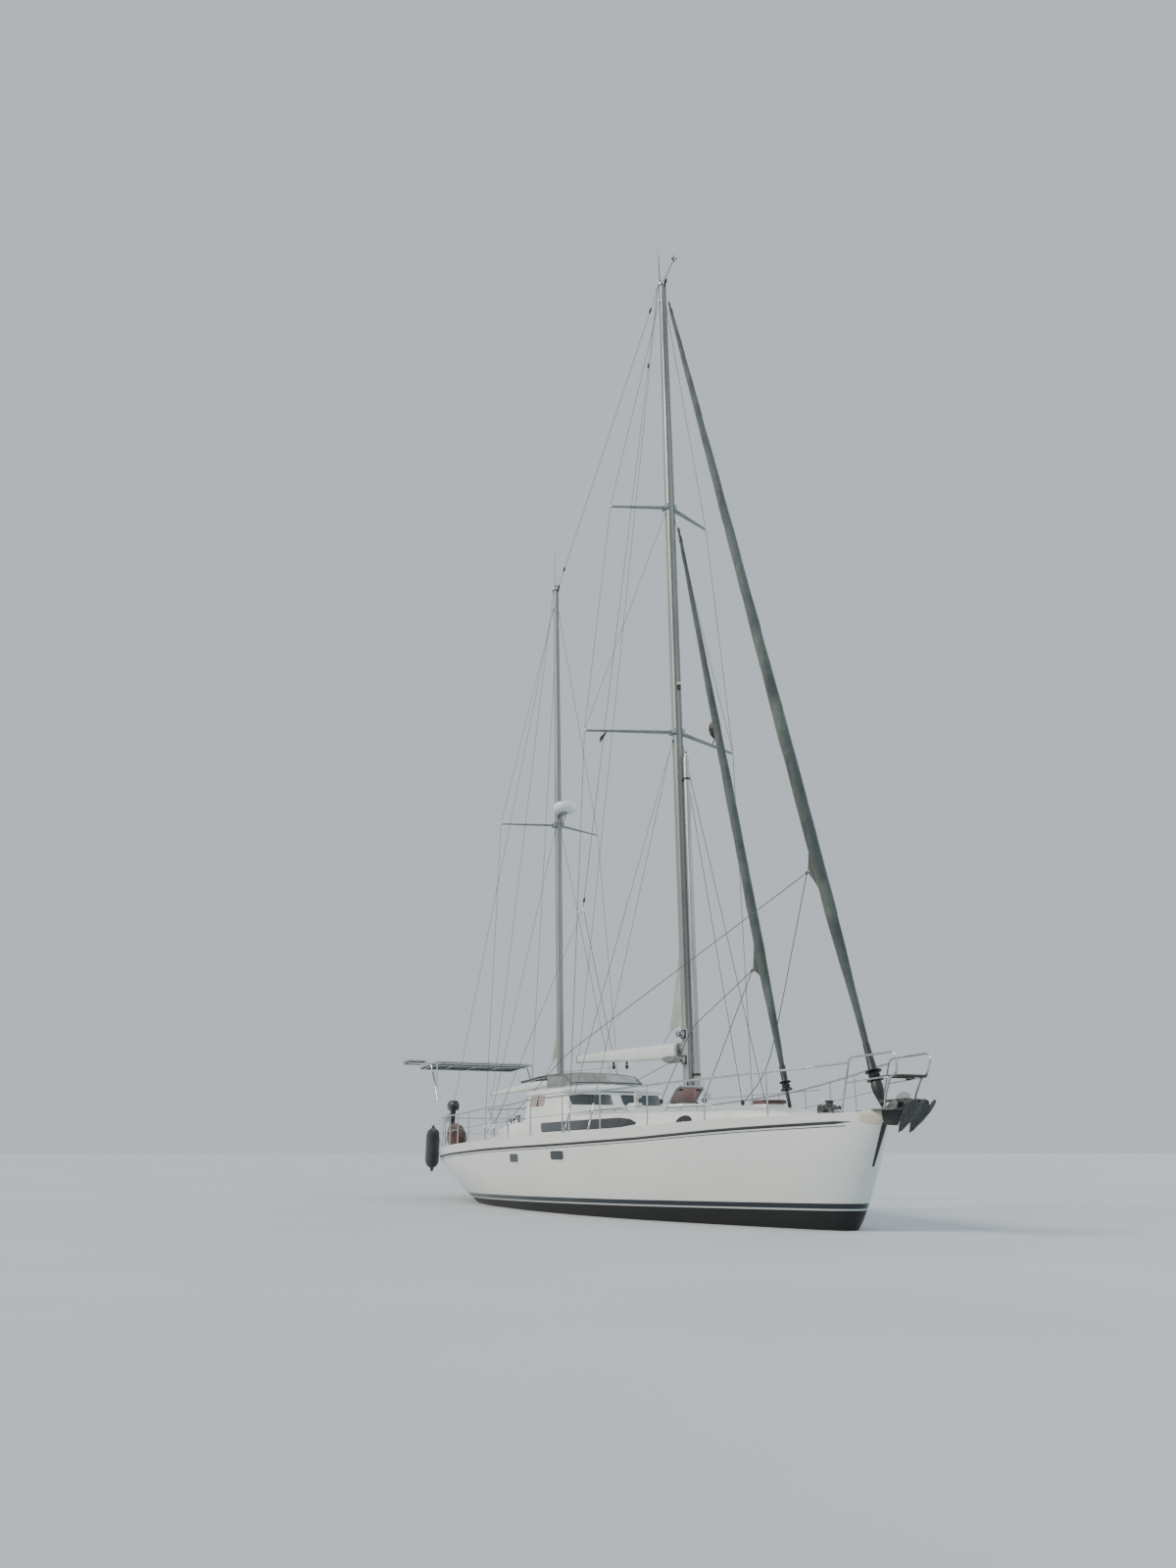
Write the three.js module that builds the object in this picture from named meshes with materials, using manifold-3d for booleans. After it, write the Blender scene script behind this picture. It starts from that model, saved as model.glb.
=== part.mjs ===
// Ketch-rigged cruising sailing yacht, about 16 m on deck, afloat with its sails furled.
// Millimetres. +X is the bow, +Y port, +Z up. The origin is amidships at the waterline.
import * as THREE from 'three';
import { mergeVertices } from 'three/addons/utils/BufferGeometryUtils.js';
import Module from 'manifold-3d';

const wasm = await Module();
wasm.setup();

// Driving dimensions
const GAP = 0.3;
const CLEAR = 6;
const BULWARK = 60;
const RAIL_WIDTH = 40;
const DECK_CAMBER = 55;
const DRAFT = 2050;
const MAIN = { x: 1850, rake: 1.07, head: 19200, foot: 1700, depth: 125, width: 85 };
const MIZZEN = { x: -3740, rake: 2.3, head: 14450, foot: 1300, depth: 95, width: 68 };
const STAY_RADIUS = 5;
const TUBE_RADIUS = 14;
const RAIL_RADIUS = 17;
const POST_RADIUS = 13;

// Colour, roughness, metalness
const GELCOAT = ['#dfe3e2', 0.35, 0];
const DARK_TRIM = ['#23282c', 0.6, 0];
const ANTIFOULING = ['#14171b', 0.8, 0];
const STAINLESS = ['#b9bdc0', 0.25, 1];
const SPAR = ['#c9cbc8', 0.4, 0.6];
const BOOM_WHITE = ['#cfd4d3', 0.4, 0.2];
const SAILCLOTH = ['#3f4a48', 0.9, 0];
const CANVAS = ['#6d7678', 0.9, 0];
const SMOKED = ['#2a3032', 0.1, 0];
const TINTED = ['#8e8a86', 0.1, 0];
const BROWN = ['#4a2a26', 0.8, 0];
const BRONZE = ['#8a6a3c', 0.35, 1];
const BLACK = ['#1b1d1f', 0.6, 0];
const GALVANISED = ['#5c5f60', 0.6, 0.8];
const PANEL = ['#10151f', 0.2, 0.1];

const yacht = new THREE.Group();

// A closed geometry as a solid, moved by shift; faces are turned out if they point in
function solidOf(geometry, shift = [0, 0, 0]) {
  const shape = geometry.index ? geometry.toNonIndexed() : geometry.clone();
  for (const name of Object.keys(shape.attributes)) {
    if (name !== 'position') shape.deleteAttribute(name);
  }
  shape.translate(...shift);
  const merged = mergeVertices(shape, 1e-3);
  const points = merged.attributes.position.array;
  const corners = merged.index.array;
  const faces = [];
  let volume = 0;
  for (let i = 0; i < corners.length; i += 3) {
    const [a, b, c] = corners.slice(i, i + 3);
    if (a === b || b === c || a === c) continue;
    faces.push([a, b, c]);
    const [p, q, r] = [a, b, c].map((k) => new THREE.Vector3().fromArray(points, k * 3));
    volume += p.dot(q.cross(r));
  }
  const turned = volume < 0 ? faces.map(([a, b, c]) => [a, c, b]) : faces;
  const triVerts = Uint32Array.from(turned.flat());
  return new wasm.Manifold(new wasm.Mesh({ numProp: 3, vertProperties: points, triVerts }));
}

function geometryOf(solid) {
  const { vertProperties, triVerts, numProp } = solid.getMesh();
  const points = new Float32Array((vertProperties.length / numProp) * 3);
  for (let i = 0; i < points.length / 3; i += 1) {
    points.set(vertProperties.subarray(i * numProp, i * numProp + 3), i * 3);
  }
  const geometry = new THREE.BufferGeometry();
  geometry.setAttribute('position', new THREE.BufferAttribute(points, 3));
  geometry.setIndex(new THREE.BufferAttribute(Uint32Array.from(triVerts), 1));
  return geometry;
}

const moved = (solid, shift) => solidOf(geometryOf(solid), shift);
const joined = (...solids) => solids.flat().reduce((sum, solid) => sum.add(solid));
const cut = (solid, ...tools) => tools.flat().reduce((rest, tool) => rest.subtract(tool), solid);

// Adds a named mesh, at a place of its own when it turns about that place
function piece(name, solid, [color, roughness, metalness], at = [0, 0, 0]) {
  const material = new THREE.MeshStandardMaterial({ color, roughness, metalness });
  const mesh = new THREE.Mesh(geometryOf(solid), material);
  mesh.name = name;
  mesh.position.set(...at);
  yacht.add(mesh);
  return solid;
}

// Box of a size about a centre, turned by degrees about X, Y and Z
function box(size, centre, turn = [0, 0, 0]) {
  const shape = new THREE.BoxGeometry(...size);
  const angles = turn.map((angle) => THREE.MathUtils.degToRad(angle));
  shape.applyMatrix4(new THREE.Matrix4().makeRotationFromEuler(new THREE.Euler(...angles)));
  return solidOf(shape, centre);
}

// Round bar from a to b
function rod(a, b, radius, end = radius, sides = 8) {
  const from = new THREE.Vector3(...a);
  const run = new THREE.Vector3(...b).sub(from);
  const shape = new THREE.CylinderGeometry(end, radius, run.length(), sides);
  shape.translate(0, run.length() / 2, 0);
  const turn = new THREE.Quaternion().setFromUnitVectors(new THREE.Vector3(0, 1, 0), run.normalize());
  shape.applyQuaternion(turn);
  return solidOf(shape, a);
}

const ball = (centre, radius, squash = 1) => {
  const shape = new THREE.SphereGeometry(radius, 12, 8);
  shape.scale(1, 1, squash);
  return solidOf(shape, centre);
};

// A path that steps from point to point, so that a tube has a ring at each
class PointPath extends THREE.Curve {
  constructor(points) {
    super();
    this.points = points.map((point) => new THREE.Vector3(...point));
  }

  getPointAt(u, target = new THREE.Vector3()) {
    return target.copy(this.points[Math.round(u * (this.points.length - 1))]);
  }

  getTangentAt(u, target = new THREE.Vector3()) {
    const last = this.points.length - 1;
    const i = Math.round(u * last);
    const before = this.points[Math.max(i - 1, 0)];
    const after = this.points[Math.min(i + 1, last)];
    return target.copy(after).sub(before).normalize();
  }
}

// Tube through points
function pipe(points, radius, sides = 8) {
  const outline = [];
  for (let i = 0; i < sides; i += 1) {
    const angle = (2 * Math.PI * i) / sides;
    outline.push(new THREE.Vector2(radius * Math.cos(angle), radius * Math.sin(angle)));
  }
  const options = { steps: points.length - 1, extrudePath: new PointPath(points), bevelEnabled: false };
  return solidOf(new THREE.ExtrudeGeometry(new THREE.Shape(outline), options));
}

// Points of a bent tube: each inner corner becomes a short bend
function bent(corners, radius, steps = 3) {
  const points = [corners[0]];
  for (let i = 1; i < corners.length - 1; i += 1) {
    const corner = new THREE.Vector3(...corners[i]);
    const back = new THREE.Vector3(...corners[i - 1]).sub(corner);
    const on = new THREE.Vector3(...corners[i + 1]).sub(corner);
    const reach = Math.min(radius, back.length() * 0.45, on.length() * 0.45);
    const start = corner.clone().addScaledVector(back.normalize(), reach);
    const end = corner.clone().addScaledVector(on.normalize(), reach);
    const bend = new THREE.QuadraticBezierCurve3(start, corner, end);
    points.push(...bend.getPoints(steps).map((point) => point.toArray()));
  }
  points.push(corners[corners.length - 1]);
  return points;
}

// Skin over rings of points, closed by a fan at each end
function loft(rings) {
  const n = rings[0].length;
  const faces = [];
  for (let i = 0; i < rings.length - 1; i += 1) {
    for (let j = 0; j < n; j += 1) {
      const k = (j + 1) % n;
      faces.push([i * n + j, i * n + k, (i + 1) * n + k], [i * n + j, (i + 1) * n + k, (i + 1) * n + j]);
    }
  }
  const last = (rings.length - 1) * n;
  for (let j = 1; j < n - 1; j += 1) {
    faces.push([0, j + 1, j], [last, last + j, last + j + 1]);
  }
  return skin(rings.flat(), faces);
}

// Skin over half sections from the centreline below to the centreline above, mirrored
function mirroredLoft(halves) {
  const rings = halves.map((half) => {
    const port = half.slice(1, -1).map(([x, y, z]) => [x, y, z]);
    const starboard = port.map(([x, y, z]) => [x, -y, z]).reverse();
    return [half[0], ...port, half[half.length - 1], ...starboard];
  });
  const n = rings[0].length;
  const faces = [];
  for (let i = 0; i < rings.length - 1; i += 1) {
    for (let j = 0; j < n; j += 1) {
      const k = (j + 1) % n;
      faces.push([i * n + j, i * n + k, (i + 1) * n + k], [i * n + j, (i + 1) * n + k, (i + 1) * n + j]);
    }
  }
  const last = (rings.length - 1) * n;
  const top = n / 2;
  for (let j = 0; j < top; j += 1) {
    const [a, b, c, d] = [j, j + 1, n - j - 1, (n - j) % n];
    faces.push([a, c, b], [a, d, c]);
    faces.push([last + a, last + b, last + c], [last + a, last + c, last + d]);
  }
  return skin(rings.flat(), faces);
}

function skin(points, faces) {
  const shape = new THREE.BufferGeometry();
  const flat = faces.flat().flatMap((i) => points[i]);
  shape.setAttribute('position', new THREE.BufferAttribute(Float32Array.from(flat), 3));
  return solidOf(shape);
}

// Flat plate with an outline in X and Z, of a thickness about y
function plateXZ(outline, thickness, y = 0) {
  const shape = new THREE.Shape(outline.map(([x, z]) => new THREE.Vector2(x, z)));
  const plate = new THREE.ExtrudeGeometry(shape, { depth: thickness, bevelEnabled: false });
  plate.rotateX(Math.PI / 2);
  return solidOf(plate, [0, y + thickness / 2, 0]);
}

// Flat plate with an outline in X and Y, standing on z
function plateXY(outline, thickness, z) {
  const shape = new THREE.Shape(outline.map(([x, y]) => new THREE.Vector2(x, y)));
  return solidOf(new THREE.ExtrudeGeometry(shape, { depth: thickness, bevelEnabled: false }), [0, 0, z]);
}

// Turned form about an upright axis, from radius and height pairs
function turnedForm(profile, at, sides = 16) {
  const outline = [[0, profile[0][1]], ...profile, [0, profile[profile.length - 1][1]]];
  const shape = new THREE.LatheGeometry(outline.map(([r, z]) => new THREE.Vector2(r, z)), sides);
  shape.rotateX(Math.PI / 2);
  return solidOf(shape, at);
}

// Value between the rows of a table by its first column
function between(table, x, column) {
  const rows = [...table].sort((a, b) => a[0] - b[0]);
  if (x <= rows[0][0]) return rows[0][column];
  for (let i = 1; i < rows.length; i += 1) {
    if (x <= rows[i][0]) {
      const share = (x - rows[i - 1][0]) / (rows[i][0] - rows[i - 1][0]);
      return rows[i - 1][column] + share * (rows[i][column] - rows[i - 1][column]);
    }
  }
  return rows[rows.length - 1][column];
}

// Value on a smooth curve through a table's rows that never overshoots them
function curved(table, x, column) {
  const rows = [...table].sort((a, b) => a[0] - b[0]);
  const slopes = rows.slice(1).map((row, i) => (row[column] - rows[i][column]) / (row[0] - rows[i][0]));
  const slopeAt = (k) => {
    if (k === 0) return slopes[0];
    if (k === rows.length - 1) return slopes[k - 1];
    const [a, b] = [slopes[k - 1], slopes[k]];
    return a * b <= 0 ? 0 : (2 * a * b) / (a + b);
  };
  const i = Math.max(rows.findIndex((row, k) => k === rows.length - 1 || x < rows[k + 1][0]), 0);
  const k = Math.min(i, rows.length - 2);
  const h = rows[k + 1][0] - rows[k][0];
  const t = Math.min(Math.max((x - rows[k][0]) / h, 0), 1);
  return rows[k][column] * (1 + 2 * t) * (1 - t) ** 2 + h * slopeAt(k) * t * (1 - t) ** 2
    + rows[k + 1][column] * t * t * (3 - 2 * t) + h * slopeAt(k + 1) * t * t * (t - 1);
}

// The table's rows with one more, on its smooth curve, in each gap wider than a limit
function filled(table, limit) {
  return table.flatMap((row, i) => {
    const next = table[i + 1];
    if (!next || Math.abs(next[0] - row[0]) < limit) return [row];
    const x = (row[0] + next[0]) / 2;
    return [row, [x, ...row.slice(1).map((_, k) => curved(table, x, k + 1))]];
  });
}

// Hull: station, half beam at the rail, rail height, bottom height, fullness of the section
const STATIONS = [
  [-8400, 1180, 1075, 560, 2.3],
  [-7800, 1370, 1090, 400, 2.3],
  [-7000, 1580, 1110, 200, 2.3],
  [-6200, 1740, 1135, -10, 2.3],
  [-5200, 1900, 1170, -290, 2.35],
  [-4000, 2030, 1205, -560, 2.4],
  [-2600, 2110, 1250, -760, 2.5],
  [-1000, 2120, 1290, -850, 2.55],
  [600, 2020, 1330, -860, 2.5],
  [2200, 1805, 1385, -820, 2.35],
  [3600, 1460, 1445, -720, 2.15],
  [4800, 1085, 1495, -560, 1.95],
  [5600, 815, 1515, -360, 1.8],
  [6150, 610, 1525, -120, 1.72],
  [6500, 465, 1532, 345, 1.7],
  [6850, 285, 1540, 935, 1.7],
  [7050, 135, 1550, 1285, 1.8],
  [7130, 63, 1555, 1420, 2],
];
const HULL_ROWS = filled(STATIONS, 700);
const SECTION_STEPS = 10;

function hullHalf([x, beam, rail, bottom, fullness]) {
  const half = [];
  for (let i = 0; i <= SECTION_STEPS; i += 1) {
    const angle = (Math.PI / 2) * (i / SECTION_STEPS);
    const out = beam * Math.sin(angle) ** (2 / fullness);
    half.push([x, out, rail - (rail - bottom) * Math.max(Math.cos(angle), 0) ** (2 / fullness)]);
  }
  half[0][1] = 0;
  half[SECTION_STEPS] = [x, beam, rail];
  half.push([x, 0, rail]);
  return half;
}

const railBeam = (x) => between(HULL_ROWS, x, 1);
const railHeight = (x) => between(HULL_ROWS, x, 2);
const deckHeight = (x, y = 0) => {
  const inner = Math.max(railBeam(x) - RAIL_WIDTH, 1);
  return railHeight(x) - BULWARK + DECK_CAMBER * (1 - Math.min(Math.abs(y) / inner, 1));
};

const RECESS = { aft: -8290, fore: 6980 };
const recessRow = (x) => [x, railBeam(x), railHeight(x)];
const recess = HULL_ROWS.filter(([x]) => x > RECESS.aft && x < RECESS.fore - 10);
const deckRows = [recessRow(RECESS.aft), ...recess, recessRow(RECESS.fore)].map(([x, beam, rail]) => [
  [x, 0, rail - BULWARK + DECK_CAMBER],
  [x, beam - RAIL_WIDTH, rail - BULWARK],
  [x, beam - RAIL_WIDTH, rail + 100],
  [x, 0, rail + 100],
]);
const COCKPIT = { fore: -1460, aft: -3120, halfWell: 440, halfSeat: 940, sole: 600 };
const well = box(
  [COCKPIT.fore - COCKPIT.aft, 2 * COCKPIT.halfWell, 1000],
  [(COCKPIT.fore + COCKPIT.aft) / 2, 0, COCKPIT.sole + 500],
);
const transomCut = box([600, 4000, 2400], [-8633, 0, 930], [0, -28.8, 0]);
const hull = cut(mirroredLoft(HULL_ROWS.map(hullHalf)), mirroredLoft(deckRows), well, transomCut);
piece('hull', hull, GELCOAT);
const hullAbove = moved(hull, [0, 0, GAP]);
const hullBelow = moved(hull, [0, 0, -GAP]);
const onHull = (solid) => cut(solid, hullAbove);

// Underwater fins: section rows of leading edge, trailing edge, height and thickness
function fin(rows) {
  return loft(rows.map(([lead, trail, z, thickness]) => {
    const chord = lead - trail;
    const shares = [[0, 0.25], [0.06, 0.7], [0.3, 1], [0.6, 0.75], [1, 0.1]];
    const port = shares.map(([back, out]) => [lead - back * chord, (out * thickness) / 2, z]);
    const starboard = shares.map(([back, out]) => [lead - back * chord, (-out * thickness) / 2, z]);
    return [...port, ...starboard.reverse()];
  }));
}

const keel = fin([
  [2100, -2300, -480, 420],
  [1650, -2050, -1100, 360],
  [1150, -1800, -1720, 400],
  [950, -1750, -DRAFT, 300],
]);
piece('keel', cut(keel, hullBelow), ANTIFOULING);

const RUDDER = { x: -5560, top: -300, heel: -1720 };
const skeg = cut(
  fin([[-4700, -5400, -150, 170], [-4880, -5440, -1000, 120], [-5050, -5470, -1750, 90]]),
  rod([RUDDER.x, 0, -2000], [RUDDER.x, 0, 200], 75, 75, 16),
);
piece('skeg', cut(skeg, hullBelow), ANTIFOULING);

const rudderBlade = joined(
  fin([[-5505, -6080, RUDDER.top, 110], [-5510, -6120, -1000, 100], [-5515, -6020, RUDDER.heel, 80]]),
  rod([RUDDER.x, 0, RUDDER.heel], [RUDDER.x, 0, -212], 55, 55, 16),
);
const rudderAtStock = moved(rudderBlade, [-RUDDER.x, 0, 0]);
piece('rudder', rudderAtStock, ANTIFOULING, [RUDDER.x, 0, 0]);

const SHAFT = { bearing: [-4380, 0, -980], inner: [-3300, 0, -700], radius: 22 };
const shaft = joined(
  rod(SHAFT.inner, SHAFT.bearing, SHAFT.radius, SHAFT.radius, 12),
  rod([-4200, 0, -933], SHAFT.bearing, 48, 40, 12),
  fin([[-4210, -4330, -420, 30], [-4210, -4330, -980, 24]]),
);
piece('shaft_strut', cut(shaft, hullBelow), BRONZE);

const bladeCount = 3;
const blades = [];
for (let i = 0; i < bladeCount; i += 1) {
  const angle = 90 + (360 / bladeCount) * i;
  const blade = new THREE.SphereGeometry(1, 8, 6);
  blade.scale(9, 62, 125);
  blade.rotateZ(THREE.MathUtils.degToRad(28));
  blade.translate(0, 0, 150);
  blade.rotateX(THREE.MathUtils.degToRad(angle));
  blades.push(solidOf(blade));
}
const hub = rod([38, 0, 0], [-80, 0, 0], 48, 20, 16);
const propeller = geometryOf(joined(hub, blades));
propeller.rotateY(-Math.atan2(SHAFT.inner[2] - SHAFT.bearing[2], SHAFT.inner[0] - SHAFT.bearing[0]));
piece('propeller', solidOf(propeller), BRONZE, [-4430, 0, -993]);

// Rubbing strake along each side
const STRAKE = { aft: -7900, fore: 6780 };
const STRAKE_DROP = [[-7900, 190], [3000, 190], [6780, 120]];
function hullSide(x, z) {
  const [beam, rail, bottom, fullness] = [1, 2, 3, 4].map((column) => between(HULL_ROWS, x, column));
  return beam * (1 - ((rail - z) / (rail - bottom)) ** fullness) ** (1 / fullness);
}
const strakeInner = HULL_ROWS.map(([x]) => x).filter((x) => x > STRAKE.aft + 50 && x < STRAKE.fore - 50);
for (const [side, word] of [[1, 'port'], [-1, 'starboard']]) {
  const rows = [STRAKE.aft, ...strakeInner, STRAKE.fore].map((x) => {
    const z = railHeight(x) - between(STRAKE_DROP, x, 1);
    const y = hullSide(x, z);
    return [[x, side * (y - 60), z - 32], [x, side * (y + 14), z - 28], [x, side * (y + 14), z + 28],
      [x, side * (y - 60), z + 32]];
  });
  piece(`rub_strake_${word}`, cut(loft(rows), moved(hull, [0, side * GAP, 0])), DARK_TRIM);
}

// Coachroof: station, half width at deck, half width at the roof edge, edge height, crown height
const COACHROOF = [
  [5700, 430, 310, 1510, 1530],
  [5200, 640, 495, 1580, 1625],
  [4300, 950, 780, 1615, 1700],
  [3000, 1250, 1050, 1625, 1755],
  [1500, 1460, 1230, 1635, 1800],
  [0, 1560, 1310, 1640, 1835],
  [-1250, 1560, 1310, 1640, 1850],
  [-2300, 1500, 1250, 1625, 1700],
  [-2900, 1420, 1190, 1560, 1580],
  [-3260, 1300, 1090, 1400, 1400],
];
const coachHalf = ([x, base, roof, edge, crown]) => [
  [x, 0, 850],
  [x, base + 40, 850],
  [x, base, 1120],
  [x, roof + 30, edge - 50],
  [x, roof - 40, edge],
  [x, roof * 0.55, edge + (crown - edge) * 0.72],
  [x, 0, crown],
];
const cockpitOpening = box(
  [COCKPIT.fore - COCKPIT.aft, 2 * COCKPIT.halfSeat, 1400],
  [(COCKPIT.fore + COCKPIT.aft) / 2, 0, 1500],
);
const ROOF_ROWS = filled(COACHROOF, 700);
const crownHeight = (x) => between(ROOF_ROWS, x, 4);

// Deck hatches: name, hinge x, reach forward, centre y, width, roof height under it, open angle
const MID_HATCH = { x: 2120, y: -300, reach: 440, width: 520, open: 38, z: crownHeight(2300) + 22 };
const FORE_HATCH = { x: 4160, y: 0, reach: 380, width: 400, z: crownHeight(4160) + 24 };
const hatchRim = ({ x, y, reach, width, z }) => box([reach, width, 260], [x + reach / 2, y, z - CLEAR - 130]);
const HATCH_RIM = 45;
const hatchHole = ({ x, y, reach, width, z }) => box(
  [reach - 2 * HATCH_RIM, width - 2 * HATCH_RIM, 200],
  [x + reach / 2, y, z - 70],
);
const coachroof = cut(
  joined(mirroredLoft(ROOF_ROWS.map(coachHalf)), hatchRim(MID_HATCH), hatchRim(FORE_HATCH)),
  cockpitOpening,
  hatchHole(MID_HATCH),
  hullAbove,
);
piece('coachroof', coachroof, GELCOAT);
const coachAbove = moved(coachroof, [0, 0, GAP]);
const onCoachroof = (solid) => cut(solid, coachAbove, hullAbove);

// Long dark windows in the coachroof sides: outline in X and Z
const WINDOW_OUTLINE = [[-1340, 1380], [-1540, 1535], [1620, 1566], [2000, 1540], [2200, 1475], [1700, 1422]];
for (const [side, word] of [[1, 'port'], [-1, 'starboard']]) {
  const slab = plateXZ(WINDOW_OUTLINE, 900, side * 1400);
  const shell = mirroredLoft(ROOF_ROWS.map(([x, base, roof, edge, crown]) => (
    coachHalf([x, base + 6, roof + 6, edge, crown]))));
  const pane = cut(slab.intersect(shell), moved(coachroof, [0, side * GAP, 0]));
  piece(`cabin_window_${word}`, pane, SMOKED);
}

function lid({ reach, width }, thickness = 34) {
  const chamfer = 30;
  const outline = [[0, -width / 2], [reach - chamfer, -width / 2], [reach, -width / 2 + chamfer],
    [reach, width / 2 - chamfer], [reach - chamfer, width / 2], [0, width / 2]];
  return plateXY(outline, thickness, 0);
}

const openLid = (solid, angle) => {
  const shape = geometryOf(solid);
  shape.rotateY(THREE.MathUtils.degToRad(-angle));
  return solidOf(shape);
};
piece('mid_hatch', openLid(lid(MID_HATCH), MID_HATCH.open), TINTED, [MID_HATCH.x, MID_HATCH.y, MID_HATCH.z]);
piece('fore_hatch', lid(FORE_HATCH, 80), BROWN, [FORE_HATCH.x, FORE_HATCH.y, FORE_HATCH.z]);

// Aft cabin behind the cockpit, the mizzen mast standing on its fore end
const AFT_CABIN = [
  [-3400, 1080, 960, 1330, 1400],
  [-4200, 1150, 1000, 1350, 1440],
  [-5400, 1080, 930, 1330, 1410],
  [-6100, 940, 800, 1290, 1350],
  [-6350, 860, 760, 1180, 1200],
];
const aftHalf = ([x, base, roof, edge, crown]) => [
  [x, 0, 900], [x, base + 20, 900], [x, roof + 20, edge - 30], [x, roof - 20, edge], [x, 0, crown]];
const AFT_HATCH = { x: -5300, y: 0, reach: 600, width: 600, z: between(AFT_CABIN, -4700, 4) + 30 };
const aftCabin = onHull(joined(mirroredLoft(AFT_CABIN.map(aftHalf)), hatchRim(AFT_HATCH)));
piece('aft_cabin', aftCabin, GELCOAT);
const aftAbove = moved(aftCabin, [0, 0, GAP]);
piece('aft_hatch', lid(AFT_HATCH, 40), SMOKED, [AFT_HATCH.x, AFT_HATCH.y, AFT_HATCH.z]);

const LAZARETTE = { x: -7450, y: 0, reach: 620, width: 760, z: deckHeight(-6800) + CLEAR + 4 };
piece('lazarette_lid', lid(LAZARETTE, 30), GELCOAT, [LAZARETTE.x, LAZARETTE.y, LAZARETTE.z]);

// Companionway door at the fore end of the cockpit, hung on its starboard edge
const DOOR = { x: COCKPIT.fore - CLEAR, y: -280, width: 560, low: 640, high: 1600, thickness: 30 };
const doorLeaf = box(
  [DOOR.thickness, DOOR.width, DOOR.high - DOOR.low],
  [-DOOR.thickness / 2, DOOR.width / 2, (DOOR.high + DOOR.low) / 2],
);
piece('companionway_door', doorLeaf, SMOKED, [DOOR.x, DOOR.y, 0]);

// Fixed shelter over the fore end of the cockpit: a raked screen, nearly flat across, with round corners
const SCREEN = {
  low: 1500,
  high: 2150,
  foreLow: -600,
  foreHigh: -1110,
  outLow: 1200,
  outHigh: 1090,
  aft: -2860,
};
const BOW_BACK = 70;
const CORNER = 130;
const screenPlan = (fore, out) => [
  [SCREEN.aft, -out], [fore - BOW_BACK - CORNER, -out], [fore - BOW_BACK - 30, -out + 40],
  [fore - BOW_BACK * 0.8, -out + CORNER], [fore - 18, -out * 0.5], [fore, 0], [fore - 18, out * 0.5],
  [fore - BOW_BACK * 0.8, out - CORNER], [fore - BOW_BACK - 30, out - 40], [fore - BOW_BACK - CORNER, out],
  [SCREEN.aft, out]];
function shelterBody(inset, aft = 0) {
  const low = screenPlan(SCREEN.foreLow - inset, SCREEN.outLow - inset);
  const high = screenPlan(SCREEN.foreHigh - inset, SCREEN.outHigh - inset);
  const ring = (plan, z) => plan.map(([x, y], i) => [i === 0 || i === plan.length - 1 ? x - aft : x, y, z]);
  return loft([ring(low, SCREEN.low - 5 * inset), ring(high, SCREEN.high)]);
}
const roofRing = (grow, z, camber) => screenPlan(SCREEN.foreHigh + 30 + grow, SCREEN.outHigh + 20 + grow)
  .map(([x, y]) => [x, y, z + camber * (1 - (y / 1200) ** 2)]);
const shelterRoof = loft([
  roofRing(-30, SCREEN.high - 50, 50), roofRing(20, SCREEN.high - 15, 50), roofRing(0, SCREEN.high + 25, 60),
  roofRing(-120, SCREEN.high + 45, 85)]);
const SIGHT = { low: 1880, high: 2085 };
const SCREEN_PANES = [['port', 100, 980], ['starboard', -980, -100]];
const screenWindow = (y0, y1) => loft([
  [[-2000, y0, SIGHT.low], [-2000, y1, SIGHT.low], [-2000, y1, SIGHT.high], [-2000, y0, SIGHT.high]],
  [[-300, y0, SIGHT.low], [-300, y1, SIGHT.low], [-300, y1, SIGHT.high], [-300, y0, SIGHT.high]]]);
const SIDE_WINDOWS = [['port', 1, -2300, -1250], ['starboard', -1, -2720, -1950]];
const sideWindow = (side, aft, fore) => box(
  [fore - aft, 500, SIGHT.high - SIGHT.low], [(fore + aft) / 2, side * 1200, (SIGHT.low + SIGHT.high) / 2]);
const openings = [
  ...SCREEN_PANES.map(([, y0, y1]) => screenWindow(y0, y1)),
  ...SIDE_WINDOWS.map(([, side, aft, fore]) => sideWindow(side, aft, fore))];
const shelter = onCoachroof(joined(cut(shelterBody(0), shelterBody(38, 200), openings), shelterRoof));
piece('shelter', shelter, GELCOAT);
const glassBand = box([3000, 3000, SIGHT.high - SIGHT.low - 1], [-1700, 0, (SIGHT.low + SIGHT.high) / 2]);
const glassSheet = cut(shelterBody(14), shelterBody(22, 200)).intersect(glassBand);
for (const [word, y0, y1] of SCREEN_PANES) {
  piece(`screen_pane_${word}`, glassSheet.intersect(screenWindow(y0 + GAP, y1 - GAP)), SMOKED);
}
for (const [word, side, aft, fore] of SIDE_WINDOWS) {
  piece(`side_pane_${word}`, glassSheet.intersect(sideWindow(side, aft + GAP, fore - GAP)), SMOKED);
}

// Soft top on the shelter's roof: an enclosed fore end with a raked front, then an awning that widens aft
const CANOPY_BODY = [ // x, foot, edge height, crown height, half width
  [-1420, 2190, 2310, 2330, 790],
  [-1800, 2190, 2480, 2530, 790],
  [-2200, 2190, 2505, 2560, 790],
  [-2600, 2190, 2520, 2570, 790],
];
const AWNING = [ // x, edge height, crown height, half width
  [-2560, 2514, 2564, 786],
  [-2900, 2490, 2550, 890],
  [-3450, 2420, 2500, 1050],
];
const CLOTH = 22;
function canopyRing([x, foot, edge, crown, half], inset = 0) {
  const port = [
    [x, half - inset, foot], [x, half - inset, edge - 30 - inset],
    [x, half * 0.93 - inset, edge - inset], [x, half * 0.5, crown - 12 - inset],
  ];
  const starboard = port.map(([px, y, z]) => [px, -y, z]).reverse();
  return [...port, [x, 0, crown - inset], ...starboard];
}
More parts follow.
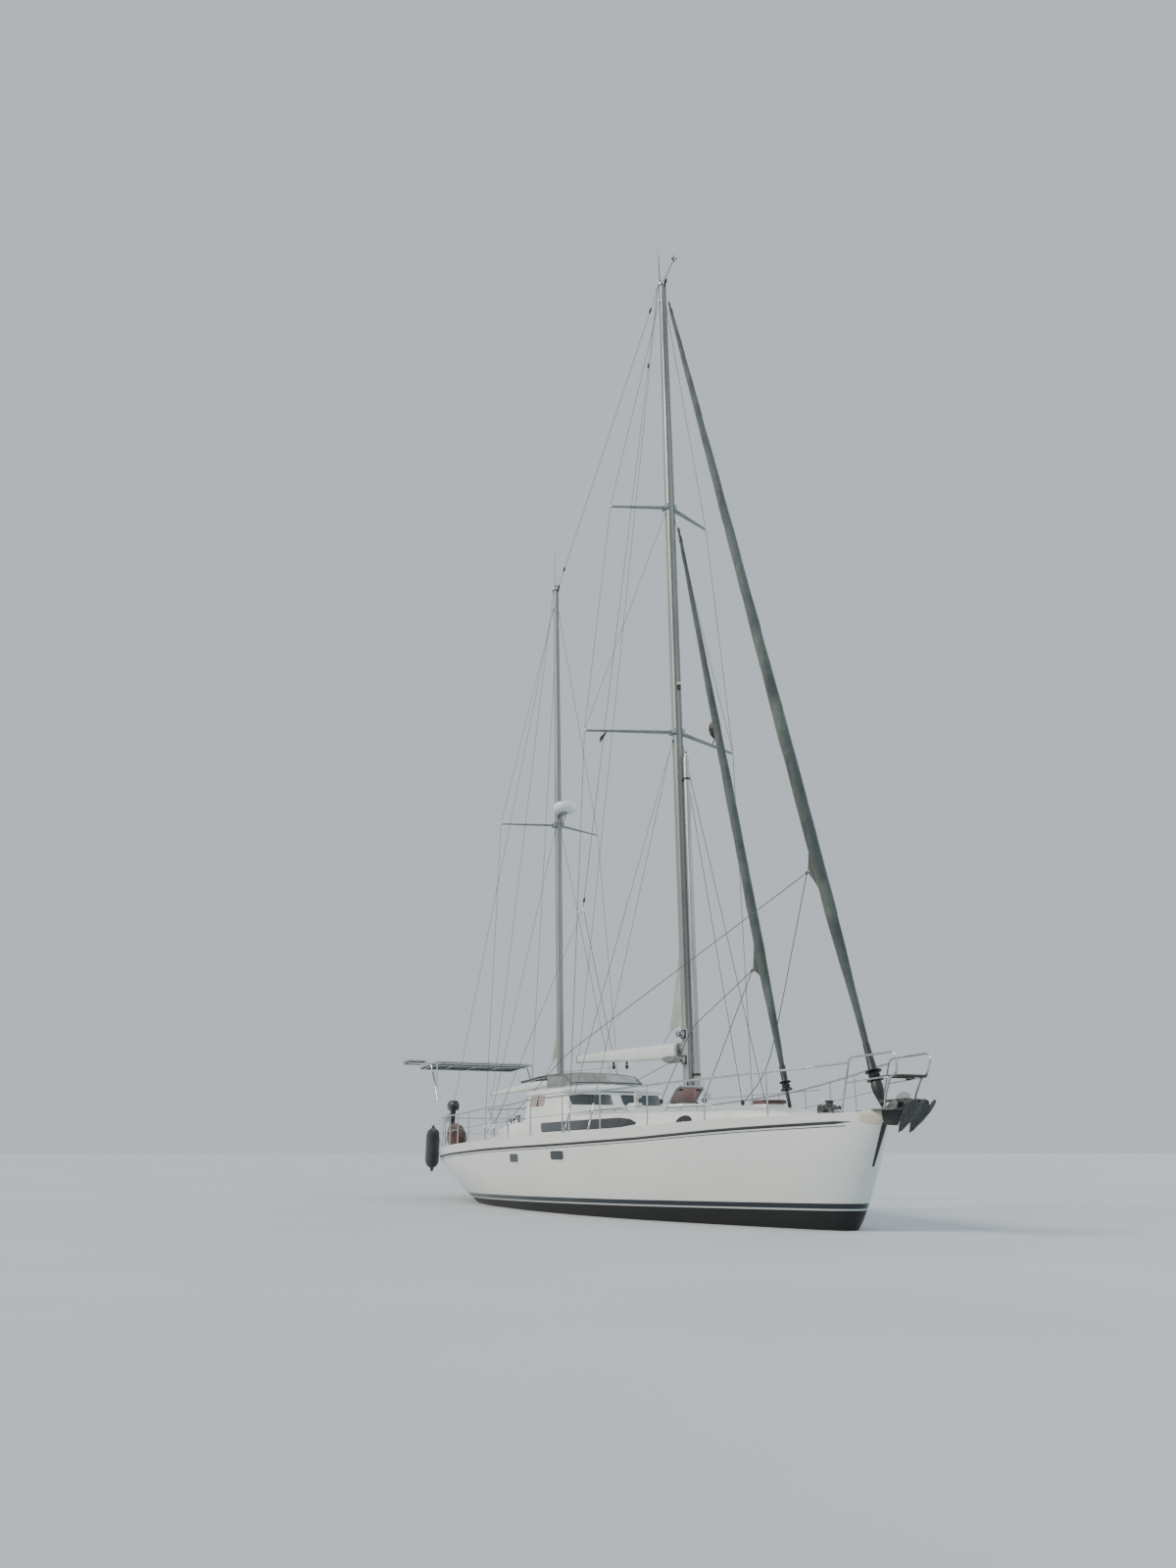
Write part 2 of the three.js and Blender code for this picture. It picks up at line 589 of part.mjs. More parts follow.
// The space inside starts two cloths behind the raked front and runs out below and aft
const INSIDE_FOOT = 2050;
const canopyInner = CANOPY_BODY.map(([x, , ...tops], i) => [
  x - [2 * CLOTH, 0, 0, 100][i], INSIDE_FOOT, ...tops]);
const awning = loft(AWNING.map(([x, edge, crown, half]) => [
  [x, -half, edge - CLOTH], [x, 0, crown - CLOTH], [x, half, edge - CLOTH], [x, half, edge], [x, 0, crown],
  [x, -half, edge]]));
const canopyShell = cut(
  loft(CANOPY_BODY.map((row) => canopyRing(row))),
  loft(canopyInner.map((row) => canopyRing(row, CLOTH))),
);
piece('canopy', cut(joined(canopyShell, awning), moved(shelter, [0, 0, GAP])), CANVAS);

// Steering
const PEDESTAL = { x: -2560, top: 1500 };
const pedestal = joined(
  box([220, 260, 900], [PEDESTAL.x, 0, 1020]),
  box([300, 420, 220], [PEDESTAL.x, 0, PEDESTAL.top]),
);
piece('steering_pedestal', onHull(pedestal), GELCOAT);
const WHEEL = { x: -2760, z: 1540, radius: 370 };
const rim = new THREE.TorusGeometry(WHEEL.radius, 14, 6, 24);
rim.rotateY(Math.PI / 2);
const spokes = [0, 60, 120].map((angle) => {
  const a = THREE.MathUtils.degToRad(angle);
  const tip = [0, WHEEL.radius * Math.cos(a), WHEEL.radius * Math.sin(a)];
  return rod(tip.map((value) => -value), tip, 7, 7, 6);
});
const wheel = joined(solidOf(rim), rod([-25, 0, 0], [42, 0, 0], 38, 38, 12), spokes);
piece('steering_wheel', wheel, STAINLESS, [WHEEL.x, 0, WHEEL.z]);

// Masts: oval tubes with swept spreaders
const mastX = (mast, z) => mast.x - (z - 2000) * Math.tan(THREE.MathUtils.degToRad(mast.rake));
function mastTube(mast, grow = 0, low = mast.foot, high = mast.head) {
  const ring = (z, share) => Array.from({ length: 14 }, (_, i) => {
    const angle = (2 * Math.PI * i) / 14;
    const reach = (mast.depth * share + grow) * Math.cos(angle);
    return [mastX(mast, z) + reach, (mast.width * share + grow) * Math.sin(angle), z];
  });
  return loft([ring(low, 1), ring(mast.head * 0.72, 1), ring(high, 0.72)]);
}

// Spreaders: height, half span and sweep in degrees
const LOWER = { z: 8690, half: 1620, sweep: 22 };
const UPPER = { z: 13590, half: 1090, sweep: 22.7 };
const MIZZEN_SPREADER = { z: 8260, half: 1210, sweep: 21 };
function spreaderTip(mast, { z, half, sweep }, side = 1, beyond = 0) {
  const back = half * Math.tan(THREE.MathUtils.degToRad(sweep));
  return [mastX(mast, z) - back, side * (half + beyond), z + 15];
}
const spreaderPair = (mast, spreader, root) => [1, -1].map((side) => (
  rod([mastX(mast, spreader.z), 0, spreader.z], spreaderTip(mast, spreader, side), root, root * 0.6, 8)));

const POLE = { low: 1980, high: 8210, radius: 58, offset: 205, y: 60 };
const poleAt = (z) => [mastX(MAIN, z) + POLE.offset, POLE.y, z];
const poleRests = [2300, 7700].map((z) => box([150, 90, 60], [mastX(MAIN, z) + 165, 40, z]));
const winches = [[3000, 1], [2560, 1], [3000, -1], [2560, -1]].map(([z, side]) => (
  rod([mastX(MAIN, z), side * 60, z], [mastX(MAIN, z), side * 225, z], 62, 54, 12)));
const crane = (mast, reach) => plateXZ([
  [mastX(mast, mast.head) + 190, mast.head + 40], [mastX(mast, mast.head) - reach, mast.head + 40],
  [mastX(mast, mast.head) - reach, mast.head - 30], [mastX(mast, mast.head) - 60, mast.head - 160],
  [mastX(mast, mast.head) + 60, mast.head - 160], [mastX(mast, mast.head) + 190, mast.head - 30]], 60);
const whip = (x, y, low, length) => rod([x, y, low], [x - 30, y, low + length], 12, 5, 6);
const headX = mastX(MAIN, MAIN.head);
const vane = joined(
  rod([headX + 120, 0, MAIN.head + 20], [headX + 560, 0, MAIN.head + 240], 12, 9, 6),
  ball([headX + 560, 0, MAIN.head + 260], 45),
);
const mainMast = cut(
  joined(
    mastTube(MAIN),
    spreaderPair(MAIN, LOWER, 55),
    spreaderPair(MAIN, UPPER, 46),
    winches,
    poleRests,
    crane(MAIN, 230),
    vane,
    whip(headX - 150, 25, MAIN.head, 1050),
    whip(headX - 40, -25, MAIN.head, 800),
  ),
  rod(poleAt(POLE.low - 200), poleAt(POLE.high + 200), POLE.radius + GAP, POLE.radius + GAP, 12),
);
piece('main_mast', onCoachroof(mainMast), SPAR);
piece('whisker_pole', rod(poleAt(POLE.low), poleAt(POLE.high), POLE.radius, POLE.radius, 12), SPAR);

const mizzenMast = joined(
  mastTube(MIZZEN),
  spreaderPair(MIZZEN, MIZZEN_SPREADER, 42),
  crane(MIZZEN, 180),
  whip(mastX(MIZZEN, MIZZEN.head) - 60, 0, MIZZEN.head, 1050),
);
piece('mizzen_mast', cut(onHull(mizzenMast), aftAbove), SPAR);

// Radar dome on a bracket at the fore side of the mizzen mast
const DOME = { z: 8480, radius: 260 };
const domeX = mastX(MIZZEN, DOME.z) + MIZZEN.depth + 40 + DOME.radius;
const dome = joined(
  turnedForm([[200, 0], [245, 40], [DOME.radius, 110], [245, 180], [170, 225]], [domeX, 0, DOME.z], 20),
  rod([domeX - 40, 0, DOME.z + 20], [mastX(MIZZEN, DOME.z - 260), 0, DOME.z - 280], 34, 34, 8),
  box([420, 120, 24], [domeX - 200, 0, DOME.z + 8]),
);
piece('radar_dome', cut(dome, mastTube(MIZZEN, GAP)), GELCOAT);

// Booms: a tapered box with rounded edges, from its pivot aft
function boomBody(rows) {
  return loft(rows.map(([x, middle, depth, width]) => {
    const corners = [[-1, -0.5], [-0.5, -1], [0.5, -1], [1, -0.5], [1, 0.5], [0.5, 1], [-0.5, 1], [-1, 0.5]];
    return corners.map(([out, up]) => [x, (out * width) / 2, middle + (up * depth) / 2]);
  }));
}
const GOOSENECK = [mastX(MAIN, 2750) - MAIN.depth - 60, 0, 2750];
const mainBoom = joined(
  boomBody([[-70, 0, 240, 170], [-700, 5, 270, 180], [-2600, 70, 230, 150], [-4450, 120, 150, 110]]),
  boomBody([[-60, -60, 120, 120], [-200, -110, 180, 150], [-600, -90, 200, 150], [-800, -20, 100, 110]]),
  rod([-100, 0, 0], [45, 0, 0], 26, 26, 8),
  rod([-2780, 0, 60], [-2780, 0, -150], 34, 24, 8),
  rod([-2200, 0, 40], [-2200, 0, -180], 34, 30, 8),
);
piece('main_boom', mainBoom, BOOM_WHITE, GOOSENECK);

const MIZZEN_GOOSENECK = [mastX(MIZZEN, 2480) - MIZZEN.depth - 50, 0, 2480];
const MIZZEN_SWING = 5.5;
const mizzenBoomShape = geometryOf(joined(
  boomBody([[-60, -3, 170, 120], [-1000, -46, 160, 120], [-3240, -150, 90, 80]]),
  rod([-90, 0, 0], [40, 0, 0], 20, 20, 8)));
mizzenBoomShape.rotateZ(THREE.MathUtils.degToRad(MIZZEN_SWING));
piece('mizzen_boom', solidOf(mizzenBoomShape), BOOM_WHITE, MIZZEN_GOOSENECK);

// The clew of each mast-furled sail, a flat panel behind its mast
const clewPanel = (mast, low, high, reach) => cut(
  plateXZ([[mastX(mast, low), low], [mastX(mast, low) - mast.depth - reach, low + 20],
    [mastX(mast, high), high]], 12),
  mastTube(mast, GAP));
piece('mainsail_clew', clewPanel(MAIN, 3070, 4900, 520), SAILCLOTH);
piece('mizzen_clew', clewPanel(MIZZEN, 2900, 4150, 330), SAILCLOTH);

// Headsails rolled on their stays: height and radius pairs up each roll, and the clew's corners
function along([ax, ay, az], [bx, by, bz], z) {
  const share = (z - az) / (bz - az);
  return [ax + share * (bx - ax), ay + share * (by - ay), z];
}

function sailRoll(foot, head, radii, clew, sides = 10) {
  const rings = radii.map(([z, radius]) => {
    const [x, y] = along(foot, head, z);
    return Array.from({ length: sides }, (_, i) => {
      const angle = (2 * Math.PI * i) / sides;
      return [x + radius * Math.cos(angle), y + radius * Math.sin(angle), z];
    });
  });
  return joined(loft(rings), plateXZ(clew, 14));
}

const FORESTAY = { foot: [7090, 0, 1600], head: [1800, 0, 18550] };
const INNER_STAY = { foot: [4910, 0, 1650], head: [1920, 0, 13190] };
const genoa = sailRoll(FORESTAY.foot, FORESTAY.head, [
  [2420, 42], [3300, 62], [4600, 96], [6600, 104], [8400, 100], [12000, 84], [16000, 60], [18200, 36]],
[[6150, 4550], [5710, 5120], [5800, 5700]]);
piece('genoa_roll', genoa, SAILCLOTH);
const staysail = sailRoll(INNER_STAY.foot, INNER_STAY.head, [
  [2240, 40], [3000, 60], [4200, 84], [6000, 84], [9000, 66], [12600, 34]],
[[4420, 3600], [4060, 3840], [4170, 4560]]);
piece('staysail_roll', staysail, SAILCLOTH);

function furler(stay, drumLow, drumHigh, radius, footRadius) {
  const at = (z) => along(stay.foot, stay.head, z);
  return joined(
    rod(at(stay.foot[2] + 10), at(drumLow + 20), 24, footRadius, 12),
    rod(at(drumLow), at(drumLow + 130), radius, radius, 16),
    rod(at(drumLow + 120), at(drumHigh), radius * 0.55, radius * 0.42, 12),
    rod(at(stay.foot[2] - 60), at(drumLow + 20), 16, 16, 8),
  );
}
piece('genoa_furler', onHull(furler(FORESTAY, 1960, 2405, 118, 84)), STAINLESS);
piece('staysail_furler', onCoachroof(furler(INNER_STAY, 1920, 2225, 92, 30)), STAINLESS);

// Standing rigging: one node a side, its wires met by their chainplates and tangs
const wire = (a, b, radius = STAY_RADIUS) => rod(a, b, radius, radius, 6);
const mastCore = (mast, z) => [mastX(mast, z), 0, z];
const mainCut = mastTube(MAIN, GAP);
const mizzenCut = mastTube(MIZZEN, GAP);
const turnbuckle = (a, b) => {
  const from = new THREE.Vector3(...a);
  const to = new THREE.Vector3(...b);
  const on = to.clone().sub(from).normalize();
  return rod(a, from.addScaledVector(on, 420).toArray(), 15, 13, 8);
};
const SPREADER_CLEAR = 30;
const CHAINPLATES = [[940, 1880], [714, 1880], [1616, 1830]];
for (const [side, word] of [[1, 'port'], [-1, 'starboard']]) {
  const chain = CHAINPLATES.map(([x, y]) => [x, side * y, deckHeight(x, y) + 60]);
  const lowerTip = spreaderTip(MAIN, LOWER, side, SPREADER_CLEAR);
  const upperTip = spreaderTip(MAIN, UPPER, side, SPREADER_CLEAR);
  const lowerSide = [mastX(MAIN, LOWER.z - 150), side * 60, LOWER.z - 150];
  const shrouds = joined(
    pipe([chain[0], lowerTip, upperTip, mastCore(MAIN, 18750)], STAY_RADIUS + 1, 6),
    wire(lowerTip, mastCore(MAIN, UPPER.z - 120)),
    wire(chain[1], lowerSide, STAY_RADIUS + 1),
    wire(chain[2], mastCore(MAIN, LOWER.z - 120), STAY_RADIUS + 1),
    turnbuckle(chain[0], lowerTip),
    turnbuckle(chain[1], lowerSide),
    turnbuckle(chain[2], mastCore(MAIN, LOWER.z - 120)),
    loft([chain[1], chain[0], chain[2]].map(([x, y, z]) => {
      return [[x, y - 14, z - 80], [x, y + 14, z - 80], [x, y + 14, z + 8], [x, y - 14, z + 8]];
    })),
  );
  piece(`main_shrouds_${word}`, onHull(cut(shrouds, mainCut)), STAINLESS);

  const foot = [-3980, side * 1630, deckHeight(-3980, 1630) + 30];
  const quarter = [-8240, side * 1095, deckHeight(-8240, 1095) + 20];
  const tip = spreaderTip(MIZZEN, MIZZEN_SPREADER, side, SPREADER_CLEAR);
  const mizzenWires = joined(
    pipe([foot, tip, mastCore(MIZZEN, 13900)], STAY_RADIUS, 6),
    wire(foot, mastCore(MIZZEN, MIZZEN_SPREADER.z - 140)),
    wire(quarter, mastCore(MIZZEN, 13900)),
    turnbuckle(foot, tip),
    turnbuckle(quarter, mastCore(MIZZEN, 13900)),
    box([160, 30, 90], [foot[0], foot[1], foot[2] - 20]),
    box([120, 30, 90], [quarter[0], quarter[1], quarter[2] - 20]),
    box([230, 90, 160], [mastX(MIZZEN, 13700) - 40, side * 60, 13700]),
  );
  piece(`mizzen_shrouds_${word}`, onHull(cut(mizzenWires, mizzenCut)), STAINLESS);
}

const SPLIT = [-2590, 0, 6030];
const backstayFoot = (side) => [-3700, side * 1660, deckHeight(-3700, 1660) + 30];
const backstay = joined(
  wire([headX - 222, 0, MAIN.head - 70], SPLIT, STAY_RADIUS + 1),
  ball(SPLIT, 40),
  [1, -1].flatMap((side) => [
    wire(SPLIT, backstayFoot(side), STAY_RADIUS + 1),
    turnbuckle(backstayFoot(side), SPLIT),
    box([140, 30, 90], [-3700, side * 1660, backstayFoot(side)[2] - 20]),
  ]),
);
piece('main_backstay', onHull(cut(backstay, moved(mainMast, [-GAP, 0, -GAP]))), STAINLESS);

const triaticEnds = [[headX - 236, 0, MAIN.head], [mastX(MIZZEN, MIZZEN.head) + 195, 0, MIZZEN.head + 10]];
const insulators = [0.06, 0.94].map((share) => {
  const [a, b] = triaticEnds.map((end) => new THREE.Vector3(...end));
  return ball(a.lerp(b, share).toArray(), 26);
});
const triatic = joined(wire(...triaticEnds), insulators);
piece('triatic_stay', triatic, STAINLESS);

// Guard rails: a solid tube on stanchions, with a wire at half height
const RAIL_SPLIT = -5100;
const RAIL_TOP = [
  [RAIL_SPLIT + GAP, 1795], [-4060, 1815], [-2760, 1855], [-1560, 1875], [-710, 1918], [670, 1958],
  [2000, 1996], [2830, 2025], [3970, 2071], [5120, 2114], [5800, 2143], [6360, 2171]];
const STANCHIONS = [-5070, -4050, -2800, -1530, -440, 780, 1970, 3160, 4350, 5490];
const PULPIT_LEG = [6841, 340, 2190];
const railY = (x) => railBeam(x) - RAIL_WIDTH - 30;

// Bow: each side of the pulpit is a hoop whose fore leg stands on the stemhead plate
const PULPIT = [
  [6600, 333, 1450], [6874, 343, 2256], [7730, 292, 2275], [7795, 284, 2215],
  [7742, 253, 2009], [7611, 260, 1968], [7471, 246, 1734], [7432, 246, 1580]];
const PULPIT_MIDDLE = [[6760, 338, 1925], [7480, 300, 1965], [7600, 258, 1960]];
const onSide = (points, side) => points.map(([x, y, z]) => [x, side * y, z]);
const hoop = (side, radius) => pipe(bent(onSide(PULPIT, side), 60, 2), radius, 6);
for (const [side, word] of [[1, 'port'], [-1, 'starboard']]) {
  const top = [...RAIL_TOP.map(([x, z]) => [x, railY(x), z]), PULPIT_LEG];
  const middle = RAIL_TOP.map(([x, z]) => [x, side * railY(x), (z + railHeight(x)) / 2]);
  const posts = STANCHIONS.map((x) => {
    const y = side * railY(x);
    return rod([x, y, deckHeight(x, y) - 30], [x, y, between(RAIL_TOP, x, 1)], POST_RADIUS, POST_RADIUS, 6);
  });
  const rails = joined(pipe(onSide(top, side), RAIL_RADIUS, 8), pipe(middle, 5, 4), posts);
  piece(`guard_rail_${word}`, onHull(cut(rails, hoop(side, TUBE_RADIUS + GAP))), STAINLESS);
}

const SEAT = [
  [7400, -265], [7740, -250], [7790, -150], [7790, 150], [7740, 250], [7400, 265]];
const pulpit = joined(
  [1, -1].flatMap((side) => [hoop(side, TUBE_RADIUS), pipe(onSide(PULPIT_MIDDLE, side), 11, 6)]),
  plateXY(SEAT, 26, 1985),
  box([60, 90, 60], [7660, 0, 1958]),
);
const stayRod = (low, high, radius) => rod(
  along(FORESTAY.foot, FORESTAY.head, low), along(FORESTAY.foot, FORESTAY.head, high), radius, radius, 16);
const genoaDrumRoom = stayRod(1800, 2300, 135);
const BOW_PLATE = [
  [6950, -90], [7250, -265], [7480, -265], [7560, -200], [7560, 200], [7480, 265], [7250, 265], [6950, 90]];
const bowPlate = plateXY(BOW_PLATE, 24, 1560);
piece('pulpit', onHull(cut(pulpit, genoaDrumRoom, moved(bowPlate, [0, 0, GAP]))), STAINLESS);

const CHEEK = [[6950, 1562], [7560, 1562], [7640, 1640], [7560, 1680], [7380, 1584], [6950, 1584]];
const ROLLER = { x: 7540, z: 1625, radius: 30 };
const centreCheek = cut(
  rod([7530, -6, 1580], [7530, 6, 1580], 215, 215, 24),
  box([600, 100, 300], [7530, 0, 1420]),
);
const stemFitting = joined(
  bowPlate,
  plateXZ([[7080, 1565], [7160, 1372], [7310, 1362], [7480, 1565]], 110, 0),
  centreCheek,
  [-82, 82].map((y) => plateXZ(CHEEK, 10, y)),
  [-195, 195].map((y) => plateXZ(CHEEK.map(([x, z]) => [Math.max(x, 7320), z]), 10, y)),
  rod([ROLLER.x, -190, ROLLER.z], [ROLLER.x, 190, ROLLER.z], ROLLER.radius, ROLLER.radius, 12),
);
const hullAhead = moved(hull, [GAP, 0, -GAP]);
piece('stem_fitting', onHull(cut(stemFitting, hullAhead, stayRod(1400, 1700, 17))), STAINLESS);

function anchor(y, reach) {
  const low = ROLLER.z + ROLLER.radius + GAP;
  const shank = plateXZ([
    [7230, low], [reach - 160, low], [reach, 1500],
    [reach + 70, 1560], [reach - 60, low + 90], [7230, low + 70],
  ], 26, y);
  const plough = [
    [[90, -70, 1570], [90, 70, 1570], [60, 60, 1690], [60, -60, 1690]],
    [[20, -132, 1440], [20, 132, 1440], [0, 116, 1640], [0, -116, 1640]],
    [[-160, -122, 1350], [-160, 122, 1350], [-150, 60, 1480], [-150, -60, 1480]],
    [[-360, -20, 1275], [-360, 20, 1275], [-350, 10, 1310], [-350, -10, 1310]],
  ].map((ring) => ring.map(([back, out, z]) => [reach + back, y + out, z]));
  return joined(shank, loft(plough));
}
for (const [word, y, reach] of [['port', 145, 7760], ['starboard', -145, 7900]]) {
  const rollerRoom = rod(
    [ROLLER.x, y - 20, ROLLER.z], [ROLLER.x, y + 20, ROLLER.z], ROLLER.radius + GAP, ROLLER.radius + GAP, 12);
  piece(`anchor_${word}`, cut(anchor(y, reach), hullAbove, rollerRoom), GALVANISED);
}

const windlass = joined(
  box([360, 240, 70], [5900, 0, 1510]),
  turnedForm([[95, 0], [95, 120], [60, 150], [60, 200], [85, 240]], [5900, 0, 1530], 16),
  rod([5900, -170, 1620], [5900, 170, 1620], 52, 52, 12),
);
piece('windlass', onCoachroof(windlass), GALVANISED);

// Stern: pushpit, arch with its solar panels, outboard motor, fender, covered bag
const PUSHPIT_TOP = 1800;
const STERN_LINE = [[-8080, 1200], [-6600, 1590], [RAIL_SPLIT - 4, railY(RAIL_SPLIT)]];
const STERN_CORNER = [-8230, 950];
function sternLoop([fore, mid, aft], radius, sides) {
  const [[x0, y0], [x1, y1], [x2, y2]] = STERN_LINE;
  const side = (sign) => [[x2, sign * y2, fore], [x1, sign * y1, mid], [x0, sign * y0, aft],
    [STERN_CORNER[0], sign * STERN_CORNER[1], aft]];
  return pipe(bent([...side(1), ...side(-1).reverse()], 160, 2), radius, sides);
}
const pushpit = joined(
  sternLoop([1795, PUSHPIT_TOP, PUSHPIT_TOP], RAIL_RADIUS, 8),
  sternLoop([1480, 1455, 1440], 9, 4),
  [-6150, -7100, -7900].flatMap((x) => [1, -1].map((side) => {
    const y = between(STERN_LINE, x, 1);
    return rod([x, side * y, deckHeight(x, y) - 20], [x, side * y, PUSHPIT_TOP], POST_RADIUS, POST_RADIUS, 6);
  })),
  [1, -1].map((side) => rod([-8230, side * 500, 1000], [-8230, side * 500, PUSHPIT_TOP], 15, 15, 6)),
);
piece('pushpit', onHull(cut(pushpit, moved(hull, [-GAP, 0, 0]))), STAINLESS);

// The panels lie with their fore edge a little up; each side of the arch splits at a knee to carry them
const ARCH = { half: 1300, foot: [-7820, 1000], knee: [-8340, 2372], fore: -8500, mid: -8890, aft: -9850 };
const BAR_RADIUS = 18;
const LEG_RADIUS = 20;
const ARRAY = { fore: -8450, length: 1500, width: 2540, high: 3150, tilt: 2.5, thickness: 34 };
const arrayZ = (x) => ARRAY.high - (ARRAY.fore - x) * Math.tan(THREE.MathUtils.degToRad(ARRAY.tilt));
const barZ = (x) => arrayZ(x) - ARRAY.thickness / 2 - BAR_RADIUS - 3;
const archSide = (side) => {
  const y = side * ARCH.half;
  const at = ([x, z]) => [x, y, z];
  const aftBranch = bent([at(ARCH.foot), at(ARCH.knee), [ARCH.mid, y, barZ(ARCH.mid)]], 200);
  return [
    pipe(aftBranch, LEG_RADIUS),
    rod(at(ARCH.knee), [ARCH.fore, y - side * 20, barZ(ARCH.fore)], BAR_RADIUS),
    rod(
      [ARCH.fore + 25, y - side * 90, barZ(ARCH.fore + 25)], [ARCH.aft - 25, y - side * 90, barZ(ARCH.aft - 25)],
      BAR_RADIUS - 3,
    ),
  ];
};
const crossbar = (x, starboard) => rod([x, -starboard, barZ(x)], [x, ARCH.half + 10, barZ(x)], BAR_RADIUS);
const arch = joined(
  [1, -1].flatMap(archSide),
  crossbar(ARCH.fore, 2010),
  crossbar(ARCH.mid, 2010),
  crossbar(ARCH.aft, ARCH.half),
);
piece('stern_arch', onHull(arch), STAINLESS);
const panel = (x, y, length, width, lift) => box(
  [length, width, ARRAY.thickness], [x, y, arrayZ(x) + lift], [0, -ARRAY.tilt, 0]);
piece('solar_panel_main', panel(ARRAY.fore - ARRAY.length / 2, 0, ARRAY.length, ARRAY.width, 0), PANEL);
piece('solar_panel_side', panel(-8690, -1790, 520, 470, 12), PANEL);

const railRoom = rod([-6600, -1590, PUSHPIT_TOP], [-8080, -1200, PUSHPIT_TOP], RAIL_RADIUS + 1);
const motor = joined(
  loft([
    [[-7660, -1240, 1960], [-7660, -1060, 1960], [-7340, -1060, 1960], [-7340, -1240, 1960]],
    [[-7710, -1270, 2040], [-7710, -1030, 2040], [-7300, -1030, 2040], [-7300, -1270, 2040]],
    [[-7670, -1240, 2180], [-7670, -1060, 2180], [-7370, -1060, 2180], [-7370, -1240, 2180]]]),
  box([120, 90, 560], [-7510, -1150, 1700]),
  box([260, 40, 60], [-7530, -1150, 1450]),
  box([140, 150, 120], [-7510, -1262, 1770]),
);
piece('outboard_motor', cut(motor, railRoom), BLACK);

const fender = turnedForm(
  [[30, -60], [40, 0], [120, 60], [165, 170], [165, 760], [120, 870], [40, 930], [30, 1000]],
  [-8600, -1280, 640],
);
piece('fender', fender, CANVAS);

const bag = mirroredLoft([
  [[-6950, 0, 1040], [-6950, 90, 1100], [-6950, 80, 1380], [-6950, 0, 1450]],
  [[-6760, 0, 1040], [-6760, 200, 1090], [-6760, 190, 1500], [-6760, 0, 1640]],
  [[-6500, 0, 1040], [-6500, 200, 1090], [-6500, 180, 1480], [-6500, 0, 1600]],
  [[-6340, 0, 1040], [-6340, 110, 1100], [-6340, 90, 1350], [-6340, 0, 1420]]]);
piece('stern_cover', onHull(moved(bag, [0, -1330, 0])), BROWN);

export default yacht;
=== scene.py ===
# %% [markdown]
# # A cruising ketch, dressed over its fixed frame
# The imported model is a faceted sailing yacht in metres: +X to the bow, +Y to port, +Z up, the water at height
# zero. This lesson keeps its measures. It puts smooth mouldings, cloth, rope and fittings where the frame has
# plain solids, and gives each surface the finish of the real material.

import math

import bmesh
import bpy
import numpy as np
from mathutils import Matrix, Vector


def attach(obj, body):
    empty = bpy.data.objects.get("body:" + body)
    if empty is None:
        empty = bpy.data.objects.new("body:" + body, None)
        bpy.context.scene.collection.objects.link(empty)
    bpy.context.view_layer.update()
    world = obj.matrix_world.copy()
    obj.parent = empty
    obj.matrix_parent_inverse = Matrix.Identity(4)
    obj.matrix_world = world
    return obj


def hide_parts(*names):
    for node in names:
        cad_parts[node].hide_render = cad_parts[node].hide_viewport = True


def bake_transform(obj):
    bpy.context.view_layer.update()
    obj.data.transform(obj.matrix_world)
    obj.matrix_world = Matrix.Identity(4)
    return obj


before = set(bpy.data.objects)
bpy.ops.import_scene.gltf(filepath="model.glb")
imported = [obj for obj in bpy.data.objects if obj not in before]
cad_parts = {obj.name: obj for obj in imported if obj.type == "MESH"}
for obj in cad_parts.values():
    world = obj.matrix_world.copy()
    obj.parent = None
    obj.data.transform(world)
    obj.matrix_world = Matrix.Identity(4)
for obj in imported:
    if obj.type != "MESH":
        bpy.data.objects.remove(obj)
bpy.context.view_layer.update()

# %% [markdown]
# ## Camera
# The picture was taken from a dinghy, about a metre above the water, off the starboard bow, with a short lens
# tilted up at the mast. A long side of 36 mm on the sensor gives the whole frame its angle.

# %% Camera
EYE = Vector((20.303, -10.478, 1.052))
HEADING, PITCH = math.radians(155.161), math.radians(17.261)
look = Vector((math.cos(HEADING) * math.cos(PITCH), math.sin(HEADING) * math.cos(PITCH), math.sin(PITCH)))
camera = bpy.data.objects.new("camera", bpy.data.cameras.new("camera"))
camera.location = EYE
camera.rotation_euler = look.to_track_quat("-Z", "Y").to_euler()
camera.data.lens, camera.data.sensor_width = 27.05, 36
camera.data.clip_start, camera.data.clip_end = 0.1, 1500
bpy.context.scene.collection.objects.link(camera)
bpy.context.scene.camera = camera
print("camera", tuple(round(v, 2) for v in camera.location))

# %% [markdown]
# ## Values and colours
# Finishes are chosen as sRGB hex values, as on a paint card. The renderer works in linear light, so one
# function turns them over. A second one adds a shader node, sets it and links it, for every material below.

# %% Colour and node helpers
def linear(card):
    """Linear red, green, blue and alpha of an sRGB hex colour."""
    shares = [int(card[i : i + 2], 16) / 255 for i in (1, 3, 5)]
    return (*[c / 12.92 if c <= 0.04045 else ((c + 0.055) / 1.055) ** 2.4 for c in shares], 1)


def add(tree, kind, inputs=None, **settings):
    """A node of a kind with its settings; an input is a value, or the output that feeds it."""
    node = tree.nodes.new("ShaderNode" + kind)
    for name, value in settings.items():
        setattr(node, name, value)
    for socket, value in (inputs or {}).items():
        if isinstance(value, bpy.types.NodeSocket):
            tree.links.new(value, node.inputs[socket])
        else:
            node.inputs[socket].default_value = value
    return node


def socket_of(word):
    """The shader's own name of a socket, from a keyword."""
    return word.replace("_", " ").title().replace("Ior", "IOR")


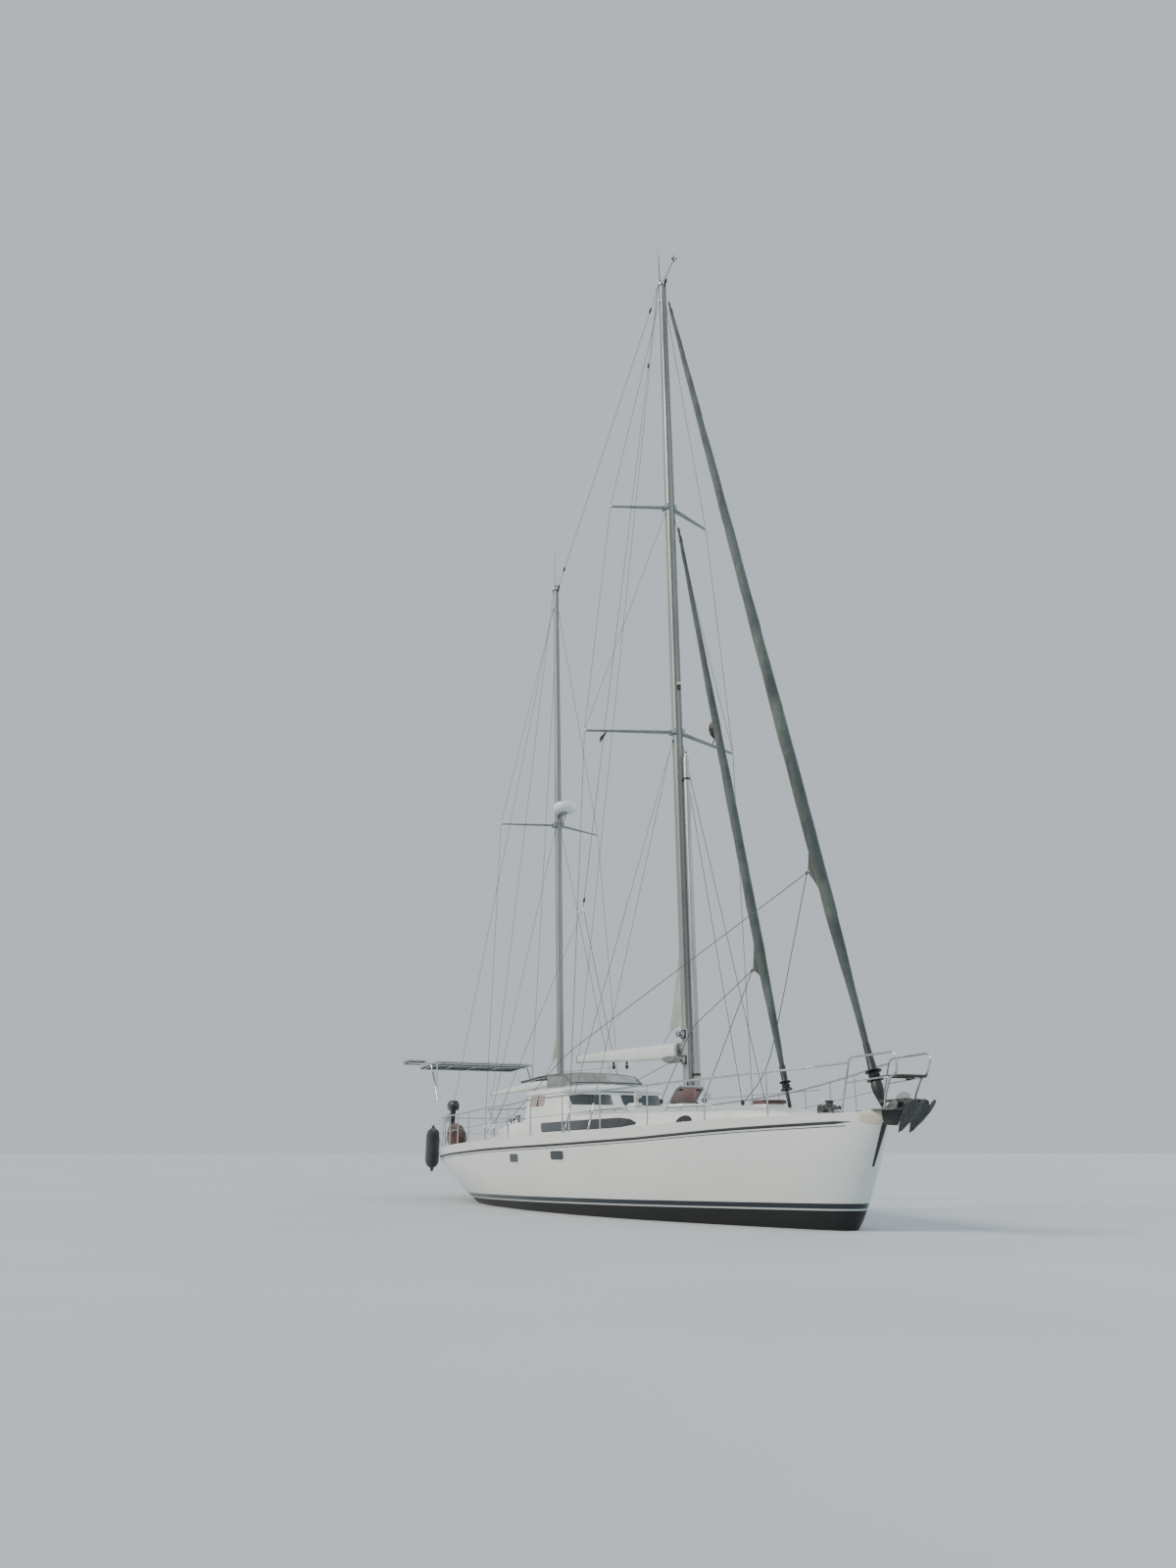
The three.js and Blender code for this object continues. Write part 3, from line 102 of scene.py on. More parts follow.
def finish_of(name, **steady):
    """A material with one shader, its steady values set on the shader's own sockets."""
    material = bpy.data.materials.new(name)
    material.use_nodes = True
    tree = material.node_tree
    tree.nodes.clear()
    shader = add(tree, "BsdfPrincipled", {socket_of(word): value for word, value in steady.items()})
    add(tree, "OutputMaterial", {"Surface": shader.outputs["BSDF"]})
    return material, tree, shader


def feed(tree, shader, **outputs):
    """Links each output to the shader's socket of that name."""
    for word, output in outputs.items():
        tree.links.new(output, shader.inputs[socket_of(word)])


def sums(tree, operation, *values):
    """The result of one arithmetic node on its values."""
    return add(tree, "Math", dict(enumerate(values)), operation=operation).outputs[0]


def blended(tree, share, first, second, **settings):
    """Two colours mixed by a share."""
    return add(tree, "Mix", {0: share, 6: first, 7: second}, data_type="RGBA", **settings).outputs[2]


def ranged(tree, value, **ends):
    """A value carried from one range to another; ends are the node's own, such as to_min."""
    named = {socket_of(word): end for word, end in ends.items()}
    return add(tree, "MapRange", {"Value": value, **named}).outputs["Result"]


def here(tree):
    """The place on the object, in metres."""
    return add(tree, "TexCoord").outputs["Object"]


def speckle(tree, size_mm, stretch=(1, 1, 1), detail=3):
    """Noise whose patches are size_mm across, finer along an axis whose stretch is above 1."""
    scaled = add(tree, "Mapping", {"Vector": here(tree), "Scale": stretch}).outputs["Vector"]
    return add(tree, "TexNoise", {"Vector": scaled, "Scale": 1000 / size_mm, "Detail": detail}).outputs["Fac"]


def shade(tree, factor, low, high, start=0.35, end=0.65):
    """A colour or a grey that goes from low to high as factor goes from start to end."""
    ramp = add(tree, "ValToRGB", {"Fac": factor})
    first, last = ramp.color_ramp.elements
    first.position, last.position = start, end
    first.color = linear(low) if isinstance(low, str) else (low, low, low, 1)
    last.color = linear(high) if isinstance(high, str) else (high, high, high, 1)
    return ramp.outputs["Color"]


def relief(tree, shader, height, depth_mm, under=None):
    """Bump of a real depth on the shader, on top of another bump if given."""
    inputs = {"Height": height, "Distance": depth_mm / 1000, "Strength": 1.0}
    if under is not None:
        inputs["Normal"] = under
    bump = add(tree, "Bump", inputs).outputs["Normal"]
    feed(tree, shader, normal=bump)
    return bump


# %% [markdown]
# ## Stage
# A yacht afloat shows only what is above the water, so the plain pale floor lies at height zero and hides the
# rest. The sky is one even pale tone. Three wide soft lamps do the work of a studio: a key from starboard and
# two weaker ones, from the bow and from port, so that the topsides turn gently from light to shade.

# %% Floor, sky and lamps
def turn_of(steps):
    """The angles of a whole turn in equal steps, without its end."""
    return [2 * math.pi * k / steps for k in range(steps)]


def disc_mesh(name, radius):
    mesh = bpy.data.meshes.new(name)
    turn = turn_of(96)
    mesh.from_pydata([(radius * math.cos(a), radius * math.sin(a), 0) for a in turn], [], [range(len(turn))])
    return mesh


FLOOR_RADIUS, LAMPS_LOOK_AT = 420, Vector((0, 0, 5))
floor_paint, tree, shader = finish_of("studio_floor_paint", roughness=0.75)
feed(tree, shader, base_color=shade(tree, speckle(tree, 4000), "#b3bcc2", "#b8c1c6"))
floor = bpy.data.objects.new("studio_floor", disc_mesh("studio_floor", FLOOR_RADIUS))
floor.data.materials.append(floor_paint)
bpy.context.scene.collection.objects.link(floor)

sky = bpy.data.worlds.new("studio_sky")
sky.use_nodes = True
sky.node_tree.nodes["Background"].inputs["Color"].default_value = linear("#d3dae0")
sky.node_tree.nodes["Background"].inputs["Strength"].default_value = 0.9
bpy.context.scene.world = sky

LAMPS = (  # name, where its light comes from, strength, how wide it is in degrees, colour
    ("key_lamp", (-4, -34, 30), 2.9, 22, "#fff3e0"),
    ("bow_lamp", (34, 12, 22), 0.75, 60, "#e8f1ff"),
    ("port_lamp", (-10, 34, 26), 0.8, 60, "#f4f6ff"),
)
for name, place, strength, width, colour in LAMPS:
    data = bpy.data.lights.new(name, "SUN")
    data.angle, data.energy, data.color = math.radians(width), strength, linear(colour)[:3]
    lamp = bpy.data.objects.new(name, data)
    lamp.location = place
    lamp.rotation_euler = (LAMPS_LOOK_AT - Vector(place)).to_track_quat("-Z", "Y").to_euler()
    bpy.context.scene.collection.objects.link(lamp)
print("lamps", len(LAMPS))

# %% [markdown]
# ## Gelcoat
# The hull, deck mouldings and shelter are polyester gelcoat, sprayed in a polished mould: a hard white skin
# with a clear gloss, a faint waviness over half a metre, and patches that years of salt have dulled. The
# deck has a moulded non-slip pattern, drawn at 22 mm because its real 6 mm pips are too fine to show.

# %% Gelcoat finishes
WATER_PAINT_BOW, WATER_PAINT_STERN = 0.27, 0.06
HULL_FORE, HULL_AFT = 6.8, -7.8

gelcoat, tree, shader = finish_of("polished_white_gelcoat", ior=1.5, coat_weight=0.25, coat_roughness=0.12)
feed(tree, shader, base_color=shade(tree, speckle(tree, 700), "#d3d8d8", "#dfe3e2"),
     roughness=shade(tree, speckle(tree, 90, detail=5), 0.24, 0.4))
relief(tree, shader, speckle(tree, 450, detail=1), 0.6)

deck_grip, tree, shader = finish_of("moulded_nonslip_gelcoat", roughness=0.62, ior=1.5)
feed(tree, shader, base_color=shade(tree, speckle(tree, 500, detail=5), "#b3b9b7", "#c1c6c4"))
pips = add(tree, "TexVoronoi", {"Vector": here(tree), "Scale": 1000 / 22, "Randomness": 0.0})
relief(tree, shader, pips.outputs["Distance"], 1.5)

hull_skin, tree, shader = finish_of("gelcoat_and_bottom_paint", ior=1.5, coat_weight=0.2, coat_roughness=0.15)
place = add(tree, "SeparateXYZ", {"Vector": here(tree)})
slope = (WATER_PAINT_BOW - WATER_PAINT_STERN) / (HULL_FORE - HULL_AFT)
rise = sums(tree, "MULTIPLY_ADD", place.outputs["X"], slope, WATER_PAINT_STERN - slope * HULL_AFT)
above = sums(tree, "SUBTRACT", place.outputs["Z"], rise)
RAMP_HALF = 3.0  # metres that the stripes' ramp covers below and above the bottom paint's edge
STRIPES = (  # lower edge above the bottom paint's edge, in metres, and the colour from there up
    (-RAMP_HALF, "#121519"), (0.0, "#b9bfc0"), (0.010, "#16212d"), (0.072, "#d9dddc"))
ramp = add(tree, "ValToRGB", {"Fac": ranged(tree, above, from_min=-RAMP_HALF, from_max=RAMP_HALF)})
ramp.color_ramp.interpolation = "CONSTANT"
while len(ramp.color_ramp.elements) < len(STRIPES):
    ramp.color_ramp.elements.new(1.0)
for element, (edge, card) in zip(ramp.color_ramp.elements, STRIPES):
    element.position, element.color = (edge + RAMP_HALF) / (2 * RAMP_HALF), linear(card)
dull = blended(tree, speckle(tree, 600, stretch=(0.35, 0.35, 1)), linear("#c3cacb"), linear("#ffffff"))
paint = blended(tree, 0.45, ramp.outputs["Color"], dull, blend_type="MULTIPLY")
feed(tree, shader, base_color=paint,
     roughness=ranged(tree, sums(tree, "LESS_THAN", above, 0.0), to_min=0.27, to_max=0.85))
relief(tree, shader, speckle(tree, 500, detail=1), 0.8)
print("gelcoat finishes", [m.name for m in (gelcoat, deck_grip, hull_skin)])

# %% [markdown]
# ## Mesh helpers
# Every moulding, tube and fitting below is made from points and faces worked out in code. A piece is made
# once from all its parts, gets a small rounded edge where the real one is not sharp, and rides on its body.

# %% Mesh helpers
def merged(*parts):
    """Several (points, faces) parts as one."""
    points, faces = [], []
    for part_points, part_faces in parts:
        faces += [tuple(i + len(points) for i in face) for face in part_faces]
        points += [tuple(p) for p in part_points]
    return points, faces


def skinned(rings, capped=True):
    """A skin over closed rings of as many points each, with its two ends capped."""
    n = len(rings[0])
    faces = [(i * n + j, i * n + (j + 1) % n, (i + 1) * n + (j + 1) % n, (i + 1) * n + j)
             for i in range(len(rings) - 1) for j in range(n)]
    if capped:
        last = (len(rings) - 1) * n
        faces += [tuple(reversed(range(n))), tuple(range(last, last + n))]
    return [p for ring in rings for p in ring], faces


def bare(name, part, *materials):
    """An object of that name from a part, with its materials and nothing else."""
    mesh = bpy.data.meshes.new(name)
    mesh.from_pydata([tuple(p) for p in part[0]], [], part[1])
    for material in materials:
        mesh.materials.append(material)
    made = bpy.data.objects.new(name, mesh)
    bpy.context.scene.collection.objects.link(made)
    return made


def piece(name, part, material, body="boat", edge_mm=0.0, sharp=35, stands_for=()):
    """An object of that name from a part, smooth but for corners sharper than an angle."""
    made = bare(name, part, *(material if isinstance(material, list) else [material]))
    tidy(made, sharp)
    if edge_mm:
        rounding = made.modifiers.new("edge", "BEVEL")
        rounding.width, rounding.segments, rounding.limit_method = edge_mm / 1000, 2, "ANGLE"
        rounding.angle_limit, rounding.harden_normals = math.radians(sharp), False
    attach(made, body)
    if stands_for:
        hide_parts(*stands_for)
    return made


def tidy(made, sharp=35):
    """Merges points that meet, turns faces outward and marks corners that stay sharp."""
    shape = bmesh.new()
    shape.from_mesh(made.data)
    bmesh.ops.remove_doubles(shape, verts=shape.verts, dist=1e-5)
    bmesh.ops.recalc_face_normals(shape, faces=shape.faces)
    shape.to_mesh(made.data)
    shape.free()
    made.data.shade_smooth()
    made.data.set_sharp_from_angle(angle=math.radians(sharp))


def along_table(table, x, column):
    """Value of a column at x, on a smooth curve through the table's rows that never overshoots them."""
    rows = sorted(table)
    xs, ys = [r[0] for r in rows], [r[column] for r in rows]
    x = min(max(x, xs[0]), xs[-1])
    slopes = [(ys[i + 1] - ys[i]) / (xs[i + 1] - xs[i]) for i in range(len(xs) - 1)]
    inner = [0 if a * b <= 0 else 2 * a * b / (a + b) for a, b in zip(slopes, slopes[1:])]
    ends = [slopes[0], *inner, slopes[-1]]
    i = min(max(k for k in range(len(xs)) if xs[k] <= x), len(xs) - 2)
    h, t = xs[i + 1] - xs[i], (x - xs[i]) / (xs[i + 1] - xs[i])
    return (ys[i] * (1 + 2 * t) * (1 - t) ** 2 + h * ends[i] * t * (1 - t) ** 2
            + ys[i + 1] * t * t * (3 - 2 * t) + h * ends[i + 1] * t * t * (t - 1))


def row_at(table, x):
    """Every column of a table but the first, at x."""
    return [along_table(table, x, column) for column in range(1, len(table[0]))]


# %% [markdown]
# ## Hull
# The hull is one fibreglass moulding with a raked stern, a low bulwark, a cambered deck and a cockpit well.
# A boat builder draws it as stations, and so does this cell: half beam, rail height, bottom height and how
# full the section is. A smooth curve runs through the stations, where the frame has flat facets between them.

# %% Hull moulding
STATIONS = (  # x, half beam at the rail, rail height, bottom height, fullness of the section
    (-8.400, 1.180, 1.075, 0.560, 2.30),
    (-7.800, 1.370, 1.090, 0.400, 2.30),
    (-7.000, 1.580, 1.110, 0.200, 2.30),
    (-6.200, 1.740, 1.135, -0.010, 2.30),
    (-5.200, 1.900, 1.170, -0.290, 2.35),
    (-4.000, 2.030, 1.205, -0.560, 2.40),
    (-2.600, 2.110, 1.250, -0.760, 2.50),
    (-1.000, 2.120, 1.290, -0.850, 2.55),
    (0.600, 2.020, 1.330, -0.860, 2.50),
    (2.200, 1.805, 1.385, -0.820, 2.35),
    (3.600, 1.460, 1.445, -0.720, 2.15),
    (4.800, 1.085, 1.495, -0.560, 1.95),
    (5.600, 0.815, 1.515, -0.360, 1.80),
    (6.150, 0.610, 1.525, -0.120, 1.72),
    (6.500, 0.465, 1.532, 0.345, 1.70),
    (6.850, 0.285, 1.540, 0.935, 1.70),
    (7.050, 0.135, 1.550, 1.285, 1.80),
    (7.130, 0.063, 1.555, 1.420, 2.00),
)
BULWARK, RAIL_WIDTH, CAMBER = 0.060, 0.040, 0.055
DECK_AFT, DECK_FORE = -8.29, 6.98
STERN_TOP, STERN_RAKE = (-8.370, 1.0745), 0.5498
COCKPIT_FORE, COCKPIT_AFT, WELL_HALF, SOLE = -1.46, -3.12, 0.44, 0.60
SIDE_STEPS = 22


def rail_half(x):
    return along_table(STATIONS, x, 1)


def rail_height(x):
    return along_table(STATIONS, x, 2)


def deck_height(x, y=0.0):
    inner = max(rail_half(x) - RAIL_WIDTH, 0.001)
    return rail_height(x) - BULWARK + CAMBER * (1 - min(abs(y) / inner, 1))


def stern_x(z):
    return STERN_TOP[0] - STERN_RAKE * (z - STERN_TOP[1])


def hull_half(x):
    """Half a section, from the centreline below round the rail to the deck's centreline."""
    beam, rail, bottom, full = row_at(STATIONS, x)
    angles = [math.pi / 2 * i / SIDE_STEPS for i in range(SIDE_STEPS + 1)]
    side = [(beam * math.sin(a) ** (2 / full), rail - (rail - bottom) * max(math.cos(a), 0) ** (2 / full))
            for a in angles]
    decked = DECK_AFT <= x <= DECK_FORE
    inner = max(beam - RAIL_WIDTH, 0.02)
    deck = [(inner * s, rail - BULWARK + CAMBER * (1 - s) if decked else rail)
            for s in (1, 0.8, 0.6, 0.4, 0.2, 0)]
    points = [(0.0, side[0][1]), *side[1:], (inner, rail), *deck]
    return [(max(x, stern_x(z)), y, z) for y, z in points]


def mirrored(half):
    """A whole ring from a half section whose first and last points are on the centreline."""
    return [*half, *[(x, -y, z) for x, y, z in reversed(half[1:-1])]]


def carved(made, *parts):
    """Cuts the parts' solids out of an object."""
    cutters = [bare("cutter", part) for part in parts]
    for cutter in cutters:
        tool = made.modifiers.new("cut", "BOOLEAN")
        tool.object, tool.solver = cutter, "EXACT"
    bpy.context.view_layer.update()
    cut_mesh = bpy.data.meshes.new_from_object(made.evaluated_get(bpy.context.evaluated_depsgraph_get()))
    made.modifiers.clear()
    made.data = cut_mesh
    for cutter in cutters:
        bpy.data.objects.remove(cutter)
    tidy(made)


def block(size, centre, turn=(0, 0, 0)):
    """Points and faces of a box of a size about a centre, turned by degrees about X, Y and Z."""
    about_x, about_y, about_z = (Matrix.Rotation(math.radians(a), 3, axis) for a, axis in zip(turn, "XYZ"))
    spin = about_z @ about_y @ about_x
    corners = [spin @ Vector((sx * size[0], sy * size[1], sz * size[2])) * 0.5 + Vector(centre)
               for sx in (-1, 1) for sy in (-1, 1) for sz in (-1, 1)]
    return corners, [(0, 1, 3, 2), (4, 6, 7, 5), (0, 4, 5, 1), (2, 3, 7, 6), (0, 2, 6, 4), (1, 5, 7, 3)]


xs = sorted({*np.linspace(-8.4, 6.4, 75).round(4), *np.linspace(6.4, 7.13, 16).round(4),
             DECK_AFT, DECK_AFT - 0.001, DECK_FORE, DECK_FORE + 0.001})
hull_part = skinned([mirrored(hull_half(float(x))) for x in xs])
hull = piece("hull_moulding", hull_part, [hull_skin, deck_grip], stands_for=["hull"],
             sharp=40)
COCKPIT_LONG, COCKPIT_MIDDLE = COCKPIT_FORE - COCKPIT_AFT, (COCKPIT_FORE + COCKPIT_AFT) / 2
carved(hull, block((COCKPIT_LONG, 2 * WELL_HALF, 1.0), (COCKPIT_MIDDLE, 0, SOLE + 0.5)))
for face in hull.data.polygons:
    middle = face.center
    inside = DECK_AFT < middle.x < DECK_FORE and abs(middle.y) < rail_half(middle.x) - RAIL_WIDTH - 0.002
    face.material_index = int(face.normal.z > 0.9 and middle.z < rail_height(middle.x) + 0.01 and inside
                              and middle.z > 0.5)
print("hull faces", len(hull.data.polygons))


# %% [markdown]
# ## Plainer finishes
# Most other surfaces are one material whose colour and gloss wander over patches a hand or arm wide, with a
# fine relief on top. One function makes such a finish from its real colours, patch size and relief.

# %% A finish that wanders over patches
def surface(name, low, high, patch_mm, rough, bump=None, stretch=(1, 1, 1), **steady):
    """Colour and gloss that wander over patches; bump is a size and a depth in millimetres."""
    material, tree, shader = finish_of(name, **steady)
    feed(tree, shader, base_color=shade(tree, speckle(tree, patch_mm, stretch), low, high),
         roughness=shade(tree, speckle(tree, patch_mm * 0.4, stretch, detail=5), *rough))
    if bump:
        relief(tree, shader, speckle(tree, bump[0], stretch), bump[1])
    return material


# Extruded rubber, black gone grey with sun; dull, with long streaks from the die
rubber = surface("extruded_black_rubber", "#1d2225", "#2d3336", 120, (0.55, 0.75), (9, 0.3), (0.2, 1, 1))
# Polished stainless tube: bright, with fine draw lines that stretch its reflections
stainless = surface("polished_stainless_steel", "#b4b8bb", "#c9cccd", 60, (0.16, 0.3), (4, 0.03),
                    metallic=1.0)
# Anodised aluminium extrusion: soft grey sheen, slightly streaked along its length
anodised = surface("anodised_aluminium", "#9fa3a3", "#b3b6b4", 220, (0.34, 0.5), (12, 0.05), (1, 1, 0.1),
                   metallic=0.85)
# Cast acrylic, tinted through: almost black from outside, very smooth
smoked = surface("smoked_acrylic", "#15191b", "#23292b", 900, (0.05, 0.1), coat_weight=0.3,
                 coat_roughness=0.04, ior=1.49)
# Moulded black nylon of blocks, cleats and drums: a satin skin, a little bleached
nylon = surface("black_moulded_nylon", "#181a1b", "#26292a", 50, (0.4, 0.55), (2, 0.05), ior=1.53)
# Cream bow capping: gelcoat of another batch that has yellowed
cream = surface("yellowed_gelcoat", "#bdb9ab", "#ccc9bc", 160, (0.35, 0.5), (25, 0.2), ior=1.5)
# Antifouling on the blades under water: rolled on, chalky, with faint lap marks
bottom_paint = surface("rolled_antifouling", "#111418", "#1c2126", 300, (0.75, 0.9), (14, 0.4))
# Cast manganese bronze, brown with a green bloom
bronze = surface("cast_bronze", "#6f5733", "#8d6d3f", 40, (0.3, 0.55), (5, 0.1), metallic=1.0)
print("finishes", len(bpy.data.materials))

# %% [markdown]
# ## Tubes and turned parts
# Tubes, ropes and wires follow a path with a ring of points at each step; the ring turns as little as it can
# from step to step, so the skin never twists. Turned parts spin a profile about an axis.

# %% Tube and turned helpers
def swept(path, radius, sides=10):
    """A tube along a path; radius is one value or one for each point."""
    points = [Vector(p) for p in path]
    radii = radius if isinstance(radius, (list, tuple)) else [radius] * len(points)
    rings, side = [], None
    for i, (point, r) in enumerate(zip(points, radii)):
        ahead = (points[min(i + 1, len(points) - 1)] - points[max(i - 1, 0)]).normalized()
        side = ahead.orthogonal() if side is None else side - ahead * side.dot(ahead)
        side.normalize()
        other = ahead.cross(side)
        rings.append([point + (side * math.cos(a) + other * math.sin(a)) * r
                      for a in turn_of(sides)])
    return skinned(rings)


def arc_path(corners, bend, steps=5):
    """A path through corners, each turned by a short even bend."""
    corners = [Vector(c) for c in corners]
    path = [corners[0]]
    for before, at, after in zip(corners, corners[1:], corners[2:]):
        reach = min(bend, (before - at).length * 0.45, (after - at).length * 0.45)
        start, end = at + (before - at).normalized() * reach, at + (after - at).normalized() * reach
        path += [start * (1 - t) ** 2 + at * 2 * t * (1 - t) + end * t * t
                 for t in (k / steps for k in range(steps + 1))]
    return [*path, corners[-1]]


def turned(profile, at=(0, 0, 0), axis=(0, 0, 1), sides=24):
    """Radius and height pairs spun about an axis through a place."""
    spin = Vector((0, 0, 1)).rotation_difference(Vector(axis)).to_matrix()
    rings = [[Vector(at) + spin @ Vector((r * math.cos(a), r * math.sin(a), h)) for a in turn_of(sides)]
             for r, h in profile]
    return skinned(rings)


def loop_about(at, radius, steps, thick, sides, plane):
    """A round loop of rope or bar about a place; plane names its two axes, such as xz."""
    path = []
    for a in np.linspace(0, 2 * math.pi, steps):
        reach = dict(zip(plane, (radius * math.cos(a), radius * math.sin(a))))
        path.append(Vector(at) + Vector([reach.get(axis, 0) for axis in "xyz"]))
    return swept(path, thick, sides)


# %% [markdown]
# ## Topsides trim
# A rubbing strake of dark rubber runs along each side just below the rail, where the hull and deck mouldings
# join; a second thin line of black rubber lower down is painted shadow, the shade in a groove of the topsides.
# The stem wears a steel guard, and two round-cornered portlights look out of the saloon on each side.

# %% Rubbing strakes and seam
SIDES = ((1, "port"), (-1, "starboard"))
STRAKE_AFT, STRAKE_FORE = -7.9, 6.78
SEAM_SHADOW_AFT, SEAM_SHADOW_FORE = -8.05, 6.90


def strake_drop(x):
    """How far below the rail the strake runs; it rises a little towards the bow."""
    return float(np.interp(x, (3.0, STRAKE_FORE), (0.19, 0.12)))


def hull_out(x, z):
    """Half breadth of the hull's side at a height."""
    beam, rail, bottom, full = row_at(STATIONS, x)
    share = min(max((rail - z) / (rail - bottom), 0.0), 1.0)
    return beam * (1 - share ** full) ** (1 / full)


def band(x0, x1, lower, half_height, proud, side):
    """A half-round moulding along the topsides, lower than the strake's line by a height."""
    rings = []
    for x in np.linspace(x0, x1, 70):
        z = rail_height(x) - strake_drop(x) - lower
        taper = min(1.0, (x - x0) / 0.06 + 0.2, (x1 - x) / 0.06 + 0.2)
        ring = []
        for a in np.linspace(-90, 90, 7):
            up = half_height * math.sin(math.radians(a))
            out = hull_out(x, z + up) + proud * taper * math.cos(math.radians(a)) ** 0.5
            ring.append((x, side * out, z + up * taper))
        ring += [(x, side * (hull_out(x, z) - 0.02), z + up * half_height * 0.8) for up in (1, -1)]
        rings.append(ring)
    return skinned(rings)


for side, word in SIDES:
    piece(f"strake_{word}", band(STRAKE_AFT, STRAKE_FORE, 0.0, 0.020, 0.014, side), rubber,
          stands_for=[f"rub_strake_{word}"], sharp=60)
    # the thin black seam below the strake is painted shadow, the shade in a groove of the topsides
    piece(f"hull_deck_seam_{word}", band(SEAM_SHADOW_AFT, SEAM_SHADOW_FORE, 0.05, 0.006, 0.003, side), rubber)

# %% Hull portlights
def superellipse(width, height, power=4.0, steps=32):
    """Outline of a rounded oblong about the origin."""
    outline = []
    for a in turn_of(steps):
        c, s = math.cos(a), math.sin(a)
        outline.append((width / 2 * math.copysign(abs(c) ** (2 / power), c),
                        height / 2 * math.copysign(abs(s) ** (2 / power), s)))
    return outline


def set_in(outline_rings, point_on):
    """Rings of outlines with a depth each, laid on a surface by point_on(u, v, out)."""
    return skinned([[point_on(u, v, out) for u, v in outline] for outline, out in outline_rings])


PORTLIGHTS, PORTLIGHT_TALL = ((-1.03, 0.911, 0.42), (0.715, 0.964, 0.47)), 0.155  # x, z, width of the glass
PORTLIGHT_FRAME = ((0.05, -0.01), (0.05, 0.006), (0.04, 0.010), (0.0, 0.010), (-0.01, 0.002))  # growth, depth
for side, word in SIDES:
    frames, panes = [], []
    for x, z, w in PORTLIGHTS:
        def on_side(u, v, out, x=x, z=z, side=side):
            return (x + u, side * (hull_out(x + u, z + v) + out), z + v)

        frames.append(set_in([(superellipse(w + grow, PORTLIGHT_TALL + grow, 6), out)
                              for grow, out in PORTLIGHT_FRAME], on_side))
        panes.append(set_in([(superellipse(w, PORTLIGHT_TALL, 6), out) for out in (-0.008, 0.004)], on_side))
    piece(f"portlight_frames_{word}", merged(*frames), gelcoat)
    piece(f"portlight_panes_{word}", merged(*panes), smoked)

# %% [markdown]
# ## Bow
# Forward of the deck the moulding ends in a blunt capping of yellowed gelcoat. A stainless guard is bent
# round the stem below it, so that the anchor cannot chip the hull; it is drawn black, a painted reflection of
# dark water in its steel.

# %% Bow capping and stem guard
CAP_AFT, CAP_FORE, BOW_LEAN = 6.90, 7.13, 0.5
GUARD_TOP, GUARD_FOOT = 1.40, 0.84


def stem_x(z):
    """Where the stem's line stands at a height."""
    fore = STATIONS[12:]
    return float(np.interp(z, [row[3] for row in fore], [row[0] for row in fore]))


def bow_skin(x, side, z, out):
    """A point on the bow at a height, moved out from it."""
    at = min(x, stem_x(z))
    return (at + out * BOW_LEAN, side * (hull_out(at, z) + out), z)


cap_rings = []
plan = [(x, 1) for x in np.linspace(CAP_AFT, CAP_FORE, 7)]
for x, side in [*plan, *[(x, -1) for x in np.linspace(CAP_FORE, CAP_AFT, 7)]]:
    top, low = rail_height(x) + 0.006, float(np.interp(x, (CAP_AFT, CAP_FORE), (1.425, 1.36)))
    heights = np.linspace(low, top - 0.012, 5)
    ring = [bow_skin(x, side, z, 0.008) for z in heights]
    ring += [bow_skin(x, side, top, 0.002), bow_skin(x - 0.02, side, top, -0.055)]
    ring += [bow_skin(x - 0.03, side, z, -0.03) for z in heights[::-1]]
    cap_rings.append(ring)
piece("bow_capping", skinned(cap_rings), cream, edge_mm=2)

guard_rings = []
for z in np.linspace(GUARD_TOP, GUARD_FOOT, 16):
    fore, half = stem_x(z), 0.016 + 0.026 * (z - GUARD_FOOT) / 0.56
    back = next((b for b in np.linspace(0.0, 0.1, 60) if hull_out(fore - b, z) > half), 0.1)
    edge = [(fore - back + 0.004, half + 0.003, z), (fore - back * 0.4 + 0.008, half * 0.6, z)]
    guard_rings.append([*edge, (fore + 0.012, 0, z), *[(x, -y, h) for x, y, h in reversed(edge)],
                        (fore - back - 0.02, 0, z)])
# the guard is drawn in black nylon: the black is a painted reflection of dark water in its steel
piece("stem_guard", skinned(guard_rings), nylon, sharp=50)
print("bow cap rings", len(cap_rings), "stem guard rings", len(guard_rings))

# %% [markdown]
# ## Coachroof
# The coachroof is part of the deck moulding. Its sides lean in, its edge is rolled over with a hand-wide
# radius, and its top is cambered so that water runs off. The same station table as the frame's draws it.

# %% Coachroof moulding
COACHROOF = (  # x, half width at deck, half width at the roof edge, edge height, crown height
    (5.70, 0.430, 0.310, 1.510, 1.530),
    (5.20, 0.640, 0.495, 1.580, 1.625),
    (4.30, 0.950, 0.780, 1.615, 1.700),
    (3.00, 1.250, 1.050, 1.625, 1.755),
    (1.50, 1.460, 1.230, 1.635, 1.800),
    (0.00, 1.560, 1.310, 1.640, 1.835),
    (-1.25, 1.560, 1.310, 1.640, 1.850),
    (-2.30, 1.500, 1.250, 1.625, 1.700),
    (-2.90, 1.420, 1.190, 1.560, 1.580),
    (-3.26, 1.300, 1.090, 1.400, 1.400),
)
SEAT_HALF = 0.94
SIDE_FOOT, LEAN_OUT, EDGE_DROP = 1.12, 0.03, 0.05  # of a deckhouse's leaning side, below its rolled edge


def roof_height(x, y=0.0):
    """Height of the coachroof's top."""
    _, roof, edge, crown = row_at(COACHROOF, x)
    return edge + (crown - edge) * (1 - min(abs(y) / roof, 1) ** 2)


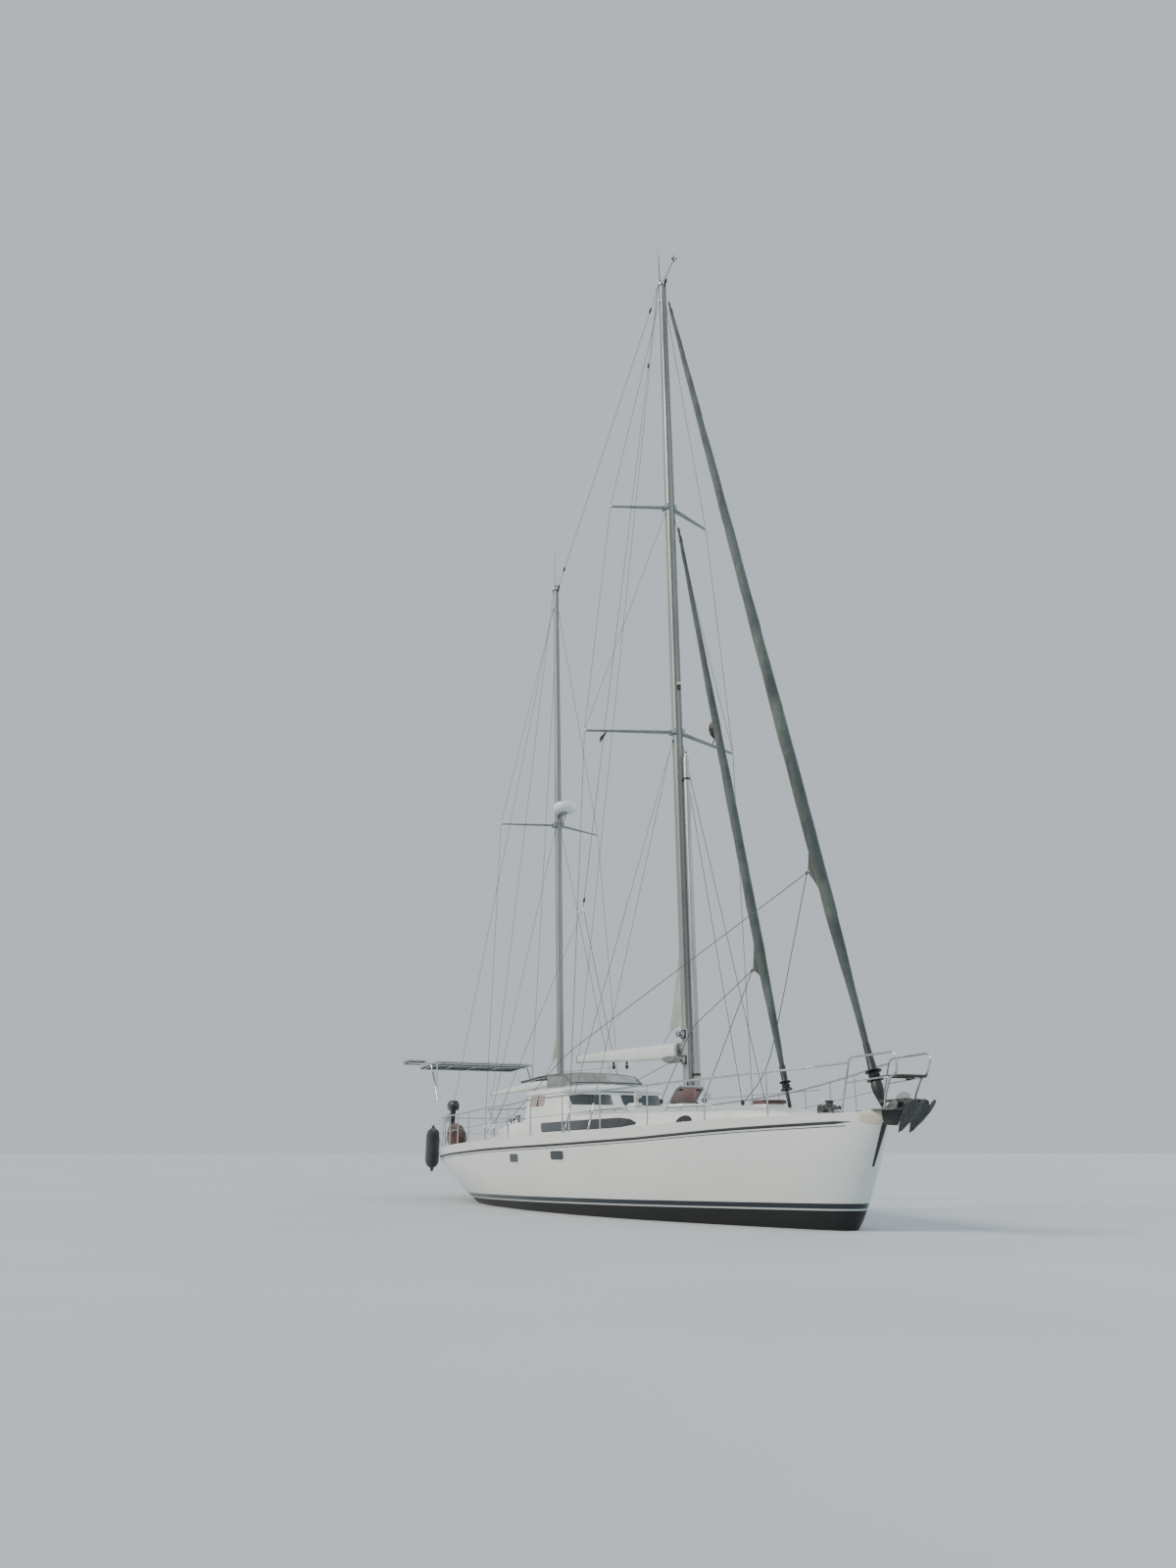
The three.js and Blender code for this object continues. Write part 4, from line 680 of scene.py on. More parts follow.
def house_half(table, x, low, roll):
    """Half a section of a deckhouse: a leaning side, a rolled edge and a cambered top."""
    base, roof, edge, crown = row_at(table, x)
    foot, start = (base, SIDE_FOOT), (roof + LEAN_OUT, edge - EDGE_DROP)
    end = (roof - roll, edge + (crown - edge) * (1 - ((roof - roll) / roof) ** 2))
    knee = (roof + 0.012, edge + 0.004)
    bend = [tuple(a * (1 - t) ** 2 + b * 2 * t * (1 - t) + c * t * t for a, b, c in zip(start, knee, end))
            for t in (k / 6 for k in range(1, 7))]
    top = [(s * end[0], edge + (crown - edge) * (1 - (s * end[0] / roof) ** 2))
           for s in (0.85, 0.65, 0.4, 0.2)]
    return [(x, 0, low), (x, base, low), (x, foot[0], max(foot[1], low)), (x, *start),
            *[(x, y, z) for y, z in [*bend, *top]], (x, 0, crown)]


house_xs = np.linspace(-3.26, 5.70, 62)
coachroof_part = skinned([mirrored(house_half(COACHROOF, float(x), 0.98, 0.08)) for x in house_xs])
coachroof = piece("coachroof_moulding", coachroof_part, [gelcoat, deck_grip], stands_for=["coachroof"])
foot_room = block((COCKPIT_LONG, 2 * SEAT_HALF, 1.4), (COCKPIT_MIDDLE, 0, 1.5))
MID_HATCH = {"x": 2.12, "y": -0.3, "reach": 0.44, "width": 0.52, "z": 1.798}
FORE_HATCH = {"x": 4.16, "y": 0.0, "reach": 0.38, "width": 0.40, "z": 1.731}
AFT_HATCH = {"x": -5.30, "y": 0.0, "reach": 0.60, "width": 0.60, "z": 1.458}
RIM = 0.045
hole = block((MID_HATCH["reach"] - 2 * RIM, MID_HATCH["width"] - 2 * RIM, 0.2),
             (MID_HATCH["x"] + MID_HATCH["reach"] / 2, MID_HATCH["y"], MID_HATCH["z"] - 0.07))
carved(coachroof, foot_room, hole)
for face in coachroof.data.polygons:
    middle = face.center
    roof = along_table(COACHROOF, middle.x, 2)
    walked = face.normal.z > 0.9 and abs(middle.y) < roof - 0.12 and middle.x > -0.4 and middle.x < 5.4
    face.material_index = int(walked and middle.z > 1.5)
print("coachroof faces", len(coachroof.data.polygons))

# %% [markdown]
# ## Saloon windows
# One long pane of smoked acrylic is bonded over the coachroof's side, its fore end cut to a sharp slope, with
# a black sealant bead round it. A small half-round portlight sits ahead of it.

# %% Saloon windows and half-round portlights
WINDOW_AFT, WINDOW_FORE, PANE_THICK, HALF_ROUND_X = -1.54, 2.20, 0.02, 3.47
WINDOW_TOP = ((WINDOW_AFT, 1.537), (1.62, 1.566), (2.00, 1.540), (WINDOW_FORE, 1.476))
WINDOW_FOOT = ((WINDOW_AFT, 1.525), (-1.34, 1.388), (1.70, 1.424), (WINDOW_FORE, 1.470))


def house_side(x, z):
    """Half breadth of the coachroof's leaning side at a height."""
    base, roof, edge, _ = row_at(COACHROOF, x)
    return base + (roof + LEAN_OUT - base) * (z - SIDE_FOOT) / (edge - EDGE_DROP - SIDE_FOOT)


def side_pane(side, grow, out):
    """The long window's pane, its outline grown, standing out from the coachroof's side."""
    rings = []
    for x in np.linspace(WINDOW_AFT - grow, WINDOW_FORE + grow, 48):
        low = np.interp(x, *zip(*WINDOW_FOOT)) - grow
        high = np.interp(x, *zip(*WINDOW_TOP)) + grow
        front = [(x, side * (house_side(x, z) + out), z) for z in np.linspace(low, high, 4)]
        back = [(x, side * (house_side(x, z) + out - PANE_THICK), z) for z in np.linspace(high, low, 4)]
        rings.append([*front, *back])
    return skinned(rings)


def half_round(side, width, height, out, z):
    """A half-round pane, flat side down, its foot at a height."""
    arc = [(-width / 2 * math.cos(a), height * math.sin(a)) for a in np.linspace(0.12, math.pi - 0.12, 12)]
    outline = [(HALF_ROUND_X + u, z + v) for u, v in [(-width / 2, 0), *arc, (width / 2, 0)]]
    return skinned([[(x, side * (house_side(x, h) + depth), h) for x, h in outline]
                    for depth in (out - PANE_THICK, out)])


for side, word in SIDES:
    pane = merged(side_pane(side, 0.0, 0.006), half_round(side, 0.34, 0.09, 0.007, 1.475))
    piece(f"saloon_window_{word}", pane, smoked, stands_for=[f"cabin_window_{word}"],
          edge_mm=2)
    bead = merged(side_pane(side, 0.014, 0.003), half_round(side, 0.38, 0.11, 0.004, 1.467))
    piece(f"window_bead_{word}", bead, rubber, edge_mm=2)

# %% [markdown]
# ## Aft cabin
# Behind the cockpit a lower deckhouse carries the mizzen mast and lights the aft cabin. It is drawn in the
# same way as the coachroof.

# %% Aft cabin moulding
AFT_CABIN = (  # the same columns as the coachroof's
    (-3.40, 1.08, 0.96, 1.330, 1.400),
    (-4.20, 1.15, 1.00, 1.350, 1.440),
    (-5.40, 1.08, 0.93, 1.330, 1.410),
    (-6.10, 0.94, 0.80, 1.290, 1.350),
    (-6.35, 0.86, 0.76, 1.180, 1.200),
)
aft_part = skinned([mirrored(house_half(AFT_CABIN, float(x), 1.0, 0.07))
                    for x in np.linspace(AFT_CABIN[-1][0], AFT_CABIN[0][0], 30)])
aft_cabin = piece("aft_cabin_moulding", aft_part, [gelcoat, deck_grip], stands_for=["aft_cabin"])
for face in aft_cabin.data.polygons:
    middle = face.center
    face.material_index = int(face.normal.z > 0.93 and middle.z > 1.25 and abs(middle.y) < 0.8)
print("aft cabin faces", len(aft_cabin.data.polygons))

# %% [markdown]
# ## Shelter
# A hard shelter stands over the fore end of the cockpit: a moulded screen, nearly flat across with round
# corners, a lid-like roof that overhangs it, and glass let in from outside. A fibreglass shop would lay it
# up in one mould and saw the windows out. The cell does the same: an outer skin less an inner one, then the
# window openings, each with round corners.

# %% Shelter moulding
SCREEN = {"low": 1.50, "high": 2.15, "fore_low": -0.60, "fore_high": -1.11, "out_low": 1.20, "out_high": 1.09}
SHELTER_AFT, BOW_BACK, CORNER, CORNER_BACK, CORNER_LONG = -2.86, 0.056, 0.13, 0.2, 0.144
ROOF_HALF, ROOF_EDGE, ROOF_CAMBER = 1.2, 2.205, 0.09
SIGHT_LOW, SIGHT_HIGH = 1.88, 2.085


def screen_plan(fore, out, aft=SHELTER_AFT):
    """Half of the screen's plan: the aft end, the side, a round corner and the gently curved front."""
    flat = out - CORNER
    side = [(x, out) for x in np.linspace(aft, fore - CORNER_BACK, 9)]
    corner = [(fore - CORNER_BACK + CORNER_LONG * math.sin(a), flat + CORNER * math.cos(a))
              for a in np.linspace(0.2, 1.57, 7)]
    front = [(fore - BOW_BACK * (y / flat) ** 2, y) for y in np.linspace(flat, 0, 8)[1:]]
    return [*side, *corner, *front]


def plan_ring(half, z, camber=0.0):
    """A whole ring from half a plan, its height cambered across."""
    points = [(x, y, z + camber * (1 - (y / ROOF_HALF) ** 2)) for x, y in half]
    return [*points, *[(x, -y, h) for x, y, h in reversed(points[:-1])]]


def screen_at(z, inset=0.0):
    """Fore end and half width of the screen at a height."""
    share = (z - SCREEN["low"]) / (SCREEN["high"] - SCREEN["low"])
    fore = SCREEN["fore_low"] + (SCREEN["fore_high"] - SCREEN["fore_low"]) * share
    out = SCREEN["out_low"] + (SCREEN["out_high"] - SCREEN["out_low"]) * share
    return fore - inset, out - inset


def shelter_skin(inset, low, high, aft=SHELTER_AFT):
    return skinned([plan_ring(screen_plan(*screen_at(z, inset), aft), z) for z in np.linspace(low, high, 6)])


def rounded(u0, u1, v0, v1, radius):
    """Corner-rounded rectangle as (u, v) pairs."""
    corners = ((u1 - radius, v1 - radius, 0), (u0 + radius, v1 - radius, 90),
               (u0 + radius, v0 + radius, 180), (u1 - radius, v0 + radius, 270))
    turns = [(u, v, math.radians(a + 90 * k / 5)) for u, v, a in corners for k in range(6)]
    return [(u + radius * math.cos(a), v + radius * math.sin(a)) for u, v, a in turns]


FRONT_PANES = (("port", 0.10, 0.98), ("starboard", -0.98, -0.10))
SIDE_PANES = (("port", 1, -2.30, -1.25), ("starboard", -1, -2.72, -1.95))
shelter = piece("shelter_moulding", shelter_skin(0.0, 1.50, 2.13), gelcoat, stands_for=["shelter"])
openings = [skinned([[(x, y, z) for y, z in rounded(y0, y1, SIGHT_LOW, SIGHT_HIGH, 0.035)]
                     for x in (-2.0, -0.2)]) for _, y0, y1 in FRONT_PANES]
openings += [skinned([[(x, side * y, z) for x, z in rounded(aft, fore, SIGHT_LOW, SIGHT_HIGH, 0.035)]
                      for y in (0.8, 1.5)]) for _, side, aft, fore in SIDE_PANES]
carved(shelter, shelter_skin(0.038, 1.44, 2.30, aft=-3.1), *openings)

ROOF_RINGS = (  # how far out of the screen's head, height, camber: an inner lip, the rolled edge, the top
    (-0.045, 2.105, 0.050), (-0.010, 2.098, 0.050), (0.014, 2.108, 0.050), (0.022, 2.130, 0.052),
    (0.016, 2.156, 0.056), (-0.006, 2.176, 0.060), (-0.060, 2.190, 0.074), (-0.140, 2.196, 0.086),
    (-0.420, 2.204, 0.092), (-0.760, 2.208, 0.094))
roof_rings = []
for grow, z, camber in ROOF_RINGS:
    half = screen_plan(SCREEN["fore_high"] + 0.03 + grow, SCREEN["out_high"] + 0.02 + grow,
                       aft=SHELTER_AFT - 0.012 - min(grow, 0.0) * 0.6)
    roof_rings.append(plan_ring(half, z, camber))
piece("shelter_roof", skinned(roof_rings), gelcoat, sharp=50)
print("shelter faces", len(shelter.data.polygons), "roof rings", len(roof_rings))

# %% [markdown]
# ## Glass
# The panes are toughened glass, a little tinted, held in black sealant against a rebate. Edge-on the glass
# looks darker, so its cover follows the angle it is seen at. Each pane is bent to the screen's own curve.

# %% Screen glass
def glass(name, tint, face_on, edge_on):
    """Tinted glass that covers what is behind it by a share that grows towards its edges."""
    material, tree, shader = finish_of(name, roughness=0.04, ior=1.5, specular_ior_level=0.7)
    angle = add(tree, "LayerWeight", {"Blend": 0.4}).outputs["Facing"]
    feed(tree, shader, base_color=shade(tree, speckle(tree, 500), *tint),
         alpha=ranged(tree, angle, to_min=face_on, to_max=edge_on))
    return material


screen_glass = glass("tinted_toughened_glass", ("#566063", "#647072"), 0.16, 0.5)
side_glass = glass("rose_tinted_acrylic", ("#b5a3a0", "#bfb0ad"), 0.35, 0.7)
GLASS_IN, GLASS_THICK = 0.016, 0.006


def pane_sheet(point_on, columns, rows):
    """A thin closed sheet over a grid of points; point_on(u, v, depth) places each."""
    rings = [[point_on(u, v, 0.0) for v in rows] + [point_on(u, v, GLASS_THICK) for v in rows[::-1]]
             for u in columns]
    return skinned(rings)


def front_point(y, z, depth):
    fore, out = screen_at(z, GLASS_IN + depth)
    return (fore - BOW_BACK * (y / (out - CORNER)) ** 2, y, z)


rows = list(np.linspace(SIGHT_LOW + 0.002, SIGHT_HIGH - 0.002, 4))
for word, y0, y1 in FRONT_PANES:
    pane = pane_sheet(front_point, list(np.linspace(y0 + 0.004, y1 - 0.004, 12)), rows)
    piece(f"front_glass_{word}", pane, screen_glass, stands_for=[f"screen_pane_{word}"])
for word, side, aft, fore in SIDE_PANES:
    def side_point(x, z, depth, side=side):
        return (x, side * screen_at(z, GLASS_IN + depth)[1], z)

    pane = pane_sheet(side_point, list(np.linspace(aft + 0.003, fore - 0.003, 6)), rows)
    piece(f"side_glass_{word}", pane, side_glass, stands_for=[f"side_pane_{word}"])
    mullion = (aft + fore) / 2
    bar = [(mullion, side * (screen_at(z)[1] - 0.010), z) for z in (1.875, 2.09)]
    piece(f"side_mullion_{word}", swept(bar, 0.014, 8), rubber)
print("panes", len(FRONT_PANES) + len(SIDE_PANES))

# %% [markdown]
# ## Soft top
# Behind and above the shelter a soft top of woven acrylic canvas is stretched over a frame of bent tube. Its
# fore end has a raked front with clear windows, then sides, and its after end is an awning that widens over
# the helm. The weave is drawn as two crossing sets of ribs 5 mm apart, coarser than the real half millimetre.

# %% Canvas
def canvas(name, low, high, rib_mm=5.0, patch_mm=260):
    """Woven acrylic cloth: two crossing sets of ribs, colour that wanders and a dry surface."""
    material, tree, shader = finish_of(name, sheen_weight=0.25, sheen_roughness=0.6)
    place = here(tree)
    ribs = []
    for turn in ((0.0, 0.6, 0.8), (0.0, 0.6, -0.8)):
        lie = add(tree, "Mapping", {"Vector": place, "Rotation": turn}).outputs["Vector"]
        wave = add(tree, "TexWave", {"Vector": lie, "Scale": 1000 / rib_mm / 6.2832, "Distortion": 0.3})
        ribs.append(wave.outputs["Fac"])
    weave = sums(tree, "MAXIMUM", *ribs)
    tone = shade(tree, speckle(tree, patch_mm, detail=5), low, high)
    thread = shade(tree, weave, "#b8b8b8", "#ffffff", 0.2, 0.9)
    feed(tree, shader, base_color=blended(tree, 0.6, tone, thread, blend_type="MULTIPLY"),
         roughness=shade(tree, speckle(tree, 80), 0.82, 0.95))
    creases = relief(tree, shader, speckle(tree, 180, detail=3), 4.0)
    relief(tree, shader, weave, 0.5, under=creases)
    return material


grey_canvas = canvas("grey_woven_acrylic", "#596163", "#747c7d")
brown_canvas = canvas("brown_woven_acrylic", "#3d1f1c", "#55302a")
dark_canvas = canvas("dark_woven_acrylic", "#2c3032", "#3b4042")
clear_vinyl = glass("clear_pressed_vinyl", ("#8d9393", "#a0a5a4"), 0.35, 0.8)
print("cloths", [m.name for m in (grey_canvas, brown_canvas, dark_canvas, clear_vinyl)])

# %% [markdown]
# The top is one continuous cloth over four bows. Between the bows it hangs a little, and towards its edges it
# curls down over the side tubes. It is laid out along its bows, as a sailmaker patterns it.

# %% The top cloth
BOWS = (  # x, height of the edge, height of the crown, half width
    (-1.43, 2.312, 2.334, 0.790),
    (-1.80, 2.482, 2.532, 0.790),
    (-2.20, 2.507, 2.560, 0.790),
    (-2.60, 2.520, 2.570, 0.788),
    (-2.90, 2.490, 2.550, 0.890),
    (-3.45, 2.420, 2.500, 1.050),
)
CANOPY_FORE, CANOPY_AFT, SAG = BOWS[0][0], BOWS[-1][0], 0.010


def top_point(x, across):
    """A point of the top cloth; across runs from -1 at starboard to 1 at port."""
    edge, crown, half = row_at(BOWS, x)
    near = min(abs(x - row[0]) for row in BOWS)
    sag = SAG * min(near / 0.16, 1.0) * (1 - 0.5 * abs(across))
    return Vector((x, across * half, edge + (crown - edge) * (1 - abs(across) ** 2.4) - sag))


def sheet_mesh(grid, thick, inward):
    """A closed cloth of a thickness from a grid of points; inward says which way the back lies."""
    rows, columns = len(grid), len(grid[0])
    shift = rows * columns
    front = [Vector(p) for row in grid for p in row]
    back = [p + Vector(inward(p)) * thick for p in front]
    faces = []
    for i in range(rows - 1):
        for a in range(i * columns, i * columns + columns - 1):
            b, c, d = a + 1, a + columns + 1, a + columns
            faces += [(a, b, c, d), (a + shift, d + shift, c + shift, b + shift)]
    rim = [*range(columns), *[i * columns + columns - 1 for i in range(1, rows)]]
    rim += [(rows - 1) * columns + j for j in range(columns - 2, -1, -1)]
    rim += [i * columns for i in range(rows - 2, 0, -1)]
    for a, b in zip(rim, [*rim[1:], rim[0]]):
        faces.append((b, a, a + shift, b + shift))
    return [*front, *back], faces


CLOTH = 0.004
top_grid = [[top_point(float(x), a) for a in np.linspace(-1, 1, 25)]
            for x in np.linspace(CANOPY_FORE, CANOPY_AFT, 46)]
top_cloth = piece("canopy_top", sheet_mesh(top_grid, CLOTH, lambda p: (0, 0, -1)), grey_canvas,
                  stands_for=["canopy"])

# %% The front, the sides and their windows
EDGE_HALF, WINDOW_SHEET = 0.79, 0.002


def roof_top(y):
    """Height of the shelter's roof at a distance off the centreline."""
    return ROOF_EDGE + ROOF_CAMBER * (1 - (y / ROOF_HALF) ** 2)


def front_cloth(across, up):
    """A point of the front drop, from the roof below to the first bow above."""
    foot = Vector((-1.405, across * EDGE_HALF, roof_top(across * EDGE_HALF) + 0.006))
    return foot.lerp(top_point(CANOPY_FORE, across), up)


def side_cloth(side, x, up):
    """A point of the side curtain between the roof and the top cloth's edge."""
    edge = top_point(x, side)
    foot = Vector((x, side * 0.795, roof_top(EDGE_HALF) + 0.006))
    bulge = 0.008 * math.sin(math.pi * up)
    return foot.lerp(edge, up) + Vector((0, side * bulge, 0))


front_grid = [[front_cloth(a, u) for a in np.linspace(-1, 1, 25)] for u in np.linspace(0.0, 1.0, 5)]
front_piece = piece("canopy_front", sheet_mesh(front_grid, CLOTH, lambda p: (-1, 0, 0)), grey_canvas)
for side, word in SIDES:
    grid = [[side_cloth(side, x, u) for u in np.linspace(0, 1, 7)]
            for x in np.linspace(CANOPY_FORE, -2.60, 20)]
    curtain = piece(f"canopy_side_{word}", sheet_mesh(grid, CLOTH, lambda p, s=side: (0, -s, 0)), grey_canvas)
    window = [[side_cloth(side, x, u) + Vector((0, side * 0.003, 0)) for u in np.linspace(0.28, 0.82, 5)]
              for x in np.linspace(-1.86, -2.50, 9)]
    pane = sheet_mesh(window, WINDOW_SHEET, lambda p, s=side: (0, -s, 0))
    window_piece = piece(f"canopy_window_{word}", pane, clear_vinyl)
for word, a0, a1 in (("port", 0.08, 0.92), ("starboard", -0.92, -0.08)):
    window = [[top_point(float(x), float(a)) + Vector((0.002, 0, 0.003)) for a in np.linspace(a0, a1, 9)]
              for x in np.linspace(-1.47, -1.76, 6)]
    pane = sheet_mesh(window, WINDOW_SHEET, lambda p: (0, 0, -1))
    piece(f"canopy_front_window_{word}", pane, clear_vinyl)

# %% [markdown]
# The frame under the cloth is stainless tube: a bow at each seam, legs that stand on the shelter's roof, and
# two struts that reach aft to spread the awning. Black binding edges the cloth, with a welt along each bow.

# %% Canopy frame, binding and welts
TUBE, LEG_HALF = 0.0125, 0.775
tubes = []
for x, edge, crown, half in BOWS:
    inside = [top_point(x, a) + Vector((0, 0, -TUBE - 0.008)) for a in np.linspace(-0.985, 0.985, 17)]
    if x > -2.7:
        feet = [Vector((x, side * LEG_HALF, roof_top(LEG_HALF) + 0.002)) for side in (-1, 1)]
        inside = [feet[0], *inside, feet[1]]
    tubes.append(swept(inside, TUBE, 8))
for side in (1, -1):
    strut = [top_point(float(x), side * 0.97) + Vector((0, 0, -0.03)) for x in np.linspace(-2.6, -3.44, 8)]
    tubes.append(swept(strut, TUBE, 8))
piece("canopy_frame", merged(*tubes), stainless)

binding = []
for side in (1, -1):
    stations = np.linspace(CANOPY_FORE, CANOPY_AFT, 40)
    binding.append(swept([top_point(float(x), side) for x in stations], 0.009, 6))
for x in (CANOPY_FORE, CANOPY_AFT):
    binding.append(swept([top_point(x, a) for a in np.linspace(-1, 1, 25)], 0.009, 6))
for x, *_ in BOWS[1:-1]:
    welt = [top_point(x, a) + Vector((0, 0, 0.001)) for a in np.linspace(-0.99, 0.99, 25)]
    binding.append(swept(welt, 0.005, 6))
piece("canopy_binding", merged(*binding), dark_canvas)
print("canopy tubes", len(tubes), "bindings", len(binding))

# %% [markdown]
# ## Hatches
# Three hatches stand on moulded frames: an aluminium ring with an acrylic pane bonded in flush, two hinges on
# its after edge and two dogs inside the fore edge. The middle one is propped open. A mitred extrusion, bent
# round the corners, is what the maker uses, so each ring is one profile carried round a rounded rectangle.

# %% Hatch lids and frames
tinted_acrylic = glass("sun_faded_acrylic", ("#a98a86", "#b59691"), 0.72, 0.95)


def insets(profile, reach, width, corner):
    """A rounded rectangle from a hinge line forward, at each inset and height of a profile."""
    return [[(x, y, z) for x, y in rounded(i, reach - i, i - width / 2, width / 2 - i,
                                           max(corner - i, 0.008))] for i, z in profile]


def ring_of(profile, reach, width, corner=0.05):
    """A profile carried round that rectangle."""
    return skinned(insets((*profile, profile[0]), reach, width, corner), capped=False)


def plate_of(profile, reach, width, corner=0.05):
    """The same, filled across."""
    return skinned(insets(profile, reach, width, corner))


def hung(part, hatch, degrees=0.0):
    """A part drawn from its hinge line, opened by an angle and set in its place."""
    spin = Matrix.Rotation(math.radians(-degrees), 3, "Y")
    at = Vector((hatch["x"], hatch["y"], hatch["z"]))
    return [spin @ Vector(p) + at for p in part[0]], part[1]


def hatch_pieces(name, hatch, node, pane_material, degrees=0.0):
    """The lid's ring, pane, hinges and dogs."""
    reach, width, face = hatch["reach"], hatch["width"], 0.034
    ring = ring_of(((0.003, 0.001), (0.0, 0.010), (0.0, 0.026), (0.006, 0.033), (face, 0.033), (face, 0.001)),
                   reach, width)
    pane = plate_of(((face - 0.004, 0.012), (face - 0.001, 0.012), (face, 0.031), (face + 0.012, 0.034)),
                    reach, width)
    knuckles, dogs = [], []
    for y in (-0.32 * width, 0.32 * width):
        knuckles += [swept([(0, y - 0.03, 0), (0, y + 0.03, 0)], 0.0055, 10),
                     block((0.07, 0.045, 0.007), (0.025, y, 0.036))]
        dogs += [turned([(0.016, 0), (0.016, 0.012), (0.010, 0.018)], (reach - 0.08, y, 0.012), (0, 0, -1)),
                 block((0.016, 0.085, 0.010), (reach - 0.08, y, -0.008))]
    piece(f"{name}_ring", hung(merged(ring, *knuckles), hatch, degrees), anodised, node, edge_mm=1)
    piece(f"{name}_pane", hung(pane, hatch, degrees), pane_material, node, stands_for=[node])
    piece(f"{name}_dogs", hung(merged(*dogs), hatch, degrees), nylon, node, edge_mm=1)


def fixed_frame(name, hatch, low, flange=0.020):
    """The moulded frame that a lid shuts on."""
    top = -0.004
    profile = ((-flange, low), (-flange * 0.4, top - 0.012), (0.004, top), (RIM - 0.006, top),
               (RIM, top - 0.008), (RIM, low))
    piece(name, hung(ring_of(profile, hatch["reach"], hatch["width"], 0.06), hatch), gelcoat, sharp=50)


hatch_pieces("mid_hatch", MID_HATCH, "mid_hatch", tinted_acrylic, 38)
hatch_pieces("aft_hatch", AFT_HATCH, "aft_hatch", smoked)
fixed_frame("mid_hatch_frame", MID_HATCH, -0.07)
fixed_frame("fore_hatch_frame", FORE_HATCH, -0.07, 0.005)
fixed_frame("aft_hatch_frame", AFT_HATCH, -0.09)
lid = {"x": -7.45, "y": 0.0, "z": 1.121, "reach": 0.62, "width": 0.76}
lid_top = plate_of(((0.0, 0.002), (0.0, 0.022), (0.006, 0.029), (0.03, 0.030)), lid["reach"], lid["width"],
                   0.07)
latch = turned([(0.030, 0.029), (0.030, 0.034), (0.024, 0.036)], (0.54, 0, 0))
piece("lazarette_top", hung(lid_top, lid), deck_grip, "lazarette_lid", stands_for=["lazarette_lid"])
piece("lazarette_latch", hung(latch, lid), stainless, "lazarette_lid")
print("hatches", 4)

# %% [markdown]
# The fore hatch wears a fitted cover of brown canvas. The cloth is cut as one square, pulled tight over the
# lid and gathered by a drawcord under its rim, so its top is smooth and hollows a little inside the ring, and
# its skirt stands in small folds that grow towards the cord.

# %% Fore hatch cover
TOP_SHARE, SKIRT = 0.78, 0.044


def cover_point(u, v, half_x, half_y, height, skirt, gathers, hollow):
    """A point of a gathered square cover: u and v run from -1 to 1 over the flat cloth."""
    reach = max(abs(u), abs(v), 1e-6)
    angle = math.atan2(v, u)
    round_off = reach / (abs(u) ** 7 + abs(v) ** 7) ** (1 / 7) if reach > 0.01 else 1.0
    share = min(reach / TOP_SHARE, 1.0)
    down = max(reach - TOP_SHARE, 0.0) / (1 - TOP_SHARE)
    fold = math.sin(gathers * angle) * 0.5 + math.sin(gathers * 1.7 * angle + 1.0) * 0.5
    out = 1 + 0.02 * down + fold * 0.016 * down
    x, y = (u / reach * half_x, v / reach * half_y)
    scale = share * (1 + (round_off - 1) * share) * out
    edge = 0.010 * max(share - 0.88, 0) / 0.12
    top = height - hollow * (1 - share ** 4) - edge + 0.002 * math.sin(9 * u + 4 * v)
    return Vector((x * scale, y * scale, top - skirt * math.sin(down * math.pi / 2) + 0.004 * fold * down))


half_x, half_y = FORE_HATCH["reach"] / 2 + 0.008, FORE_HATCH["width"] / 2 + 0.008
centre = Vector((FORE_HATCH["x"] + FORE_HATCH["reach"] / 2, 0, FORE_HATCH["z"]))
spread = np.linspace(-1, 1, 49)
cover_grid = [[cover_point(u, v, half_x, half_y, 0.064, SKIRT, 26, 0.007) + centre for v in spread]
              for u in spread]
cover = piece("fore_hatch_cover", sheet_mesh(cover_grid, 0.003, lambda p: (0, 0, -1)), brown_canvas,
              "fore_hatch", stands_for=["fore_hatch"], sharp=80)
under = ring_of(((0.01, 0.002), (0.004, 0.01), (0.004, 0.03), (0.03, 0.036), (0.034, 0.002)),
                FORE_HATCH["reach"], FORE_HATCH["width"])
piece("fore_hatch_ring", hung(under, FORE_HATCH), anodised, "fore_hatch")

# %% [markdown]
# ## Cockpit
# The cockpit has moulded coamings with a pair of sheet winches on each, a pedestal with the compass and the
# engine lever, and a stainless wheel of six spokes. A red extinguisher hangs beside the companionway.

# %% Winches
def winch(at, axis=(0, 0, 1), size=1.0):
    """A two-speed winch: a skirt, a waisted drum with grip ribs, a feeder jaw and a socket on top."""
    profile = [(0.078, 0), (0.078, 0.012), (0.066, 0.020), (0.060, 0.034), (0.050, 0.048), (0.047, 0.070),
               (0.049, 0.092), (0.058, 0.106), (0.060, 0.114), (0.052, 0.118), (0.062, 0.124), (0.064, 0.136),
               (0.056, 0.146), (0.020, 0.150), (0.020, 0.142), (0.010, 0.140)]
    return turned([(r * size, h * size) for r, h in profile], at, axis, 28)


